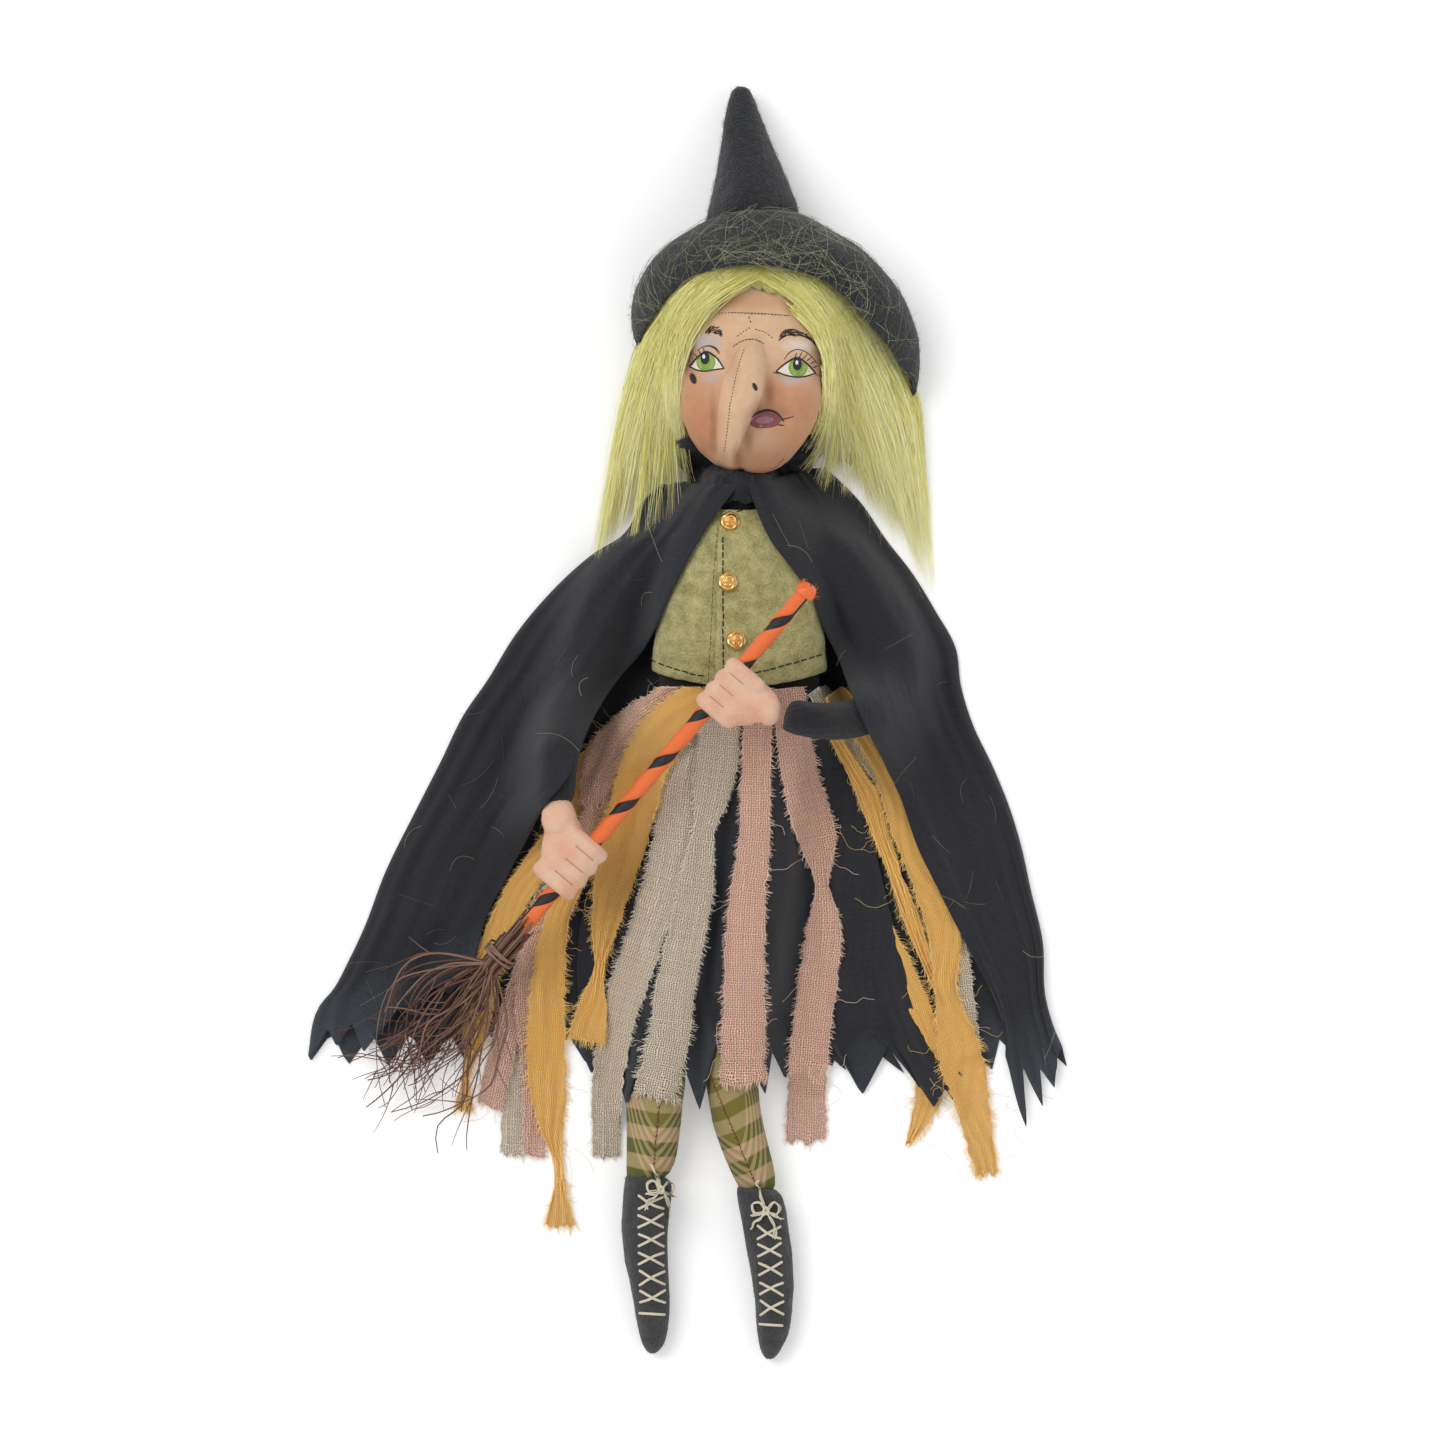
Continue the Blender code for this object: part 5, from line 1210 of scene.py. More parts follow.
def add_face(head):
    """The painted face and the stitched wrinkles."""
    skin = surface(head)
    looks = {
        "sclera": plain("paint_eye_white", "sclera", 0.6),
        "iris": plain("paint_iris", "iris", 0.5, 2500.0),
        "iris_light": plain("paint_iris_light", "iris_light", 0.5, 2500.0),
        "paint": plain("paint_black", "paint_black", 0.5),
        "white": plain("paint_white", "white", 0.5),
        "brow": plain("paint_brow", "brow", 0.8),
        "lips": plain("paint_lips", "lips", 0.55, 1500.0, 0.0002, 0.4),
        "lip_red": plain("paint_lip_red", "lip_red", 0.6, 1500.0, 0.0002, 0.3),
        "lip_highlight": plain("paint_lip_light", "lip_highlight", 0.5, 1500.0, 0.0002, 0.4),
        "thread": plain("thread_face", "brow", 0.8),
    }
    add_eye("left", skin, looks)
    add_eye("right", skin, looks)
    patch("mole_left", skin, oval((693, 379), 3.0, 5.6, -0.35), 0.00035, looks["paint"])
    patch("mole_nose", skin, oval((755, 387.5), 2.0, 4.3, -0.45), 0.00035, looks["paint"])
    add_brows(skin, looks)
    add_mouth(skin, looks)
    add_wrinkles(skin, looks)


def add_brows(skin, looks):
    """Brows of many short painted hairs, the creases over the eyes and the lashes."""
    rng = np.random.default_rng(SEED)
    brows = (
        [(705, 334), (712, 330.5), (718, 331.5), (723, 335.5)],
        [(778, 341), (783, 335), (791, 332.5), (800, 334.5), (809, 338.5), (817, 346)],
    )
    thickness = ([3.0, 6.5, 7.0, 3.0], [3.5, 7.5, 7.0, 4.5, 2.5, 1.0])
    lines = []
    for brow, thick in zip(brows, thickness):
        path = smooth_line(np.column_stack([brow, thick]), 60)
        for _ in range(80):
            place = rng.integers(0, len(path) - 9)
            aside = rng.uniform(-0.5, 0.5) * path[place, 2]
            tilt = rng.uniform(-2.2, 1.0)
            start = path[place, :2] + (0, aside)
            end = path[place + 8, :2] + (0, aside + tilt)
            lines.append([(*start, 0.5), (*(start + end) / 2, 0.9), (*end, 0.3)])
    strokes("brow_hairs", skin, lines, 0.00012, looks["brow"])
    creases = [
        [
            (784, 360, 0.6),
            (789, 353.5, 0.9),
            (796, 350.2, 0.9),
            (805, 352, 0.9),
            (812, 357.5, 0.8),
            (817, 364, 0.5),
        ],
        [(697, 351, 0.4), (703, 347.5, 0.8), (710, 346.5, 1.4), (716, 349, 1.4), (720, 354, 0.5)],
        [(709, 346.5, 0.6), (715, 349.5, 0.9), (719, 355, 0.4)],
        [(773, 373, 0.8), (776, 373.6, 1.0), (780, 374, 0.8)],
        [(815, 374, 1.2), (818, 375.5, 0.9), (820, 377, 0.4)],
    ]
    for start, end in (
        ((799, 358), (802, 352)),
        ((803, 359), (807.5, 354)),
        ((807, 361), (812, 357)),
        ((810.5, 364), (816, 361)),
        ((813, 368), (818, 366)),
        ((795, 357.5), (796.5, 352.5)),
        ((700, 354), (697.5, 349.5)),
        ((704, 352), (702.5, 347.5)),
        ((697, 357), (693, 354)),
    ):
        middle = ((start[0] + end[0]) / 2 + 0.4, (start[1] + end[1]) / 2)
        creases.append([(*start, 1.1), (*middle, 0.8), (*end, 0.3)])
    strokes("lid_creases", skin, creases, 0.00014, looks["brow"])


def add_mouth(skin, looks):
    """A small plum mouth beside the nose: lips, dark line, and the pulled corner with its stitches."""
    upper_lip = [(749.5, 423.5), (754, 418), (760.5, 413.6), (768, 412.2), (776, 414.8), (781.5, 420)]
    lips = upper_lip + [(779, 424.3), (773, 426.4), (764, 427.6), (755, 428)]
    patch("lips", skin, lips, 0.00012, looks["lips"])
    # a painted highlight on the upper lip
    patch("lip_shine", skin, oval((764.5, 420.5), 9.0, 3.6, -0.1), 0.00018, looks["lip_highlight"])
    lines = [
        [
            (752, 418, 0.6),
            (755.5, 414.8, 1.8),
            (761, 412, 2.6),
            (768, 410.8, 2.6),
            (776, 413.2, 2.0),
            (782.5, 419.4, 1.2),
        ],
        [(782, 419.8, 1.2), (788, 418.6, 0.9), (794, 416.6, 0.4)],
        [(778, 425.3, 0.8), (781, 425.6, 1.3), (784.5, 425.8, 0.6)],
        [(781.5, 420, 1.6), (784, 421.8, 0.8)],
    ]
    strokes("mouth_lines", skin, lines, 0.00022, looks["paint"])
    red = [
        [(750, 425, 0.8), (756, 427.6, 1.3), (764, 428, 1.1), (773, 427, 1.1), (779, 424.6, 0.8)],
        [(773, 415.5, 1.2), (778, 419.5, 2.0), (778.5, 423.6, 1.6)],
    ]
    strokes("lip_edge", skin, red, 0.00020, looks["lip_red"])


def add_wrinkles(skin, looks):
    """Rows of small dark stitches: the forehead, the arches over the nose, the nose's seam and the chin."""
    rng = np.random.default_rng(SEED + 1)
    rows = [
        [(718, 314), (735, 313.2), (752, 314.5), (770, 315), (789, 316.5)],
        [(737, 337), (742, 333), (750, 328.5)],
        [(755, 330), (763, 332), (772, 338.5)],
        [(733, 347.5), (740, 342.5), (751, 340), (758, 341), (763, 344)],
        [
            (744, 350),
            (740, 362),
            (736, 376),
            (733.5, 389),
            (730.5, 402),
            (729, 414),
            (727.5, 428),
            (726, 440),
            (724.5, 452),
        ],
        [(752, 313), (749, 318), (751, 323)],
        [(702, 468), (712, 473.5), (722, 476)],
        [(784, 459), (776, 467), (765, 474), (750, 478)],
    ]
    lines = []
    for row in rows:
        count = max(3, int(line_length(row) / 3.1))
        path = smooth_line(row, 2 * count)
        for k in range(count):
            start, end = path[2 * k], path[2 * k + 1]
            end = start + (end - start) * 1.15 + rng.normal(0, 0.25, 2)
            lines.append([(*start, 0.5), (*(start + end) / 2, 0.95), (*end, 0.5)])
    strokes("wrinkle_stitches", skin, lines, 0.00012, looks["thread"])
    soft = [
        [(734, 346, 0.3), (741, 342, 0.5), (751, 339.6, 0.5), (763, 343.6, 0.3)],
        [(730, 313, 0.3), (760, 313.9, 0.5), (788, 316, 0.3)],
    ]
    strokes("wrinkle_lines", skin, soft, 0.00010, looks["brow"])


# Guides of the hair, each from its root to its tip: pixel x, pixel y. Neighbours in a group are blended
HAIR_LEFT = [
    [
        (764, 269),
        (736, 286),
        (711, 305),
        (694, 328),
        (683, 354),
        (677, 385),
        (676, 420),
        (680, 455),
        (683, 490),
    ],
    [(748, 267), (716, 284), (690, 308), (673, 345), (666, 385), (664, 425), (664, 465), (660, 505)],
    [(732, 268), (700, 286), (675, 312), (658, 352), (649, 395), (643, 440), (638, 480), (630, 520)],
    [(716, 272), (686, 290), (663, 317), (646, 355), (636, 398), (628, 440), (620, 485), (608, 535)],
    [(700, 278), (670, 297), (652, 323), (637, 356), (623, 400), (613, 445), (605, 490), (594, 545)],
]
HAIR_RIGHT = [
    [
        (752, 268),
        (779, 284),
        (803, 304),
        (819, 328),
        (829, 358),
        (832, 395),
        (829, 430),
        (822, 460),
        (816, 484),
    ],
    [(766, 267), (796, 284), (821, 309), (838, 344), (847, 385), (851, 425), (853, 460), (858, 492)],
    [(782, 268), (815, 288), (840, 316), (857, 352), (868, 395), (878, 435), (888, 475), (912, 545)],
    [(798, 272), (831, 292), (857, 320), (878, 355), (893, 396), (903, 436), (912, 480), (924, 562)],
    [(815, 278), (846, 297), (872, 325), (893, 352), (910, 378), (921, 398), (922, 440), (930, 520)],
]
HAIR_UNDER_LEFT = [
    [(700, 300), (668, 330), (642, 380), (630, 430), (626, 470), (624, 500)],
    [(705, 310), (684, 345), (672, 390), (668, 430), (668, 460), (668, 486)],
    [(712, 320), (692, 350), (684, 385), (684, 425), (690, 455), (696, 474)],
]
HAIR_UNDER_RIGHT = [
    [(795, 320), (815, 350), (822, 390), (818, 430), (806, 455), (796, 466)],
    [(800, 310), (836, 345), (846, 390), (846, 430), (838, 456), (828, 470)],
    [(815, 300), (858, 335), (878, 385), (884, 430), (884, 460), (884, 490)],
]
# Groups of strands: guides, number, seed, sway in pixels, least and most lift, and width in metres
HAIR_GROUPS = (
    ("hair_under_left", HAIR_UNDER_LEFT, 1300, 21, 5.0, 0.000, 0.003, 0.00060),
    ("hair_under_right", HAIR_UNDER_RIGHT, 1300, 26, 5.0, 0.000, 0.003, 0.00060),
    ("hair_left", HAIR_LEFT, 6900, 22, 4.0, 0.0005, 0.0065, 0.00036),
    ("hair_right", HAIR_RIGHT, 6900, 23, 4.5, 0.0005, 0.0065, 0.00036),
    ("hair_wisps_left", HAIR_LEFT, 800, 24, 13.0, 0.003, 0.008, 0.00018),
    ("hair_wisps_right", HAIR_RIGHT, 800, 25, 15.0, 0.003, 0.008, 0.00018),
)
STRAND_STEPS = 8
LOCKS = 24
STRAY_COUNT = 620
BRIM_MIDDLE = (763, 345)


def strand_paths(guides, count, seed, spread_out, low, high):
    """Many strands blended from guides in locks, laid on the head and wig and falling towards the floor."""
    rng = np.random.default_rng(seed)
    lines = np.array([smooth_line(guide, STRAND_STEPS) for guide in guides])
    lock_place = np.linspace(0, len(guides) - 1, LOCKS) + rng.normal(0, 0.03, LOCKS)
    lock = rng.integers(0, LOCKS, count)
    own = rng.uniform(0, len(guides) - 1, count)
    along = np.linspace(0, 1, STRAND_STEPS)
    gather = 0.96 * along**1.3
    in_lock = lock_place[lock] + rng.normal(0, 0.028, count)
    place = own[:, None] * (1 - gather) + in_lock[:, None] * gather
    place = place.clip(0, len(guides) - 1.001)
    i = place.astype(int)
    share = (place - i)[..., None]
    steps = np.arange(STRAND_STEPS)[None]
    plan = lines[i, steps] * (1 - share) + lines[i + 1, steps] * share
    length = (1 - 0.40 * rng.uniform(0, 1, count) ** 1.8) * (1.04 + 0.16 * noise(lock * 1.7, 0, seed))
    own_to_lock = np.abs(own - lock_place[lock]) / len(guides)
    length = length * (1 - 0.5 * own_to_lock)
    reach = along[None] * length[:, None] * (STRAND_STEPS - 1)
    k = np.clip(reach.astype(int), 0, STRAND_STEPS - 2)
    t = (reach - k)[..., None]
    rows = np.arange(count)[:, None]
    plan = plan[rows, k] * (1 - t) + plan[rows, k + 1] * t
    root_shift = rng.normal(0, 1, (count, 1, 2)) * [5.0, 3.0]
    sway = noise(rows * 0.37 + 1.0, along[None] * 3.0, seed + 1)
    swing = noise(rows * 0.37 + 9.0, along[None] * 3.0, seed + 2)
    wave = np.stack([sway, swing], axis=-1)
    plan = plan + root_shift * (1 - along)[None, :, None] + wave * spread_out * (0.2 + along)[None, :, None]
    plan = at(plan)
    layer = rng.uniform(0, 1, count) ** 1.5
    arch = np.sin(np.clip(along * 3.6 + 0.25, 0, math.pi))[None]
    lift = low + (high - low) * layer[:, None] * arch + 0.0008
    z = PILE.height(plan) + lift
    kernel = np.array([0.25, 0.5, 0.25])
    for _ in range(2):
        z[:, 1:-1] = z[:, :-2] * kernel[0] + z[:, 1:-1] * kernel[1] + z[:, 2:] * kernel[2]
    z = np.maximum(z, PILE.level(plan) + 0.0003)
    return raised(plan, z), lock


def add_strands(name, paths, locks, width, look, seed):
    """One piece of flat tapering strands, tinted lock by lock."""
    rng = np.random.default_rng(seed)
    count = len(paths)
    taper = np.interp(np.linspace(0, 1, STRAND_STEPS), [0, 0.15, 0.6, 1], [0.8, 1.0, 0.85, 0.12])
    widths = width * rng.uniform(0.6, 1.3, count)[:, None] * taper[None]
    points, faces = ribbons(paths, widths, rng.normal(0, 0.5, count))
    tint = 0.50 + 0.30 * noise(locks * 2.3, 5.0, seed)[:, None] + rng.normal(0, 0.13, (count, 1))
    tint = tint + 0.22 * np.linspace(-1, 1, STRAND_STEPS)[None]
    tint = np.repeat(tint.clip(0, 1)[:, :, None], 2, axis=2)
    return make(name, points, faces, look, tint=tint)


def fur_base_look():
    """The wig's dense fur between the loose strands, its darker streaks painted shade deep among the fibres.
    """
    made, tree, shader = node_tree("fur_base")
    place = own_place(tree)
    strands = noise_node(tree, place, 900.0, 4.0, (1.0, 0.12, 1.0))
    # dark streaks: painted shade between the fibres
    paint(tree, shader, mix(tree, strands, COLOURS["hair_under"], COLOURS["hair"]))
    bump(tree, shader, strands, 0.0015)
    set_cloth(shader, 0.8, 0.1)
    return made


def strand_look():
    """Long lime fibres: darker at the root, pale at the tip, a soft shine."""
    made, tree, shader = node_tree("fur_strands")
    tint = tint_value(tree)
    ramp = node(tree, "ValToRGB", Fac=tint)
    stops = ramp.color_ramp.elements
    stops[0].position, stops[0].color = 0.05, (*COLOURS["hair_root"], 1.0)
    stops[1].position, stops[1].color = 0.95, (*COLOURS["hair_tip"], 1.0)
    middle = stops.new(0.5)
    middle.color = (*COLOURS["hair"], 1.0)
    paint(tree, shader, ramp.outputs[0])
    shader.inputs["Roughness"].default_value = 0.55
    shader.inputs["Specular IOR Level"].default_value = 0.35
    shader.inputs["Sheen Weight"].default_value = 0.15
    return made


def add_hair(black):
    """The wig: a fur base, and thousands of strands that splay from under the brim to both sides."""
    base = refined("hair_base", ["hair"], 1, fur_base_look(), 0.0012, 0.004)
    PILE.add_node("hair")
    look = strand_look()
    for name, guides, count, seed, sway, low, high, width in HAIR_GROUPS:
        paths, locks = strand_paths(guides, count, seed, sway, low, high)
        add_strands(name, paths, locks, width, look, seed)
        if name == "hair_under_right":
            add_collar(black)
            PILE.add_node("head")


def add_hat():
    """The felt cone and the floppy brim, their fuzz, and stray hairs from the wig."""
    look = felt("felt_charcoal", "felt_black", "knit_black", 0.25)
    cone = refined("hat_crown", ["hat_cone"], 2, look, 0.0007, 0.012)
    brim = refined("hat_rim", ["hat_brim"], 2, look, 0.0006, 0.014)
    fibre = tinted("felt_fibres", "felt_black", "felt_fibre", 0.9, 0.3)
    fuzz("hat_crown_fuzz", cone, 2600, 0.0028, fibre, 31, radius=0.00006)
    fuzz("hat_rim_fuzz", brim, 4200, 0.0028, fibre, 32, radius=0.00006)
    stray = tinted("stray_hairs", "stray_dark", "stray_pale", 0.7)
    starts, normals = surface_samples(brim, 9000, 33)
    rng = np.random.default_rng(35)
    inner = at(BRIM_MIDDLE)
    away = np.hypot(starts[:, 0] - inner[0], starts[:, 1] - inner[1])
    near = np.exp(-(((away - 0.040) / 0.022).clip(0) ** 2))
    upper = (normals[:, 2] > 0.1) & (starts[:, 2] > 0.012) & (rng.uniform(size=len(near)) < near)
    starts, normals = starts[upper][:STRAY_COUNT], normals[upper][:STRAY_COUNT]
    scatter_hairs("hat_stray_hairs", starts, normals, stray, 34)


def scatter_hairs(name, starts, normals, look, seed):
    """Long stray hairs that lie curled on a surface."""
    rng = np.random.default_rng(seed)
    count = len(starts)
    steps = np.linspace(-0.5, 0.5, 12)
    way = unit(np.cross(normals, rng.normal(size=(count, 3))))
    turn = unit(np.cross(normals, way))
    length = rng.uniform(0.008, 0.026, count)[:, None, None]
    bend = rng.normal(0, 0.5, count)[:, None, None]
    curl = bend * (steps[None, :, None] ** 2) * turn[:, None]
    paths = starts[:, None] + length * (steps[None, :, None] * way[:, None] + curl)
    paths += normals[:, None] * (0.0012 - 0.35 * length * steps[None, :, None] ** 2)
    paths[..., 2] = np.maximum(paths[..., 2], 0.0003)
    tint = rng.uniform(0.0, 1.0, count) ** 1.3
    return add_blades(name, paths, np.full(12, 0.00006), look, tint, seed)


def add_lint():
    """A few pale hairs of the wig that cling to the cape."""
    starts, normals = surface_samples(bpy.data.objects["cape_cloth"], 500, 131)
    upper = (normals[:, 2] > 0.6) & (starts[:, 2] > 0.004)
    look = tinted("lint_hairs", "stray_dark", "stray_pale", 0.8)
    scatter_hairs("cape_lint", starts[upper][:80], normals[upper][:80], look, 132)


def grid_area(points):
    """The area of a cloth's grid, in square metres."""
    across = np.diff(points, axis=1)[:-1]
    along = np.diff(points, axis=0)[:, :-1]
    return float(np.linalg.norm(np.cross(across, along), axis=2).sum())


def run_along(points, axis):
    """How far each point of a grid lies from the first one along a row or column."""
    steps = np.linalg.norm(np.diff(points, axis=axis), axis=2)
    first = np.zeros_like(np.take(steps, [0], axis=axis))
    return np.concatenate([first, np.cumsum(steps, axis=axis)], axis=axis)


def laid_flat(points):
    """The cloth's own coordinates at each point of its grid, in metres."""
    return np.stack([run_along(points, 1), run_along(points, 0)], axis=-1)


def hem_depth(shares, teeth):
    """How far a hem hangs at each share of its width, in metres, from its teeth in pixels."""
    teeth = np.array(teeth, float)
    return np.interp(shares, teeth[:, 0], teeth[:, 1]) * PIXEL


def hang_hem(plan, depth, share=0.06):
    """Stretches the last rows of a cloth's plan to its zigzag hem."""
    rows = len(plan)
    down = unit(plan[-1] - plan[-4])
    part = np.clip((np.linspace(0, 1, rows) - 1 + share) / share, 0, 1)
    return plan + part[:, None, None] * depth[None, :, None] * down[None]


# The teeth of the cape's hem: share across and how far down in pixels
LEFT_HEM = [
    (0, 0),
    (0.12, 20),
    (0.25, 3),
    (0.35, 26),
    (0.45, 10),
    (0.64, 40),
    (0.75, 2),
    (0.83, 20),
    (0.90, -4),
    (0.985, 22),
    (1, 16),
]
RIGHT_HEM = [(0, -28), (0.16, 50), (0.28, -8), (0.45, 41), (0.56, 4), (0.68, 30), (0.85, 8), (1, -2)]
BACK_TEETH = 19
# Folds of the two flaps: share across, half width, height in mm, strength at the neck and at the hem
LEFT_FOLDS = [
    (0.43, 0.045, 3.6, 1.0, 0.1),
    (0.66, 0.10, 5.0, 1.0, 0.5),
    (0.16, 0.10, 2.5, 0.2, 1.0),
    (0.46, 0.09, 3.5, 0.0, 1.0),
    (0.86, 0.05, 3.5, 0.0, 1.0),
]
RIGHT_FOLDS = [
    (0.30, 0.11, 3.0, 0.6, 0.7),
    (0.60, 0.10, 4.0, 0.9, 0.5),
    (0.78, 0.05, 3.0, 0.1, 1.0),
    (0.12, 0.05, 2.5, 0.0, 1.0),
    (0.93, 0.035, 3.0, 0.0, 1.0),
]


def fold_lift(folds, seed):
    """Long soft folds that run from the neck to the hem."""
    down = np.linspace(0, 1, CAPE_ROWS)[:, None]
    shares = np.linspace(0, 1, FLAP_COLUMNS)[None]
    lift = np.zeros((CAPE_ROWS, FLAP_COLUMNS))
    for number, (centre, width, high, above, below) in enumerate(folds):
        drift = 0.05 * noise(down * 2.6, number * 3.1, seed)
        uneven = 0.8 + 0.35 * noise(down * 2.5 + 7, number * 1.7, seed + 1)
        strength = (above + (below - above) * down**0.8) * uneven
        lift += high * 0.001 * strength * np.exp(-(((shares - centre - drift) / width) ** 2))
    phase = 2 * math.pi * 7 * shares**1.3 + 2 * noise(down * 2, shares * 5, seed + 2)
    pleats = 0.0007 * np.cos(phase) * np.exp(-down * 16)
    crumple = 0.00035 * noise(shares * 9 + down * 3, down * 12, seed + 3)
    return lift + pleats + crumple + 0.0012


def cape_flap(inner_edge, outer_edge, hem, folds, seed):
    """One front flap of the cape, laid over what is there."""
    shares = np.linspace(0, 1, FLAP_COLUMNS)
    plan = hang_hem(between(inner_edge, outer_edge, shares), hem_depth(shares, hem))
    z = PILE.drape(plan, fold_lift(folds, seed), 60)
    edge = np.clip((shares - 0.965) / 0.035, 0, 1)[None]
    return raised(plan, z * (1 - 0.55 * edge))


def add_cape(look):
    """One gathered sheet: its back on the floor, a fold at each side, and the two front flaps."""
    edges = (CAPE_LEFT_INNER, CAPE_LEFT_OUTER, CAPE_RIGHT_OUTER, CAPE_RIGHT_INNER)
    lines = [smooth_line(at(line), CAPE_ROWS) for line in edges]
    flaps = [
        cape_flap(lines[0], lines[1], LEFT_HEM, LEFT_FOLDS, 41),
        cape_flap(lines[3], lines[2], RIGHT_HEM, RIGHT_FOLDS, 45),
    ]
    shares = np.linspace(0.004, 0.996, BACK_COLUMNS * 3)
    teeth = np.abs((shares * BACK_TEETH) % 1 - 0.5) * 2
    back = hang_hem(between(lines[1], lines[2], shares), (34 * teeth - 8) * PIXEL)
    back = raised(back, np.full(back.shape[:2], COTTON + 0.0001))
    inner = np.concatenate([flaps[0], back, flaps[1][:, ::-1]], axis=1)
    outer = inner + COTTON * grid_normals(inner)
    outer[..., 2] = outer[..., 2].clip(0.0)
    flat = slice(FLAP_COLUMNS, FLAP_COLUMNS + back.shape[1])
    outer[:, flat] = inner[:, flat] * [1, 1, 0] + [0, 0, 0.0001]
    rows, columns = inner.shape[:2]
    down = np.linspace(0, 1, rows)[:, None] * np.ones((1, columns))
    # The hem is worn thin: there the cloth opens into holes and is painted paler with light coming through
    # it.
    thin = np.clip((down - 0.90) / 0.10, 0, 1) ** 1.5 * 0.9
    thin[:, flat] = np.clip((down[:, flat] - 0.93) / 0.07, 0, 1)
    obj = cloth("cape_cloth", inner, outer, look, laid_flat(inner), thin)
    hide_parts("cape")
    for flap in flaps:
        PILE.add(flap + np.array([0, 0, COTTON]), grid_faces(CAPE_ROWS, FLAP_COLUMNS))
    return obj


def add_skirt(look):
    """The gathered skirt: a tube from the waist, its front over the legs, with a zigzag hem."""
    left = smooth_line(at(SKIRT_LEFT), SKIRT_ROWS)
    right = smooth_line(at(SKIRT_RIGHT), SKIRT_ROWS)
    shares = np.linspace(0, 1, SKIRT_FRONT_COLUMNS)
    front = between(left, right, shares)
    hem = at(SKIRT_HEM)
    hem_y = np.interp(front[-1, :, 0], hem[:, 0], hem[:, 1])
    down = np.linspace(0, 1, SKIRT_ROWS)[:, None]
    front[..., 1] += np.clip((down - 0.86) / 0.14, 0, 1) * (hem_y - front[-1, :, 1])[None]
    drift = noise(down * 2.5, shares[None] * 5, 51) * 0.35
    pleats = np.cos(2 * math.pi * (13 * shares[None] + drift)) * 0.5 + 0.5
    uneven = 0.6 + 0.5 * noise(down * 3, shares[None] * 9, 52)
    lift = pleats * (0.0006 + 0.0030 * down) * uneven + 0.0006
    edge = np.clip(np.minimum(shares, 1 - shares) / 0.05, 0, 1)[None] ** 0.5
    front = raised(front, PILE.drape(front, lift, 50) * edge + (1 - edge) * 0.0035)
    shares = np.linspace(0.995, 0.005, SKIRT_BACK_COLUMNS * 2)
    teeth = np.abs((shares * 13.3) % 1 - 0.5) * 2
    back = hang_hem(between(left, right, shares), (52 * teeth - 40) * PIXEL, 0.14)
    inner = np.concatenate([front, raised(back, np.full(back.shape[:2], 0.0020))], axis=1)
    outer = inner + COTTON * grid_normals(inner, True)
    outer[..., 2] = outer[..., 2].clip(COTTON + GAP)
    rows, columns = inner.shape[:2]
    # The hem is worn thin, unevenly: there the cloth opens into holes and is painted paler with light coming
    # through it.
    worn = 0.45 + 0.35 * noise(np.arange(columns) / 17.0, 2.0, 53)[None]
    thin = np.clip((down - 0.90) / 0.10, 0, 1) * np.ones((1, columns)) * worn
    obj = cloth("skirt_cloth", inner, outer, look, laid_flat(inner), thin, wrap=True)
    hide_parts("skirt")
    PILE.add(outer[:, : SKIRT_FRONT_COLUMNS - 1], grid_faces(rows, SKIRT_FRONT_COLUMNS - 1))


# Kinds of rag: columns across, ripple, fringe spacing and length, thread radius, loose threads a metre
RAGS = {
    "pink": (13, 0.0007, 0.00070, 0.0024, 0.00014, 40),
    "taupe": (13, 0.0007, 0.00070, 0.0024, 0.00014, 40),
    "yellow": (15, 0.0014, 0.00042, 0.0036, 0.00010, 110),
}
RAG_STEP = 0.0018
THREAD_STEPS = 12


def rag_grid(line, columns, ripple, seed):
    """Plan and height of a torn strip on the pile, with the cloth's own coordinates in metres."""
    line = at(np.array(line, float))
    line[:, 2] *= PIXEL
    line[0, :2] -= unit(line[1, :2] - line[0, :2]) * STRIP_TOP_SPARE
    rows = int(line_length(line[:, :2]) / RAG_STEP)
    path = smooth_line(line, rows)
    ahead = unit(np.gradient(path[:, :2], axis=0))
    across = np.linspace(-0.5, 0.5, columns)
    side = np.sign(across)[None]
    number = np.arange(rows)[:, None]
    down = number * RAG_STEP
    ragged = 1 + 0.07 * noise(down / 0.004, side * 3.3, seed)
    ragged = ragged + 0.06 * noise(down / 0.0018, side * 5.1, seed + 1)
    reach = path[:, 2:3] * across[None] * ragged
    plan = path[:, None, :2] - quarter_turn(ahead)[:, None] * reach[..., None]
    torn = STRIP_END_RAGGED * noise(across * 9, seed * 0.7, seed + 6)
    torn = torn[None] * np.clip((number - rows + 4) / 3, 0, 1)
    plan += ahead[:, None] * torn[..., None]
    plan[..., 1] = plan[..., 1].clip(max=STRIP_TOP_LIMIT)
    lift = ripple * (1 + noise(down / 0.016, across[None] * 2.2 + seed, seed + 2)) * 0.8
    phase = 2 * math.pi * across[None] * 1.5 + 3 * noise(down / 0.03, 1.0, seed + 3)
    lift = lift + ripple * 0.8 * np.cos(phase) ** 2
    curl = 0.0005 * (np.abs(across)[None] * 2) ** 6 * (1 + noise(down / 0.009, side * 7.7, seed + 4))
    z = PILE.drape(plan, lift * 0.7 + curl, 8)
    uv = np.stack([reach / np.maximum(ragged, 0.1), down * np.ones_like(reach)], axis=-1)
    return raised(plan, z), uv, frayed_share(path[:, 2:3], across, down, seed)


def frayed_share(width, across, down, seed):
    """How frayed a torn strip is at each point: most at its long edges and its end."""
    from_edge = width * (0.5 - np.abs(across)[None])
    uneven = 0.6 + 0.5 * noise(down / 0.006, np.sign(across)[None] * 9.1, seed + 5)
    frayed = np.clip(1 - from_edge / 0.0022, 0, 1) * uneven
    rows = len(down)
    from_end = (rows - np.arange(rows))[:, None] * RAG_STEP
    frayed = np.maximum(frayed, np.clip(1 - from_end / 0.004, 0, 1))
    frayed = np.maximum(frayed, 0.55 * np.clip(1 - from_end / 0.055, 0, 1))
    return frayed.clip(0, 1)


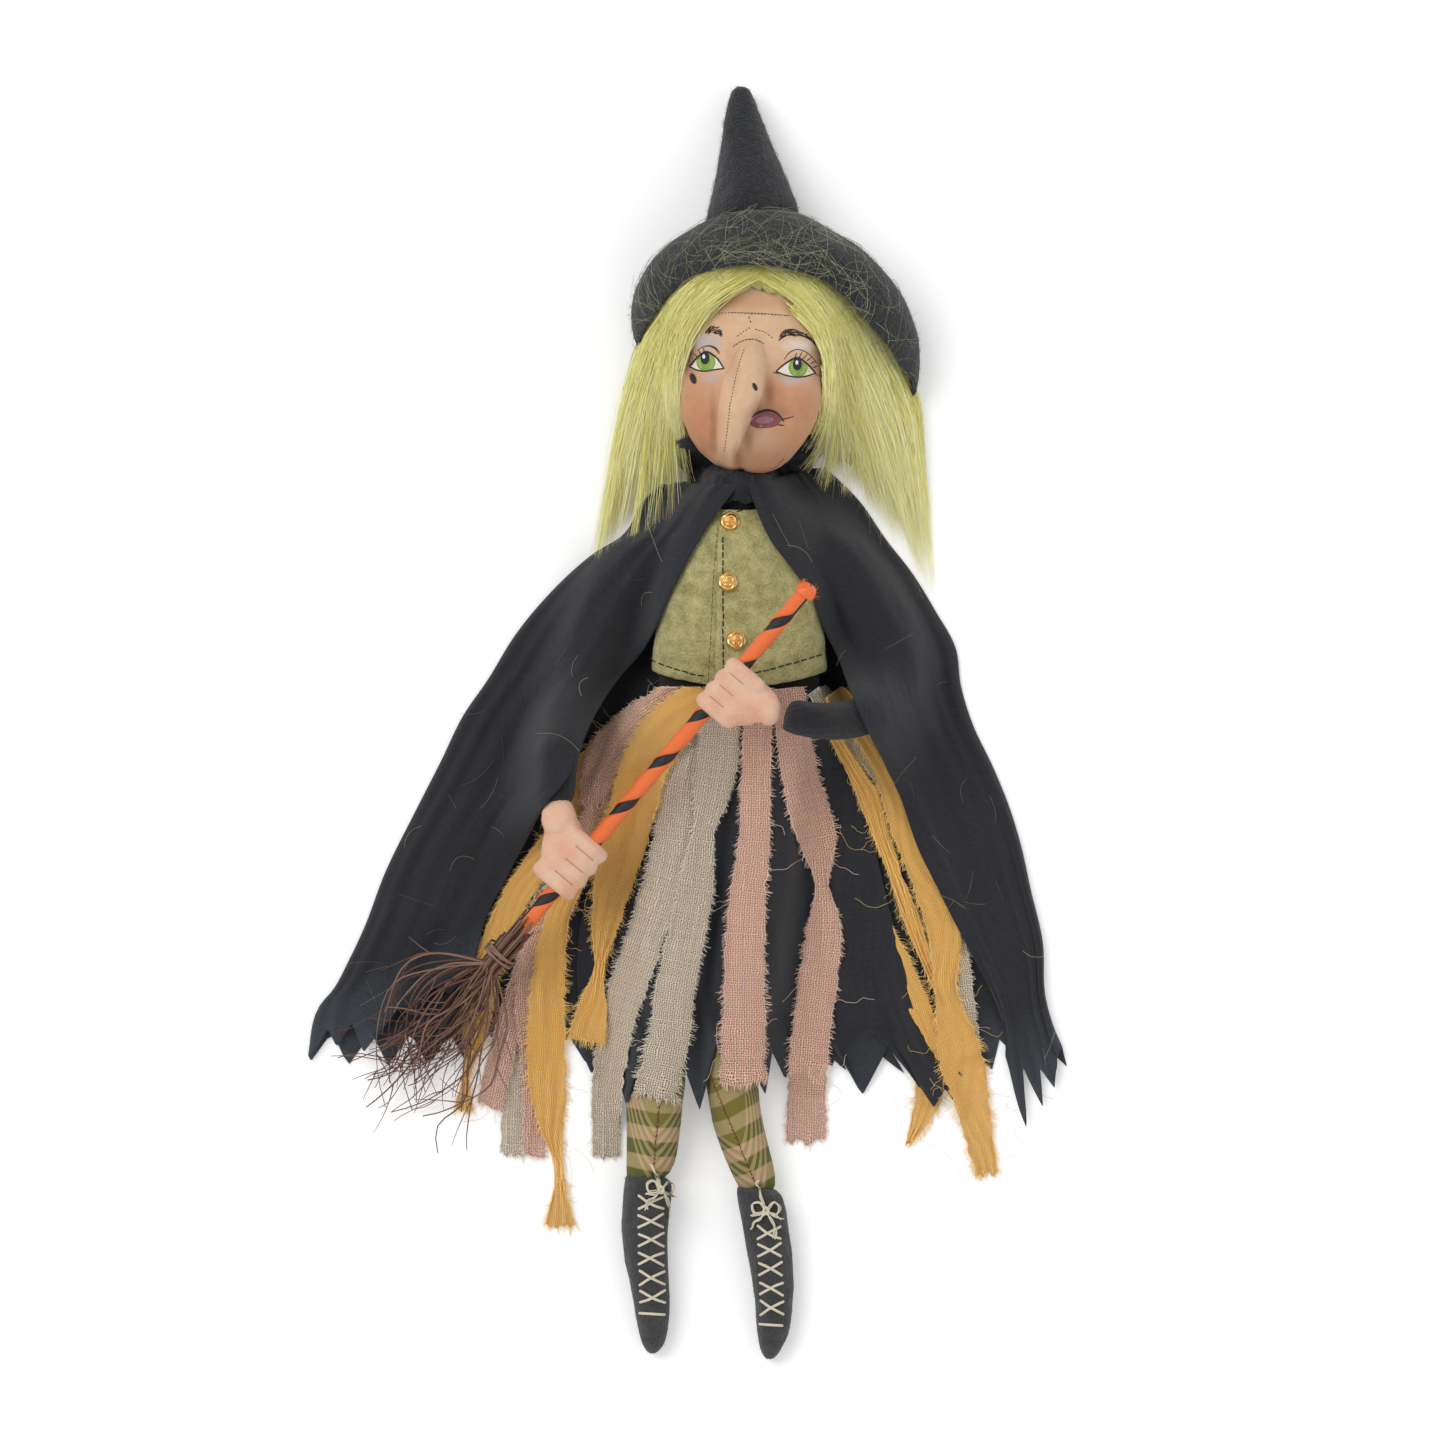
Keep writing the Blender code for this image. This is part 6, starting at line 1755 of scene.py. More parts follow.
def add_rag(name, line, looks, seed):
    """One torn strip with its frayed edges."""
    short = name.removeprefix("strip_")
    kind = short.split("_")[0]
    columns, ripple, spacing, fringe, radius, loose = RAGS[kind]
    inner, uv, frayed = rag_grid(line, columns, ripple, seed)
    outer = inner + LINEN * grid_normals(inner)
    obj = cloth("rag_" + short, inner, outer, looks[kind], uv, frayed)
    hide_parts(name)
    PILE.add(outer, grid_faces(*outer.shape[:2]))
    thread = looks[kind + "_thread"]
    threads = add_fringe(short, outer, spacing, fringe, radius, thread, seed)
    add_loose_threads(short, outer, loose, radius, thread, seed)
    length = len(inner) * RAG_STEP
    area = grid_area(inner)
    width = max(np.array(line, float)[:, 2].max() * PIXEL, area / length, STRIP_WIDTH_LEAST)
    area = max(area, 0.301 * width * length)


def edge_points(row, place):
    """Points along a row of points, at places counted in points."""
    i = place.astype(int)
    share = (place - i)[:, None]
    return row[i] * (1 - share) + row[i + 1] * share


def add_fringe(name, top, spacing, fringe, radius, look, seed):
    """Short threads that stand out of a torn strip's long edges and its end."""
    rng = np.random.default_rng(seed + 100)
    rows, columns = top.shape[:2]
    starts, ways = [], []
    for column, beside in ((0, 1), (columns - 1, columns - 2)):
        count = int(rows * RAG_STEP / spacing)
        place = np.linspace(0, rows - 1.001, count) + rng.uniform(-0.3, 0.3, count)
        place = place.clip(0, rows - 1.001)
        edge = edge_points(top[:, column], place)
        starts.append(edge)
        ways.append(unit(edge - top[place.astype(int), beside]))
    count = int(np.linalg.norm(top[-1, -1] - top[-1, 0]) / (spacing * 0.7))
    place = rng.uniform(0, columns - 1.001, count)
    i = place.astype(int)
    starts.append(edge_points(top[-1], place))
    ways.append(unit(top[-1, i] - top[-2, i]))
    starts, ways = np.concatenate(starts), np.concatenate(ways)
    number = len(starts)
    clump = noise(np.arange(number) / 9.0, 1.0, seed + 101)
    length = fringe * (0.55 + 0.45 * clump) * rng.uniform(0.3, 1.5, number) + 0.0004
    lean = rng.normal(0, 0.35, (number, 1)) + clump[:, None] * 0.5
    turned = ways * [1, 1, 0] + quarter_turn(ways) * lean
    steps = np.linspace(-0.35, 1, 4)
    out = steps.clip(0)
    way = steps[None, :, None] * ways[:, None] * 0.6 + (out**1.5)[None, :, None] * turned[:, None] * 0.5
    paths = starts[:, None] + length[:, None, None] * way
    floor = PILE.level(paths)
    sunk = paths[..., 2] - 0.0002 - out[None] ** 2 * 0.5 * length[:, None]
    paths[..., 2] = np.maximum(sunk, np.minimum(floor, paths[..., 2]) + radius)
    tint = rng.uniform(0.3, 1.0, number)
    return add_blades("fringe_" + name, paths, tapered(radius, 0.6, number, 4), look, tint, seed)


def wander(starts, ways, length, steps, seed, turn):
    """Paths that set out in a direction in plan and wander."""
    rng = np.random.default_rng(seed)
    count = len(starts)
    angle = np.arctan2(ways[:, 1], ways[:, 0])[:, None]
    angle = angle + np.cumsum(rng.normal(0, turn, (count, steps - 1)), axis=1)
    angle = angle + rng.normal(0, 0.12, (count, 1)) * np.arange(steps - 1)
    step = (length / (steps - 1))[:, None]
    moves = np.stack([np.cos(angle) * step, np.sin(angle) * step], axis=-1)
    run = np.concatenate([np.zeros((count, 1, 2)), np.cumsum(moves, axis=1)], axis=1)
    return starts[:, None, :2] + run


def add_loose_threads(name, top, each_metre, radius, look, seed):
    """Long threads pulled out of a strip's edges, lying on what is there."""
    rng = np.random.default_rng(seed + 200)
    rows, columns = top.shape[:2]
    count = max(4, int(each_metre * rows * RAG_STEP))
    i = rng.integers(2, rows - 1, count)
    side = rng.integers(0, 2, count) * (columns - 1)
    starts = top[i, side]
    out = unit(starts - top[i, np.where(side == 0, 2, columns - 3)])
    along = unit(starts - top[i - 2, side])
    ways = unit(out + along * rng.uniform(-0.4, 1.8, (count, 1)))
    length = rng.uniform(0.003, 0.016, count) * rng.choice([1, 1, 2.2], count)
    plan = wander(starts, ways, length, THREAD_STEPS, seed + 201, 0.38)
    arch = np.sin(np.linspace(0, math.pi, THREAD_STEPS))[None] * rng.uniform(0, 0.002, (count, 1))
    z = PILE.level(plan) + radius + 0.0002 + arch
    z[:, 1:-1] = np.maximum(z[:, 1:-1], (z[:, :-2] + z[:, 2:]) / 2)
    radii = np.full(THREAD_STEPS, radius * 0.9)
    tint = rng.uniform(0.4, 1.0, count)
    return add_tubes("threads_" + name, raised(plan, z), radii, look, 3, tint)


def rag_looks():
    """The weaves of the torn strips and the threads that come off them."""
    return {
        "pink": woven("linen_pink", "pink", "pink_dark", 0.00115, 0.18, 0.0007, 0.15),
        "taupe": woven("linen_taupe", "taupe", "taupe_dark", 0.00110, 0.20, 0.0007, 0.15),
        "yellow": woven("gauze_yellow", "yellow", "yellow_dark", 0.00085, 0.22, 0.0004, 0.2),
        "pink_thread": tinted("thread_pink", "pink", "pink_light", 0.9, 0.2),
        "taupe_thread": tinted("thread_taupe", "taupe", "taupe_light", 0.9, 0.2),
        "yellow_thread": tinted("thread_yellow", "yellow", "yellow_light", 0.9, 0.2),
    }


def add_rags(looks, names):
    """Torn strips in the order in which they lie: coarse pink and taupe linen, and yellow gauze."""
    for number, (name, line) in enumerate(STRIPS.items()):
        if name in names:
            add_rag(name, line, looks, 300 + 17 * number)


def stitched(name, top, rows, radius, length, space, look, seed, jitter=0.0):
    """Hand stitches along rows of pixels on a surface: a short thread, a hole, a short thread."""
    rng = np.random.default_rng(seed)
    paths = []
    for row in rows:
        row = at(np.array(row, float))
        count = max(1, int(line_length(row) / (length + space)))
        line = smooth_line(row, count * 12)
        for k in range(count):
            paths.append(line[k * 12 : k * 12 + 10 : 3] + rng.normal(0, jitter, 2))
    plan = np.array(paths)
    arch = np.array([-0.3, 0.8, 0.8, -0.3]) * radius
    z = heights(top, plan) + arch
    return add_tubes(name, raised(plan, z), np.full(4, radius), look, 5)


def add_vest():
    """The olive felt vest with its black stitching and three rose buttons."""
    vest = refined("vest_felt", ["vest"], 2, felt("felt_olive", "olive", "olive_light", 0.2), 0.0004, 0.006)
    fibre = tinted("fibres_olive", "olive", "olive_light", 0.9, 0.3)
    fuzz("vest_fuzz", vest, 2600, 0.0016, fibre, 61)
    top = surface(vest)
    thread = plain("thread_vest", "thread_black", 0.8)
    rows = [
        [(723, 537), (723, 580), (723, 630), (723.5, 674)],
        [(651, 660), (666, 666), (682, 671), (698, 675), (705, 676)],
        [(724, 677), (735, 677), (755, 673), (790, 664), (823, 654)],
        [(737, 512), (745, 509.5), (753, 506)],
        [(718, 527), (714, 570), (711, 630), (708, 683)],
    ]
    stitched("vest_stitches", top, rows[:4], 0.00034, 0.0030, 0.0006, thread, 62, 0.00008)
    stitched("vest_edge_stitches", top, rows[4:], 0.00012, 0.0016, 0.0012, thread, 63, 0.00005)
    gold = plain("gold_metal", "gold", 0.32, 700.0, 0.00015, 0.2, 1.0)
    for name in ("top", "middle", "bottom"):
        add_rose("rose_" + name, "button_" + name, gold)


def add_rose(name, node_name, look):
    """A small metal rose: overlapping petals that wind into the middle."""
    low, high = (np.array(corner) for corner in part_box(node_name))
    middle = (low + high) / 2
    radius = (high[0] - low[0]) / 2
    rings, columns = 34, 64
    r = np.linspace(0.02, 1, rings)[:, None]
    turn = np.linspace(0, 2 * math.pi, columns, endpoint=False)[None]
    lobes = 1 + 0.03 * np.cos(7 * turn + 0.6) * r**2 + 0.012 * np.cos(11 * turn)
    wound = 0.5 + 0.5 * np.sin(turn + 2 * math.pi * 3.1 * r**0.85 + 0.9 * np.sin(3 * turn + 2 * r))
    petal = 0.5 + 0.5 * np.sin(4 * turn - 9 * r + 0.8 * np.sin(2 * turn))
    dome = (1 - r**2.4) * 0.62
    height = (high[2] - low[2]) * (0.24 + dome + 0.17 * wound**1.5 * (1 - 0.3 * r) + 0.07 * petal**2 * r)
    height[-1] = 0.0
    height[-2] = height[-2] * 0.5
    x = middle[0] + radius * r * lobes * np.cos(turn)
    y = middle[1] + radius * r * lobes * np.sin(turn)
    points = np.stack([x, y, low[2] + height], axis=-1)
    obj = make(name, points, grid_faces(rings, columns, True), look)
    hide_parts(node_name)


def stick_axis():
    """The two ends of the broomstick's middle line."""
    low, high = (np.array(corner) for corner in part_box("broom_stick"))
    top, end = np.array([*STICK_TOP, high[2]]), np.array([*STICK_END, low[2]])
    run = np.linalg.norm((end - top)[:2])
    drop = STICK_RADIUS * run / math.hypot(run, high[2] - low[2])
    return top - [0, 0, drop], end + [0, 0, drop]


def add_broom():
    """The black stick, the orange ribbon wound on it, its frayed end, the twigs and their wire."""
    top, end = stick_axis()
    length = np.linalg.norm(end - top)
    ahead = (end - top) / length
    across = unit(np.cross(ahead, (0.0, 0.0, 1.0)))
    up = np.cross(across, ahead)
    path = top + ahead * np.linspace(0, length, 40)[:, None]
    points, faces = tubes(path[None], np.full(40, STICK_RADIUS + 0.0001), 20)
    stick = make("stick_paint", points, faces, plain("paint_stick", "ribbon_black", 0.55, 600.0, 0.0002))
    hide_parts("broom_stick")
    along = np.linspace(0.0006, 0.216, RIBBON_STEPS)
    width = RIBBON_PITCH * RIBBON_SHARE
    layers = []
    for out in (RIBBON_IN, RIBBON_OUT):
        rows = []
        for share in np.linspace(-0.5, 0.5, 9):
            place = along + share * width
            turn = -2 * math.pi * (along - RIBBON_FROM) / RIBBON_PITCH
            ripple = 0.00012 * np.cos(share * 9 + along * 700) * (out > 0.0003)
            radius = STICK_RADIUS + out + ripple + 0.00012 * np.abs(share) ** 2
            place = place.clip(0.0, 0.2185)
            rows.append(top + ahead * place[:, None] + radius[:, None] * spokes(turn, across, up))
        layers.append(np.stack(rows, axis=1))
    uv = np.stack(np.broadcast_arrays(np.linspace(0, width, 9)[None], along[:, None] * 3), axis=-1)
    ribbon_look = satin()
    ribbon = cloth("ribbon_satin", layers[0], layers[1], ribbon_look, uv)
    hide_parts("broom_ribbon")
    add_stick_cap(top, ahead, across, up, ribbon_look)
    add_twigs(end, ahead, across, up)


def add_stick_cap(top, ahead, across, up, look):
    """The ribbon's crumpled, frayed end folded over the stick's top."""
    rings, columns = 16, 40
    rise = np.linspace(0, math.pi / 2 * 0.98, rings)[:, None]
    turn = np.linspace(0, 2 * math.pi, columns, endpoint=False)[None]
    crumple = 1 + 0.10 * noise(np.cos(turn) * 1.5 + 5, np.sin(turn) * 1.5 + rise * 2, 71)
    radius = (STICK_RADIUS + 0.0018) * np.cos(rise) ** 0.6 * crumple
    back = 0.0052 * np.sin(rise) * crumple
    points = top - ahead * (back[..., None] - 0.001) + radius[..., None] * spokes(turn, across, up)
    make("ribbon_end", points, grid_faces(rings, columns, True), look, uv=np.zeros((rings * columns, 2)))
    rng = np.random.default_rng(72)
    count = 110
    turn = rng.uniform(0, 2 * math.pi, count)
    out = spokes(turn, across, up)
    starts = top - ahead * rng.uniform(-0.002, 0.002, (count, 1)) + out * (STICK_RADIUS + 0.0006)
    way = out * rng.uniform(0.1, 0.7, (count, 1)) - ahead * rng.uniform(0.2, 1.0, (count, 1))
    way = unit(way + rng.normal(0, 0.25, (count, 3)))
    steps = np.linspace(0, 1, 6)[None, :, None]
    reach = rng.uniform(0.001, 0.0045, (count, 1, 1))
    bend = reach * 0.3 * steps**2 * rng.normal(0, 1, (count, 1, 3))
    paths = starts[:, None] + reach * steps * way[:, None] + bend
    fray = tinted("fray_orange", "orange", "orange_light", 0.6)
    add_tubes("ribbon_fray", paths, np.full(6, 0.00009), fray, 3, rng.uniform(0, 1, count))


def add_twigs(end, ahead, across, up):
    """The bunch of thin curved twigs and the wire round it."""
    rng = np.random.default_rng(81)
    steps = 18
    s = np.linspace(0, 1, steps)
    hold = end - ahead * 0.004
    turn = rng.uniform(0, 2 * math.pi, TWIG_COUNT)
    off = BRUSH_RADIUS * np.sqrt(rng.uniform(0.25, 1, TWIG_COUNT))
    around = off[:, None] * spokes(turn, across, up)
    starts = hold + around * 1.05 - ahead * rng.uniform(0.004, 0.024, (TWIG_COUNT, 1))
    most = rng.uniform(size=TWIG_COUNT) < 0.86
    degrees = np.where(most, rng.uniform(113, 151, TWIG_COUNT), rng.uniform(88, 113, TWIG_COUNT))
    angle = np.radians(degrees)
    reach = np.interp(degrees, [88, 104, 114, 125, 140, 151], [66, 110, 178, 192, 184, 160]) * PIXEL
    reach = reach * rng.uniform(0.62, 1.04, TWIG_COUNT)
    centre = at((490, 965))
    tips = np.stack([centre[0] + reach * np.cos(angle), centre[1] - reach * np.sin(angle)], axis=1)
    neck = hold + around * 0.9 + ahead * 0.008
    plan = neck[:, None, :2] * (1 - s)[None, :, None] + tips[:, None] * s[None, :, None]
    side = quarter_turn(tips - neck[:, :2])
    number = np.arange(TWIG_COUNT)[:, None]
    bow = rng.normal(0, 0.15, (TWIG_COUNT, 1)) * np.sin(s * math.pi)[None]
    bow = bow + 0.085 * noise(number * 1.3, s[None] * 4.5, 82) * s[None]
    hook = rng.normal(0, 0.18, (TWIG_COUNT, 1)) * s[None] ** 3
    plan = plan + side[:, None] * (bow + hook)[..., None]
    rest = PILE.level(plan) + 0.0010 + rng.uniform(0, 0.011, (TWIG_COUNT, 1)) * (0.3 + 0.7 * s[None])
    start_z = neck[:, 2:3]
    z = np.maximum(rest, start_z * (1 - s)[None] ** 1.3 + rest * (1 - (1 - s)[None] ** 1.3))
    lead = np.stack([starts, (starts + neck) / 2], axis=1)
    paths = np.concatenate([lead, raised(plan, z)], axis=1)
    thick = rng.uniform(0.00038, 0.00066, (TWIG_COUNT, 1))
    radii = thick * np.interp(np.linspace(0, 1, steps + 2), [0, 0.5, 1], [1.0, 0.85, 0.4])[None]
    radii = radii * (1 + 0.18 * noise(number * 2.1, np.arange(steps + 2)[None] * 0.9, 83))
    look = tinted("twig_bark", "twig", "twig_light", 0.8, 0.0, 700.0)
    twigs = add_tubes("twig_bunch", paths, radii, look, 6, rng.uniform(0, 0.8, TWIG_COUNT))
    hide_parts(*[f"twig_{number:02d}" for number in range(1, 11)])
    add_side_twigs(paths, look)
    turns = np.linspace(0, 2 * math.pi * 5.2, 150)
    down = 0.0045 * np.linspace(0, 1, 150) + 0.0008 * np.sin(turns * 0.7)
    place = hold - ahead * 0.001 + ahead * down[:, None]
    ring = place + 0.0078 * (np.cos(turns)[:, None] * across + 0.95 * np.sin(turns)[:, None] * up)
    wire = add_tubes("brush_wire", ring[None], np.full(150, 0.00055), look, 6, np.array([0.75]))
    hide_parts("broom_binding")


def add_side_twigs(paths, look):
    """Short forks that leave the twigs."""
    rng = np.random.default_rng(84)
    count = FORK_COUNT
    parent = rng.integers(0, len(paths), count)
    place = rng.integers(7, paths.shape[1] - 2, count)
    starts = paths[parent, place]
    way = unit(paths[parent, place + 1] - starts)
    lean = rng.choice([-1, 1], count)[:, None] * rng.uniform(0.3, 0.8, (count, 1))
    way = unit(way + quarter_turn(way) * lean)
    steps = np.linspace(0, 1, 7)
    reach = rng.uniform(0.008, 0.026, (count, 1, 1))
    bend = rng.normal(0, 0.25, (count, 1, 1)) * quarter_turn(way)[:, None]
    made = starts[:, None] + reach * (steps[None, :, None] * way[:, None] + steps[None, :, None] ** 2 * bend)
    made[..., 2] = np.maximum(made[..., 2], PILE.level(made) + 0.0005)
    low = CAD_BOX[0]
    made[..., 0] = made[..., 0].clip(low[0] + 0.001)
    radii = np.linspace(0.00034, 0.00015, 7)[None] * np.ones((count, 1))
    add_tubes("twig_forks", made, radii, look, 5, rng.uniform(0, 0.8, count))


# How finely a hand's balls melt together, and how often the result is smoothed
HAND_VOXEL = 0.0009
HAND_PASSES = 26


def blob(name, node_name, balls, look):
    """A soft form melted together from balls: x, y, z, and three half sizes."""
    mesh = bmesh.new()
    for x, y, z, a, b, c, turn in balls:
        made = bmesh.ops.create_icosphere(mesh, subdivisions=3, radius=1.0)["verts"]
        bmesh.ops.scale(mesh, vec=(a, b, c), verts=made)
        bmesh.ops.rotate(mesh, cent=(0, 0, 0), matrix=Matrix.Rotation(turn, 3, "Z"), verts=made)
        bmesh.ops.translate(mesh, vec=(x, y, z), verts=made)
    data = bpy.data.meshes.new(name)
    mesh.to_mesh(data)
    mesh.free()
    obj = applied(melted(linked(name, data), HAND_VOXEL, HAND_PASSES), look)
    obj.data.shade_smooth()
    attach(obj, "root")
    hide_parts(node_name)
    return obj


# Each hand in pixels: wrist, palm, the four places on the stick that the fingers cross, and their way
HANDS = {
    "left": {
        "wrist": ((559, 818), (18, 22), 0.0),
        "palm": ((563, 848), (22, 36), -0.15),
        "fingers": [(590, 847), (580, 859.5), (569.5, 872), (559, 884)],
        "way": 1,
        "back": 24,
        "over": 13,
    },
    "right": {
        "wrist": ((768, 708), (13, 19), 0.1),
        "palm": ((745, 703), (31, 23), 0.25),
        "fingers": [(739, 670.5), (729, 682.5), (719, 694.5), (710, 705.5)],
        "way": -1,
        "back": 24,
        "over": 8,
    },
}


def add_hand(side, look, thread):
    """A stuffed cloth hand closed round the stick: wrist, palm and four fingers over it, with its seams."""
    top, end = stick_axis()
    ahead = unit((end - top)[:2])
    aside = quarter_turn(ahead)
    facts = HANDS[side]
    way = aside * facts["way"] * np.sign(np.dot(aside, (1.0, -0.5)))
    balls = []

    def stick_height(place):
        """Height of the stick's middle line beside a place."""
        share = np.dot(place - top[:2], (end - top)[:2]) / np.dot((end - top)[:2], (end - top)[:2])
        return top[2] + (end[2] - top[2]) * share

    for (centre, size, turn), high in ((facts["wrist"], 0.0080), (facts["palm"], 0.0085)):
        x, y = at(centre)
        balls.append((x, y, stick_height(np.array([x, y])), size[0] * PIXEL, size[1] * PIXEL, high, turn))
    seams = []
    for number, centre in enumerate(facts["fingers"]):
        place = at(centre)
        z = stick_height(place)
        for along in np.linspace(-facts["back"], facts["over"], 10):
            spot = place + way * along * PIXEL
            lift = 0.0052 - 0.0045 * max(0.0, (along - 2) / facts["over"]) ** 2
            lift = lift - 0.0018 * max(0.0, -along / facts["back"]) ** 1.5
            balls.append((*spot, z + lift - 0.0004, 0.0041, 0.0041, 0.0042, 0.0))
        if number:
            before = at(facts["fingers"][number - 1])
            middle = (place + before) / 2
            seams.append([middle + way * along * PIXEL for along in (-12, -5, 2, facts["over"] - 2)])
    obj = blob("cloth_hand_" + side, "hand_" + side, balls, look)
    over = surface(obj)
    paths = []
    for seam in seams:
        line = smooth_line(np.array(seam), 14)
        paths.append(np.column_stack([line, heights(over, line) - 0.00002]))
    add_tubes("hand_seams_" + side, np.array(paths), np.full(14, 0.00024), thread, 5)
    fuzz("hand_nap_" + side, obj, 700, 0.0014, tinted("nap_" + side, "hand", "hand_light", 0.9), 91)
    return obj


def tuck_into_boot(leg, top, bottom):
    """Draws the leg's lower end on into the boot, where the two are sewn together."""
    points, _ = vertex_arrays(leg)
    ahead = unit(bottom - top)
    down = (points[:, :2] - top) @ ahead
    share = np.clip((down - down.max() + LEG_TUCK_FROM) / LEG_TUCK_FROM, 0, 1)
    points[:, :2] += ahead * LEG_TUCK * share[:, None]
    leg.data.vertices.foreach_set("co", points.ravel())
    leg.data.update()


def add_leg(side, seam, look):
    """A stuffed plaid leg with a hand-sewn dark-red seam."""
    leg = refined("plaid_leg_" + side, ["leg_" + side], 2, look, 0.0003, 0.009)
    tuck_into_boot(leg, *at(seam))
    top = surface(leg)
    (x0, y0), (x1, y1) = seam
    line = np.column_stack([np.linspace(x0, x1, 9), np.linspace(y0, y1, 9)])
    thread = plain("thread_leg_" + side, "thread_red", 0.8)
    stitched("leg_seam_" + side, top, [line], 0.00022, 0.0024, 0.0009, thread, 95, 0.0001)
    slants = []
    rng = np.random.default_rng(96)
    for share in np.linspace(0.04, 0.96, 17):
        x, y = x0 + (x1 - x0) * share, y0 + (y1 - y0) * share
        tilt = rng.choice([-1, 1]) * rng.uniform(0.6, 1.6)
        slants.append([(x - 1.6, y - tilt), (x + 1.6, y + tilt)])
    stitched("leg_cross_stitches_" + side, top, slants, 0.00018, 0.0012, 0.0001, thread, 97)


# Laces: crossings down each boot in pixels, half width in pixels, the last bar, and the bow's knot
LACES = {
    "left": (
        [(651, 1203), (650.5, 1221), (651, 1240), (651, 1259), (652, 1278), (652.5, 1297)],
        12.5,
        (652, 1314),
        (661, 1190),
    ),
    "right": (
        [(769, 1233), (769.5, 1250), (770.5, 1269), (771.5, 1289), (772, 1308)],
        11.5,
        (771, 1325),
        (766, 1211),
    ),
}


def add_boot(side, look, lace):
    """A felt boot with its crossed cream laces and the bow."""
    boot = refined("felt_boot_" + side, ["boot_" + side], 2, look, 0.0003, 0.006)
    fibre = tinted("boot_fibres_" + side, "felt_black", "felt_fibre", 0.9, 0.3)
    fuzz("boot_fuzz_" + side, boot, 1200, 0.0013, fibre, 98)
    top = surface(boot)
    crossings, half, bar, knot = LACES[side]
    rng = np.random.default_rng(99)
    lines = []
    for x, y in crossings:
        for way in (-1, 1):
            jitter = rng.normal(0, 0.7, 4)
            before = [(x - way * half, y - 6.2 + jitter[0]), (x - way * 2.2, y - 1.2 + jitter[1])]
            after = [(x + way * 2.2, y + 1.2 + jitter[1]), (x + way * half, y + 6.2 + jitter[2])]
            lines.append(before + after)
    x, y = bar
    lines.append([(x - half, y - 0.5), (x - 4, y), (x + 4, y + 0.5), (x + half, y + 1)])
    paths = []
    for number, line in enumerate(lines):
        plan = smooth_line(at(np.array(line, float)), 12)
        over = 0.0007 if number % 2 else 0.0
        z = heights(top, plan) + 0.00045 + over * np.exp(-((np.linspace(-1, 1, 12) / 0.35) ** 2))
        z[[0, -1]] -= 0.0006
        paths.append(np.column_stack([plan, z]))
    laces = add_tubes("laces_" + side, np.array(paths), np.full(12, 0.00066), lace, 8)
    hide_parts("bootlace_" + side)
    add_bow(side, knot, top, lace)


def add_bow(side, knot, top, lace):
    """The bow of frayed cotton yarn at a boot's cuff."""
    rng = np.random.default_rng(101 + len(side))
    x, y = knot
    loops = [
        [(x, y), (x - 8, y - 9), (x - 14, y - 6), (x - 12, y + 2), (x, y + 1)],
        [(x, y), (x + 9, y - 8), (x + 14, y - 3), (x + 10, y + 4), (x, y + 1)],
        [(x, y), (x - 6, y + 8), (x - 12, y + 12), (x - 14, y + 16), (x - 15, y + 19)],
        [(x, y), (x + 5, y + 8), (x + 7, y + 15), (x + 9, y + 22), (x + 8, y + 28)],
        [(x, y), (x - 5, y - 14), (x - 7, y - 22), (x - 10, y - 28), (x - 8, y - 30)],
        [(x - 14, y + 4), (x - 5, y + 3), (x, y + 2), (x + 7, y + 4), (x + 15, y + 8)],
    ]
    paths = []
    for loop in loops:
        for _ in range(3):
            plan = smooth_line(at(np.array(loop, float) + rng.normal(0, 1.0, (5, 2))), 16)
            arch = 0.0022 * np.sin(np.linspace(0.3, math.pi, 16)) * rng.uniform(0.5, 1.2)
            z = heights(top, plan) + 0.0006 + arch
            paths.append(np.column_stack([plan, z]))
    add_tubes("bow_" + side, np.array(paths), np.full(16, 0.00034), lace, 6)
    middle = at(knot)
    z = heights(top, middle[None])[0] + 0.0016
    turns = np.linspace(0, 2 * math.pi * 3, 40)
    x = middle[0] + 0.0012 * np.cos(turns)
    y = middle[1] + 0.0016 * np.sin(turns)
    ring = np.stack([x, y, z + 0.0007 * np.sin(turns * 0.6)], axis=1)
    add_tubes("bow_knot_" + side, ring[None], np.full(40, 0.0006), lace, 6)


def lace_look():
    """Cream cotton lace: twisted strands."""
    made, tree, shader = node_tree("lace_cream")
    place = own_place(tree)
    fibres = noise_node(tree, place, 1500.0, 5.0)
    paint(tree, shader, mix(tree, fibres, COLOURS["lace_dark"], COLOURS["lace_pale"]))
    bump(tree, shader, fibres, 0.0006)
    set_cloth(shader, 0.85, 0.1)
    return made


def add_body(look):
    """The body under the clothes and the two knit sleeves."""
    body = refined("body_cloth", ["torso"], 1, look)
    knit = felt("knit_sleeve", "knit_black", "felt_black", 0.15, 1600.0)
    for side in ("left", "right"):
        sleeve = refined("knit_sleeve_" + side, ["sleeve_" + side], 2, knit, 0.0005, 0.010)


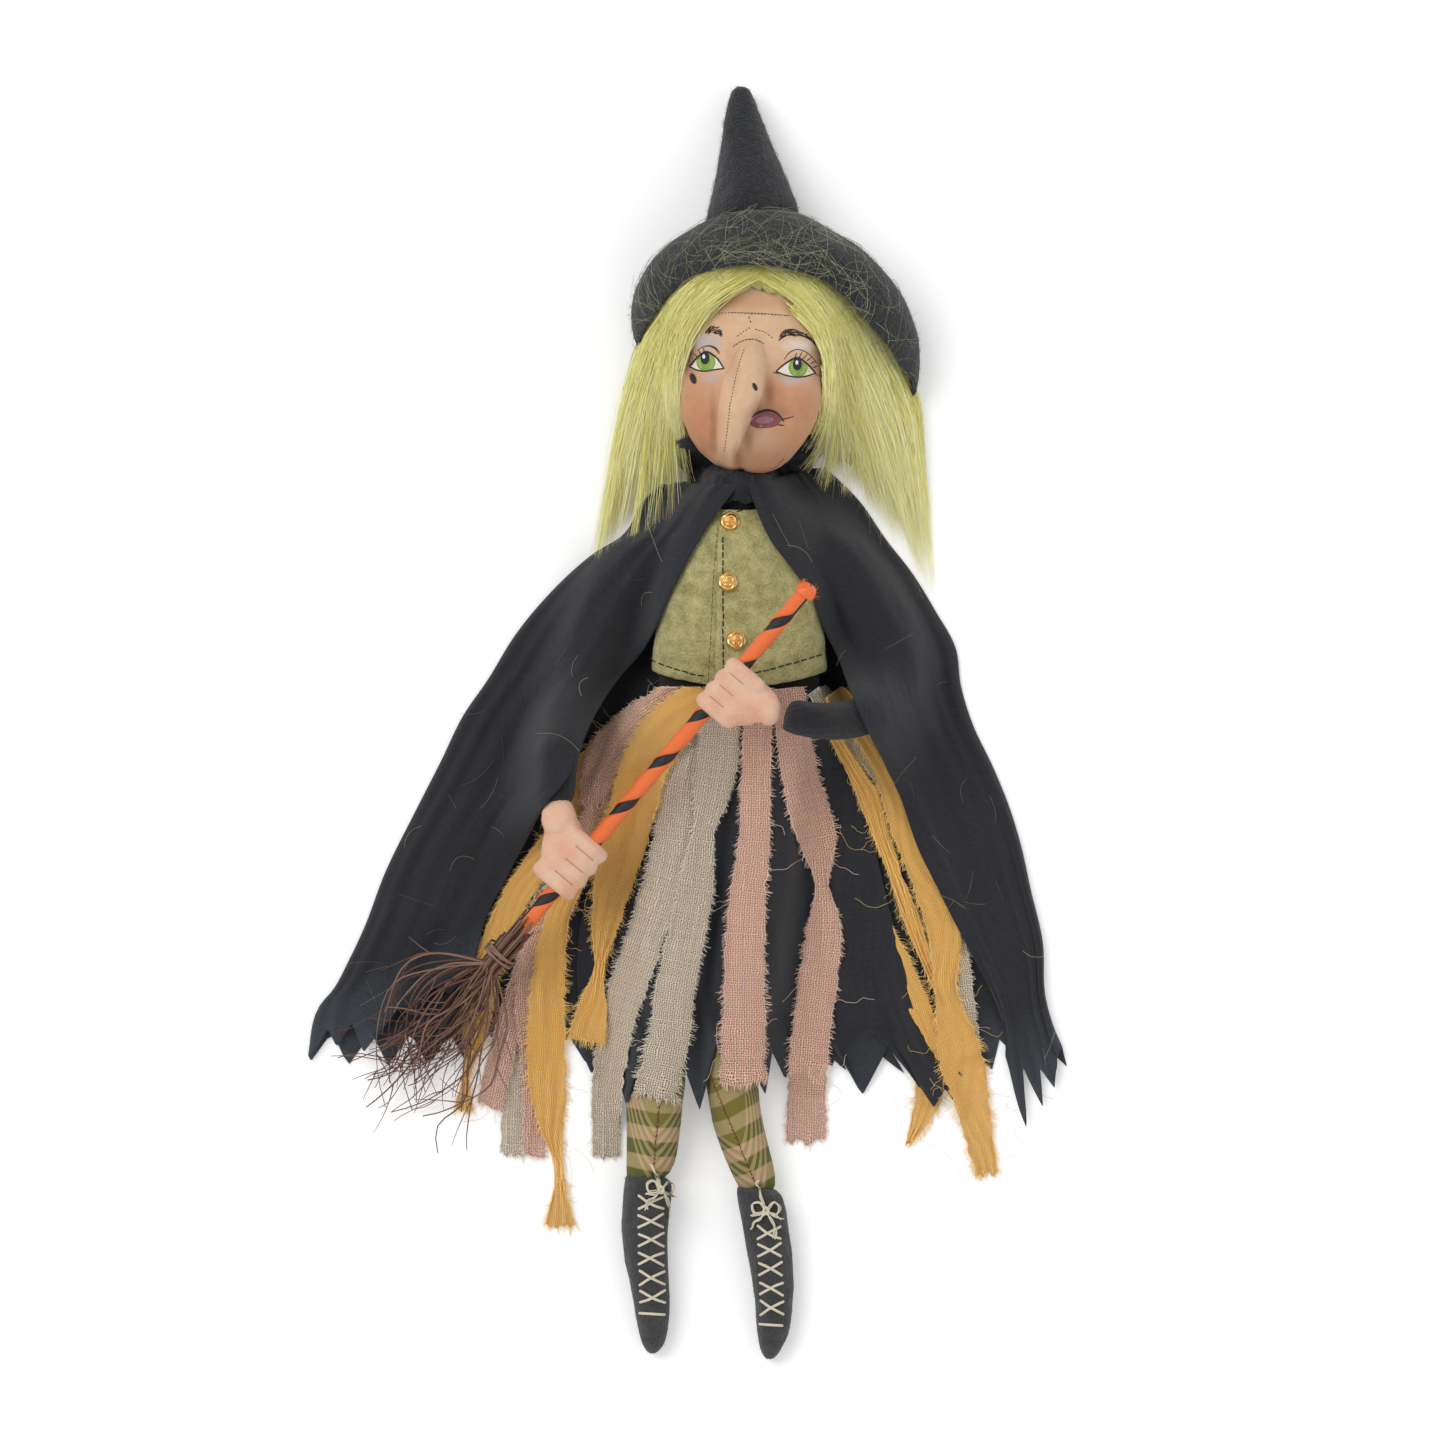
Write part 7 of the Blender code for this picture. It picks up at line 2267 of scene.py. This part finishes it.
def add_collar(look):
    """The cape's tie: a band gathered round the neck under the chin, with a ruffled, fuzzy edge."""
    line = smooth_line(at(COLLAR), COLLAR_STEPS)
    ahead = unit(np.gradient(line, axis=0))
    across = np.linspace(-0.5, 0.5, 17)
    along = np.arange(COLLAR_STEPS)[:, None]
    uneven = 1 + 0.14 * noise(along / 5.0, np.sign(across)[None] * 2.0, 111)
    reach = COLLAR_WIDTH * PIXEL * across[None] * uneven
    plan = line[:, None] - quarter_turn(ahead)[:, None] * reach[..., None]
    ruffle = 0.0010 * (1 + np.cos(along * 0.5 + across[None] * 2.5 + 2.5 * noise(along / 8.0, 1.0, 112)))
    z = PILE.drape(plan, ruffle * (0.5 + np.abs(across)[None]) + 0.0010, 8)
    inner = raised(plan, z)
    outer = inner + COTTON * grid_normals(inner)
    uv = np.stack([reach, along * 0.0004 * np.ones_like(reach)], axis=-1)
    obj = cloth("collar_band", inner, outer, look, uv, np.zeros(inner.shape[:2]))
    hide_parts("cape_tie")
    fibre = tinted("collar_fibres", "felt_black", "felt_fibre", 0.9)
    fuzz("collar_fuzz", obj, 1500, 0.0030, fibre, 105, 0.5)


def build():
    """Dresses the frame from the floor up."""
    add_stage()
    black = thin_cotton("cotton_black")
    for name in ("torso", "leg_left", "leg_right", "boot_left", "boot_right", "cape_tie"):
        PILE.add_node(name)
    add_body(felt("cotton_body", "cotton_black", "knit_black", 0.1, 1500.0))
    add_leg("left", LEG_SEAMS["left"], plaid_cloth("plaid_left", LEG_SEAMS["left"]))
    add_leg("right", LEG_SEAMS["right"], plaid_cloth("plaid_right", LEG_SEAMS["right"]))
    boot_look = felt("felt_boot", "boot_dark", "boot_light", 0.2)
    lace = lace_look()
    add_boot("left", boot_look, lace)
    add_boot("right", boot_look, lace)
    PILE.top = np.maximum(PILE.top, 0.0022 * (cape_back_mask() > 0))
    looks = rag_looks()
    add_rags(looks, UNDER_SKIRT)
    add_skirt(black)
    PILE.add_node("vest")
    add_vest()
    add_rags(looks, [name for name in STRIPS if name not in UNDER_SKIRT])
    hand = hand_cloth_look()
    thread = plain("thread_hand", "hand_seam", 0.8)
    for side in ("left", "right"):
        add_hand(side, hand, thread)
        PILE.add_node("sleeve_" + side)
        PILE.add_node("hand_" + side)
    add_hat()
    add_hair(black)
    head = add_head(face_cloth())
    add_face(head)
    add_cape(black)
    add_lint()
    add_broom()


def cape_back_mask():
    """Where the cape's back lies on the floor: one in each such cell of the pile."""
    mask = Pile()
    lines = [smooth_line(at(line), 60) for line in (CAPE_LEFT_OUTER, CAPE_RIGHT_OUTER)]
    shares = np.linspace(0, 1, 40)
    plan = between(lines[0], lines[1], shares)
    mask.add(raised(plan, np.ones((60, 40))), grid_faces(60, 40))
    return mask.top


build()
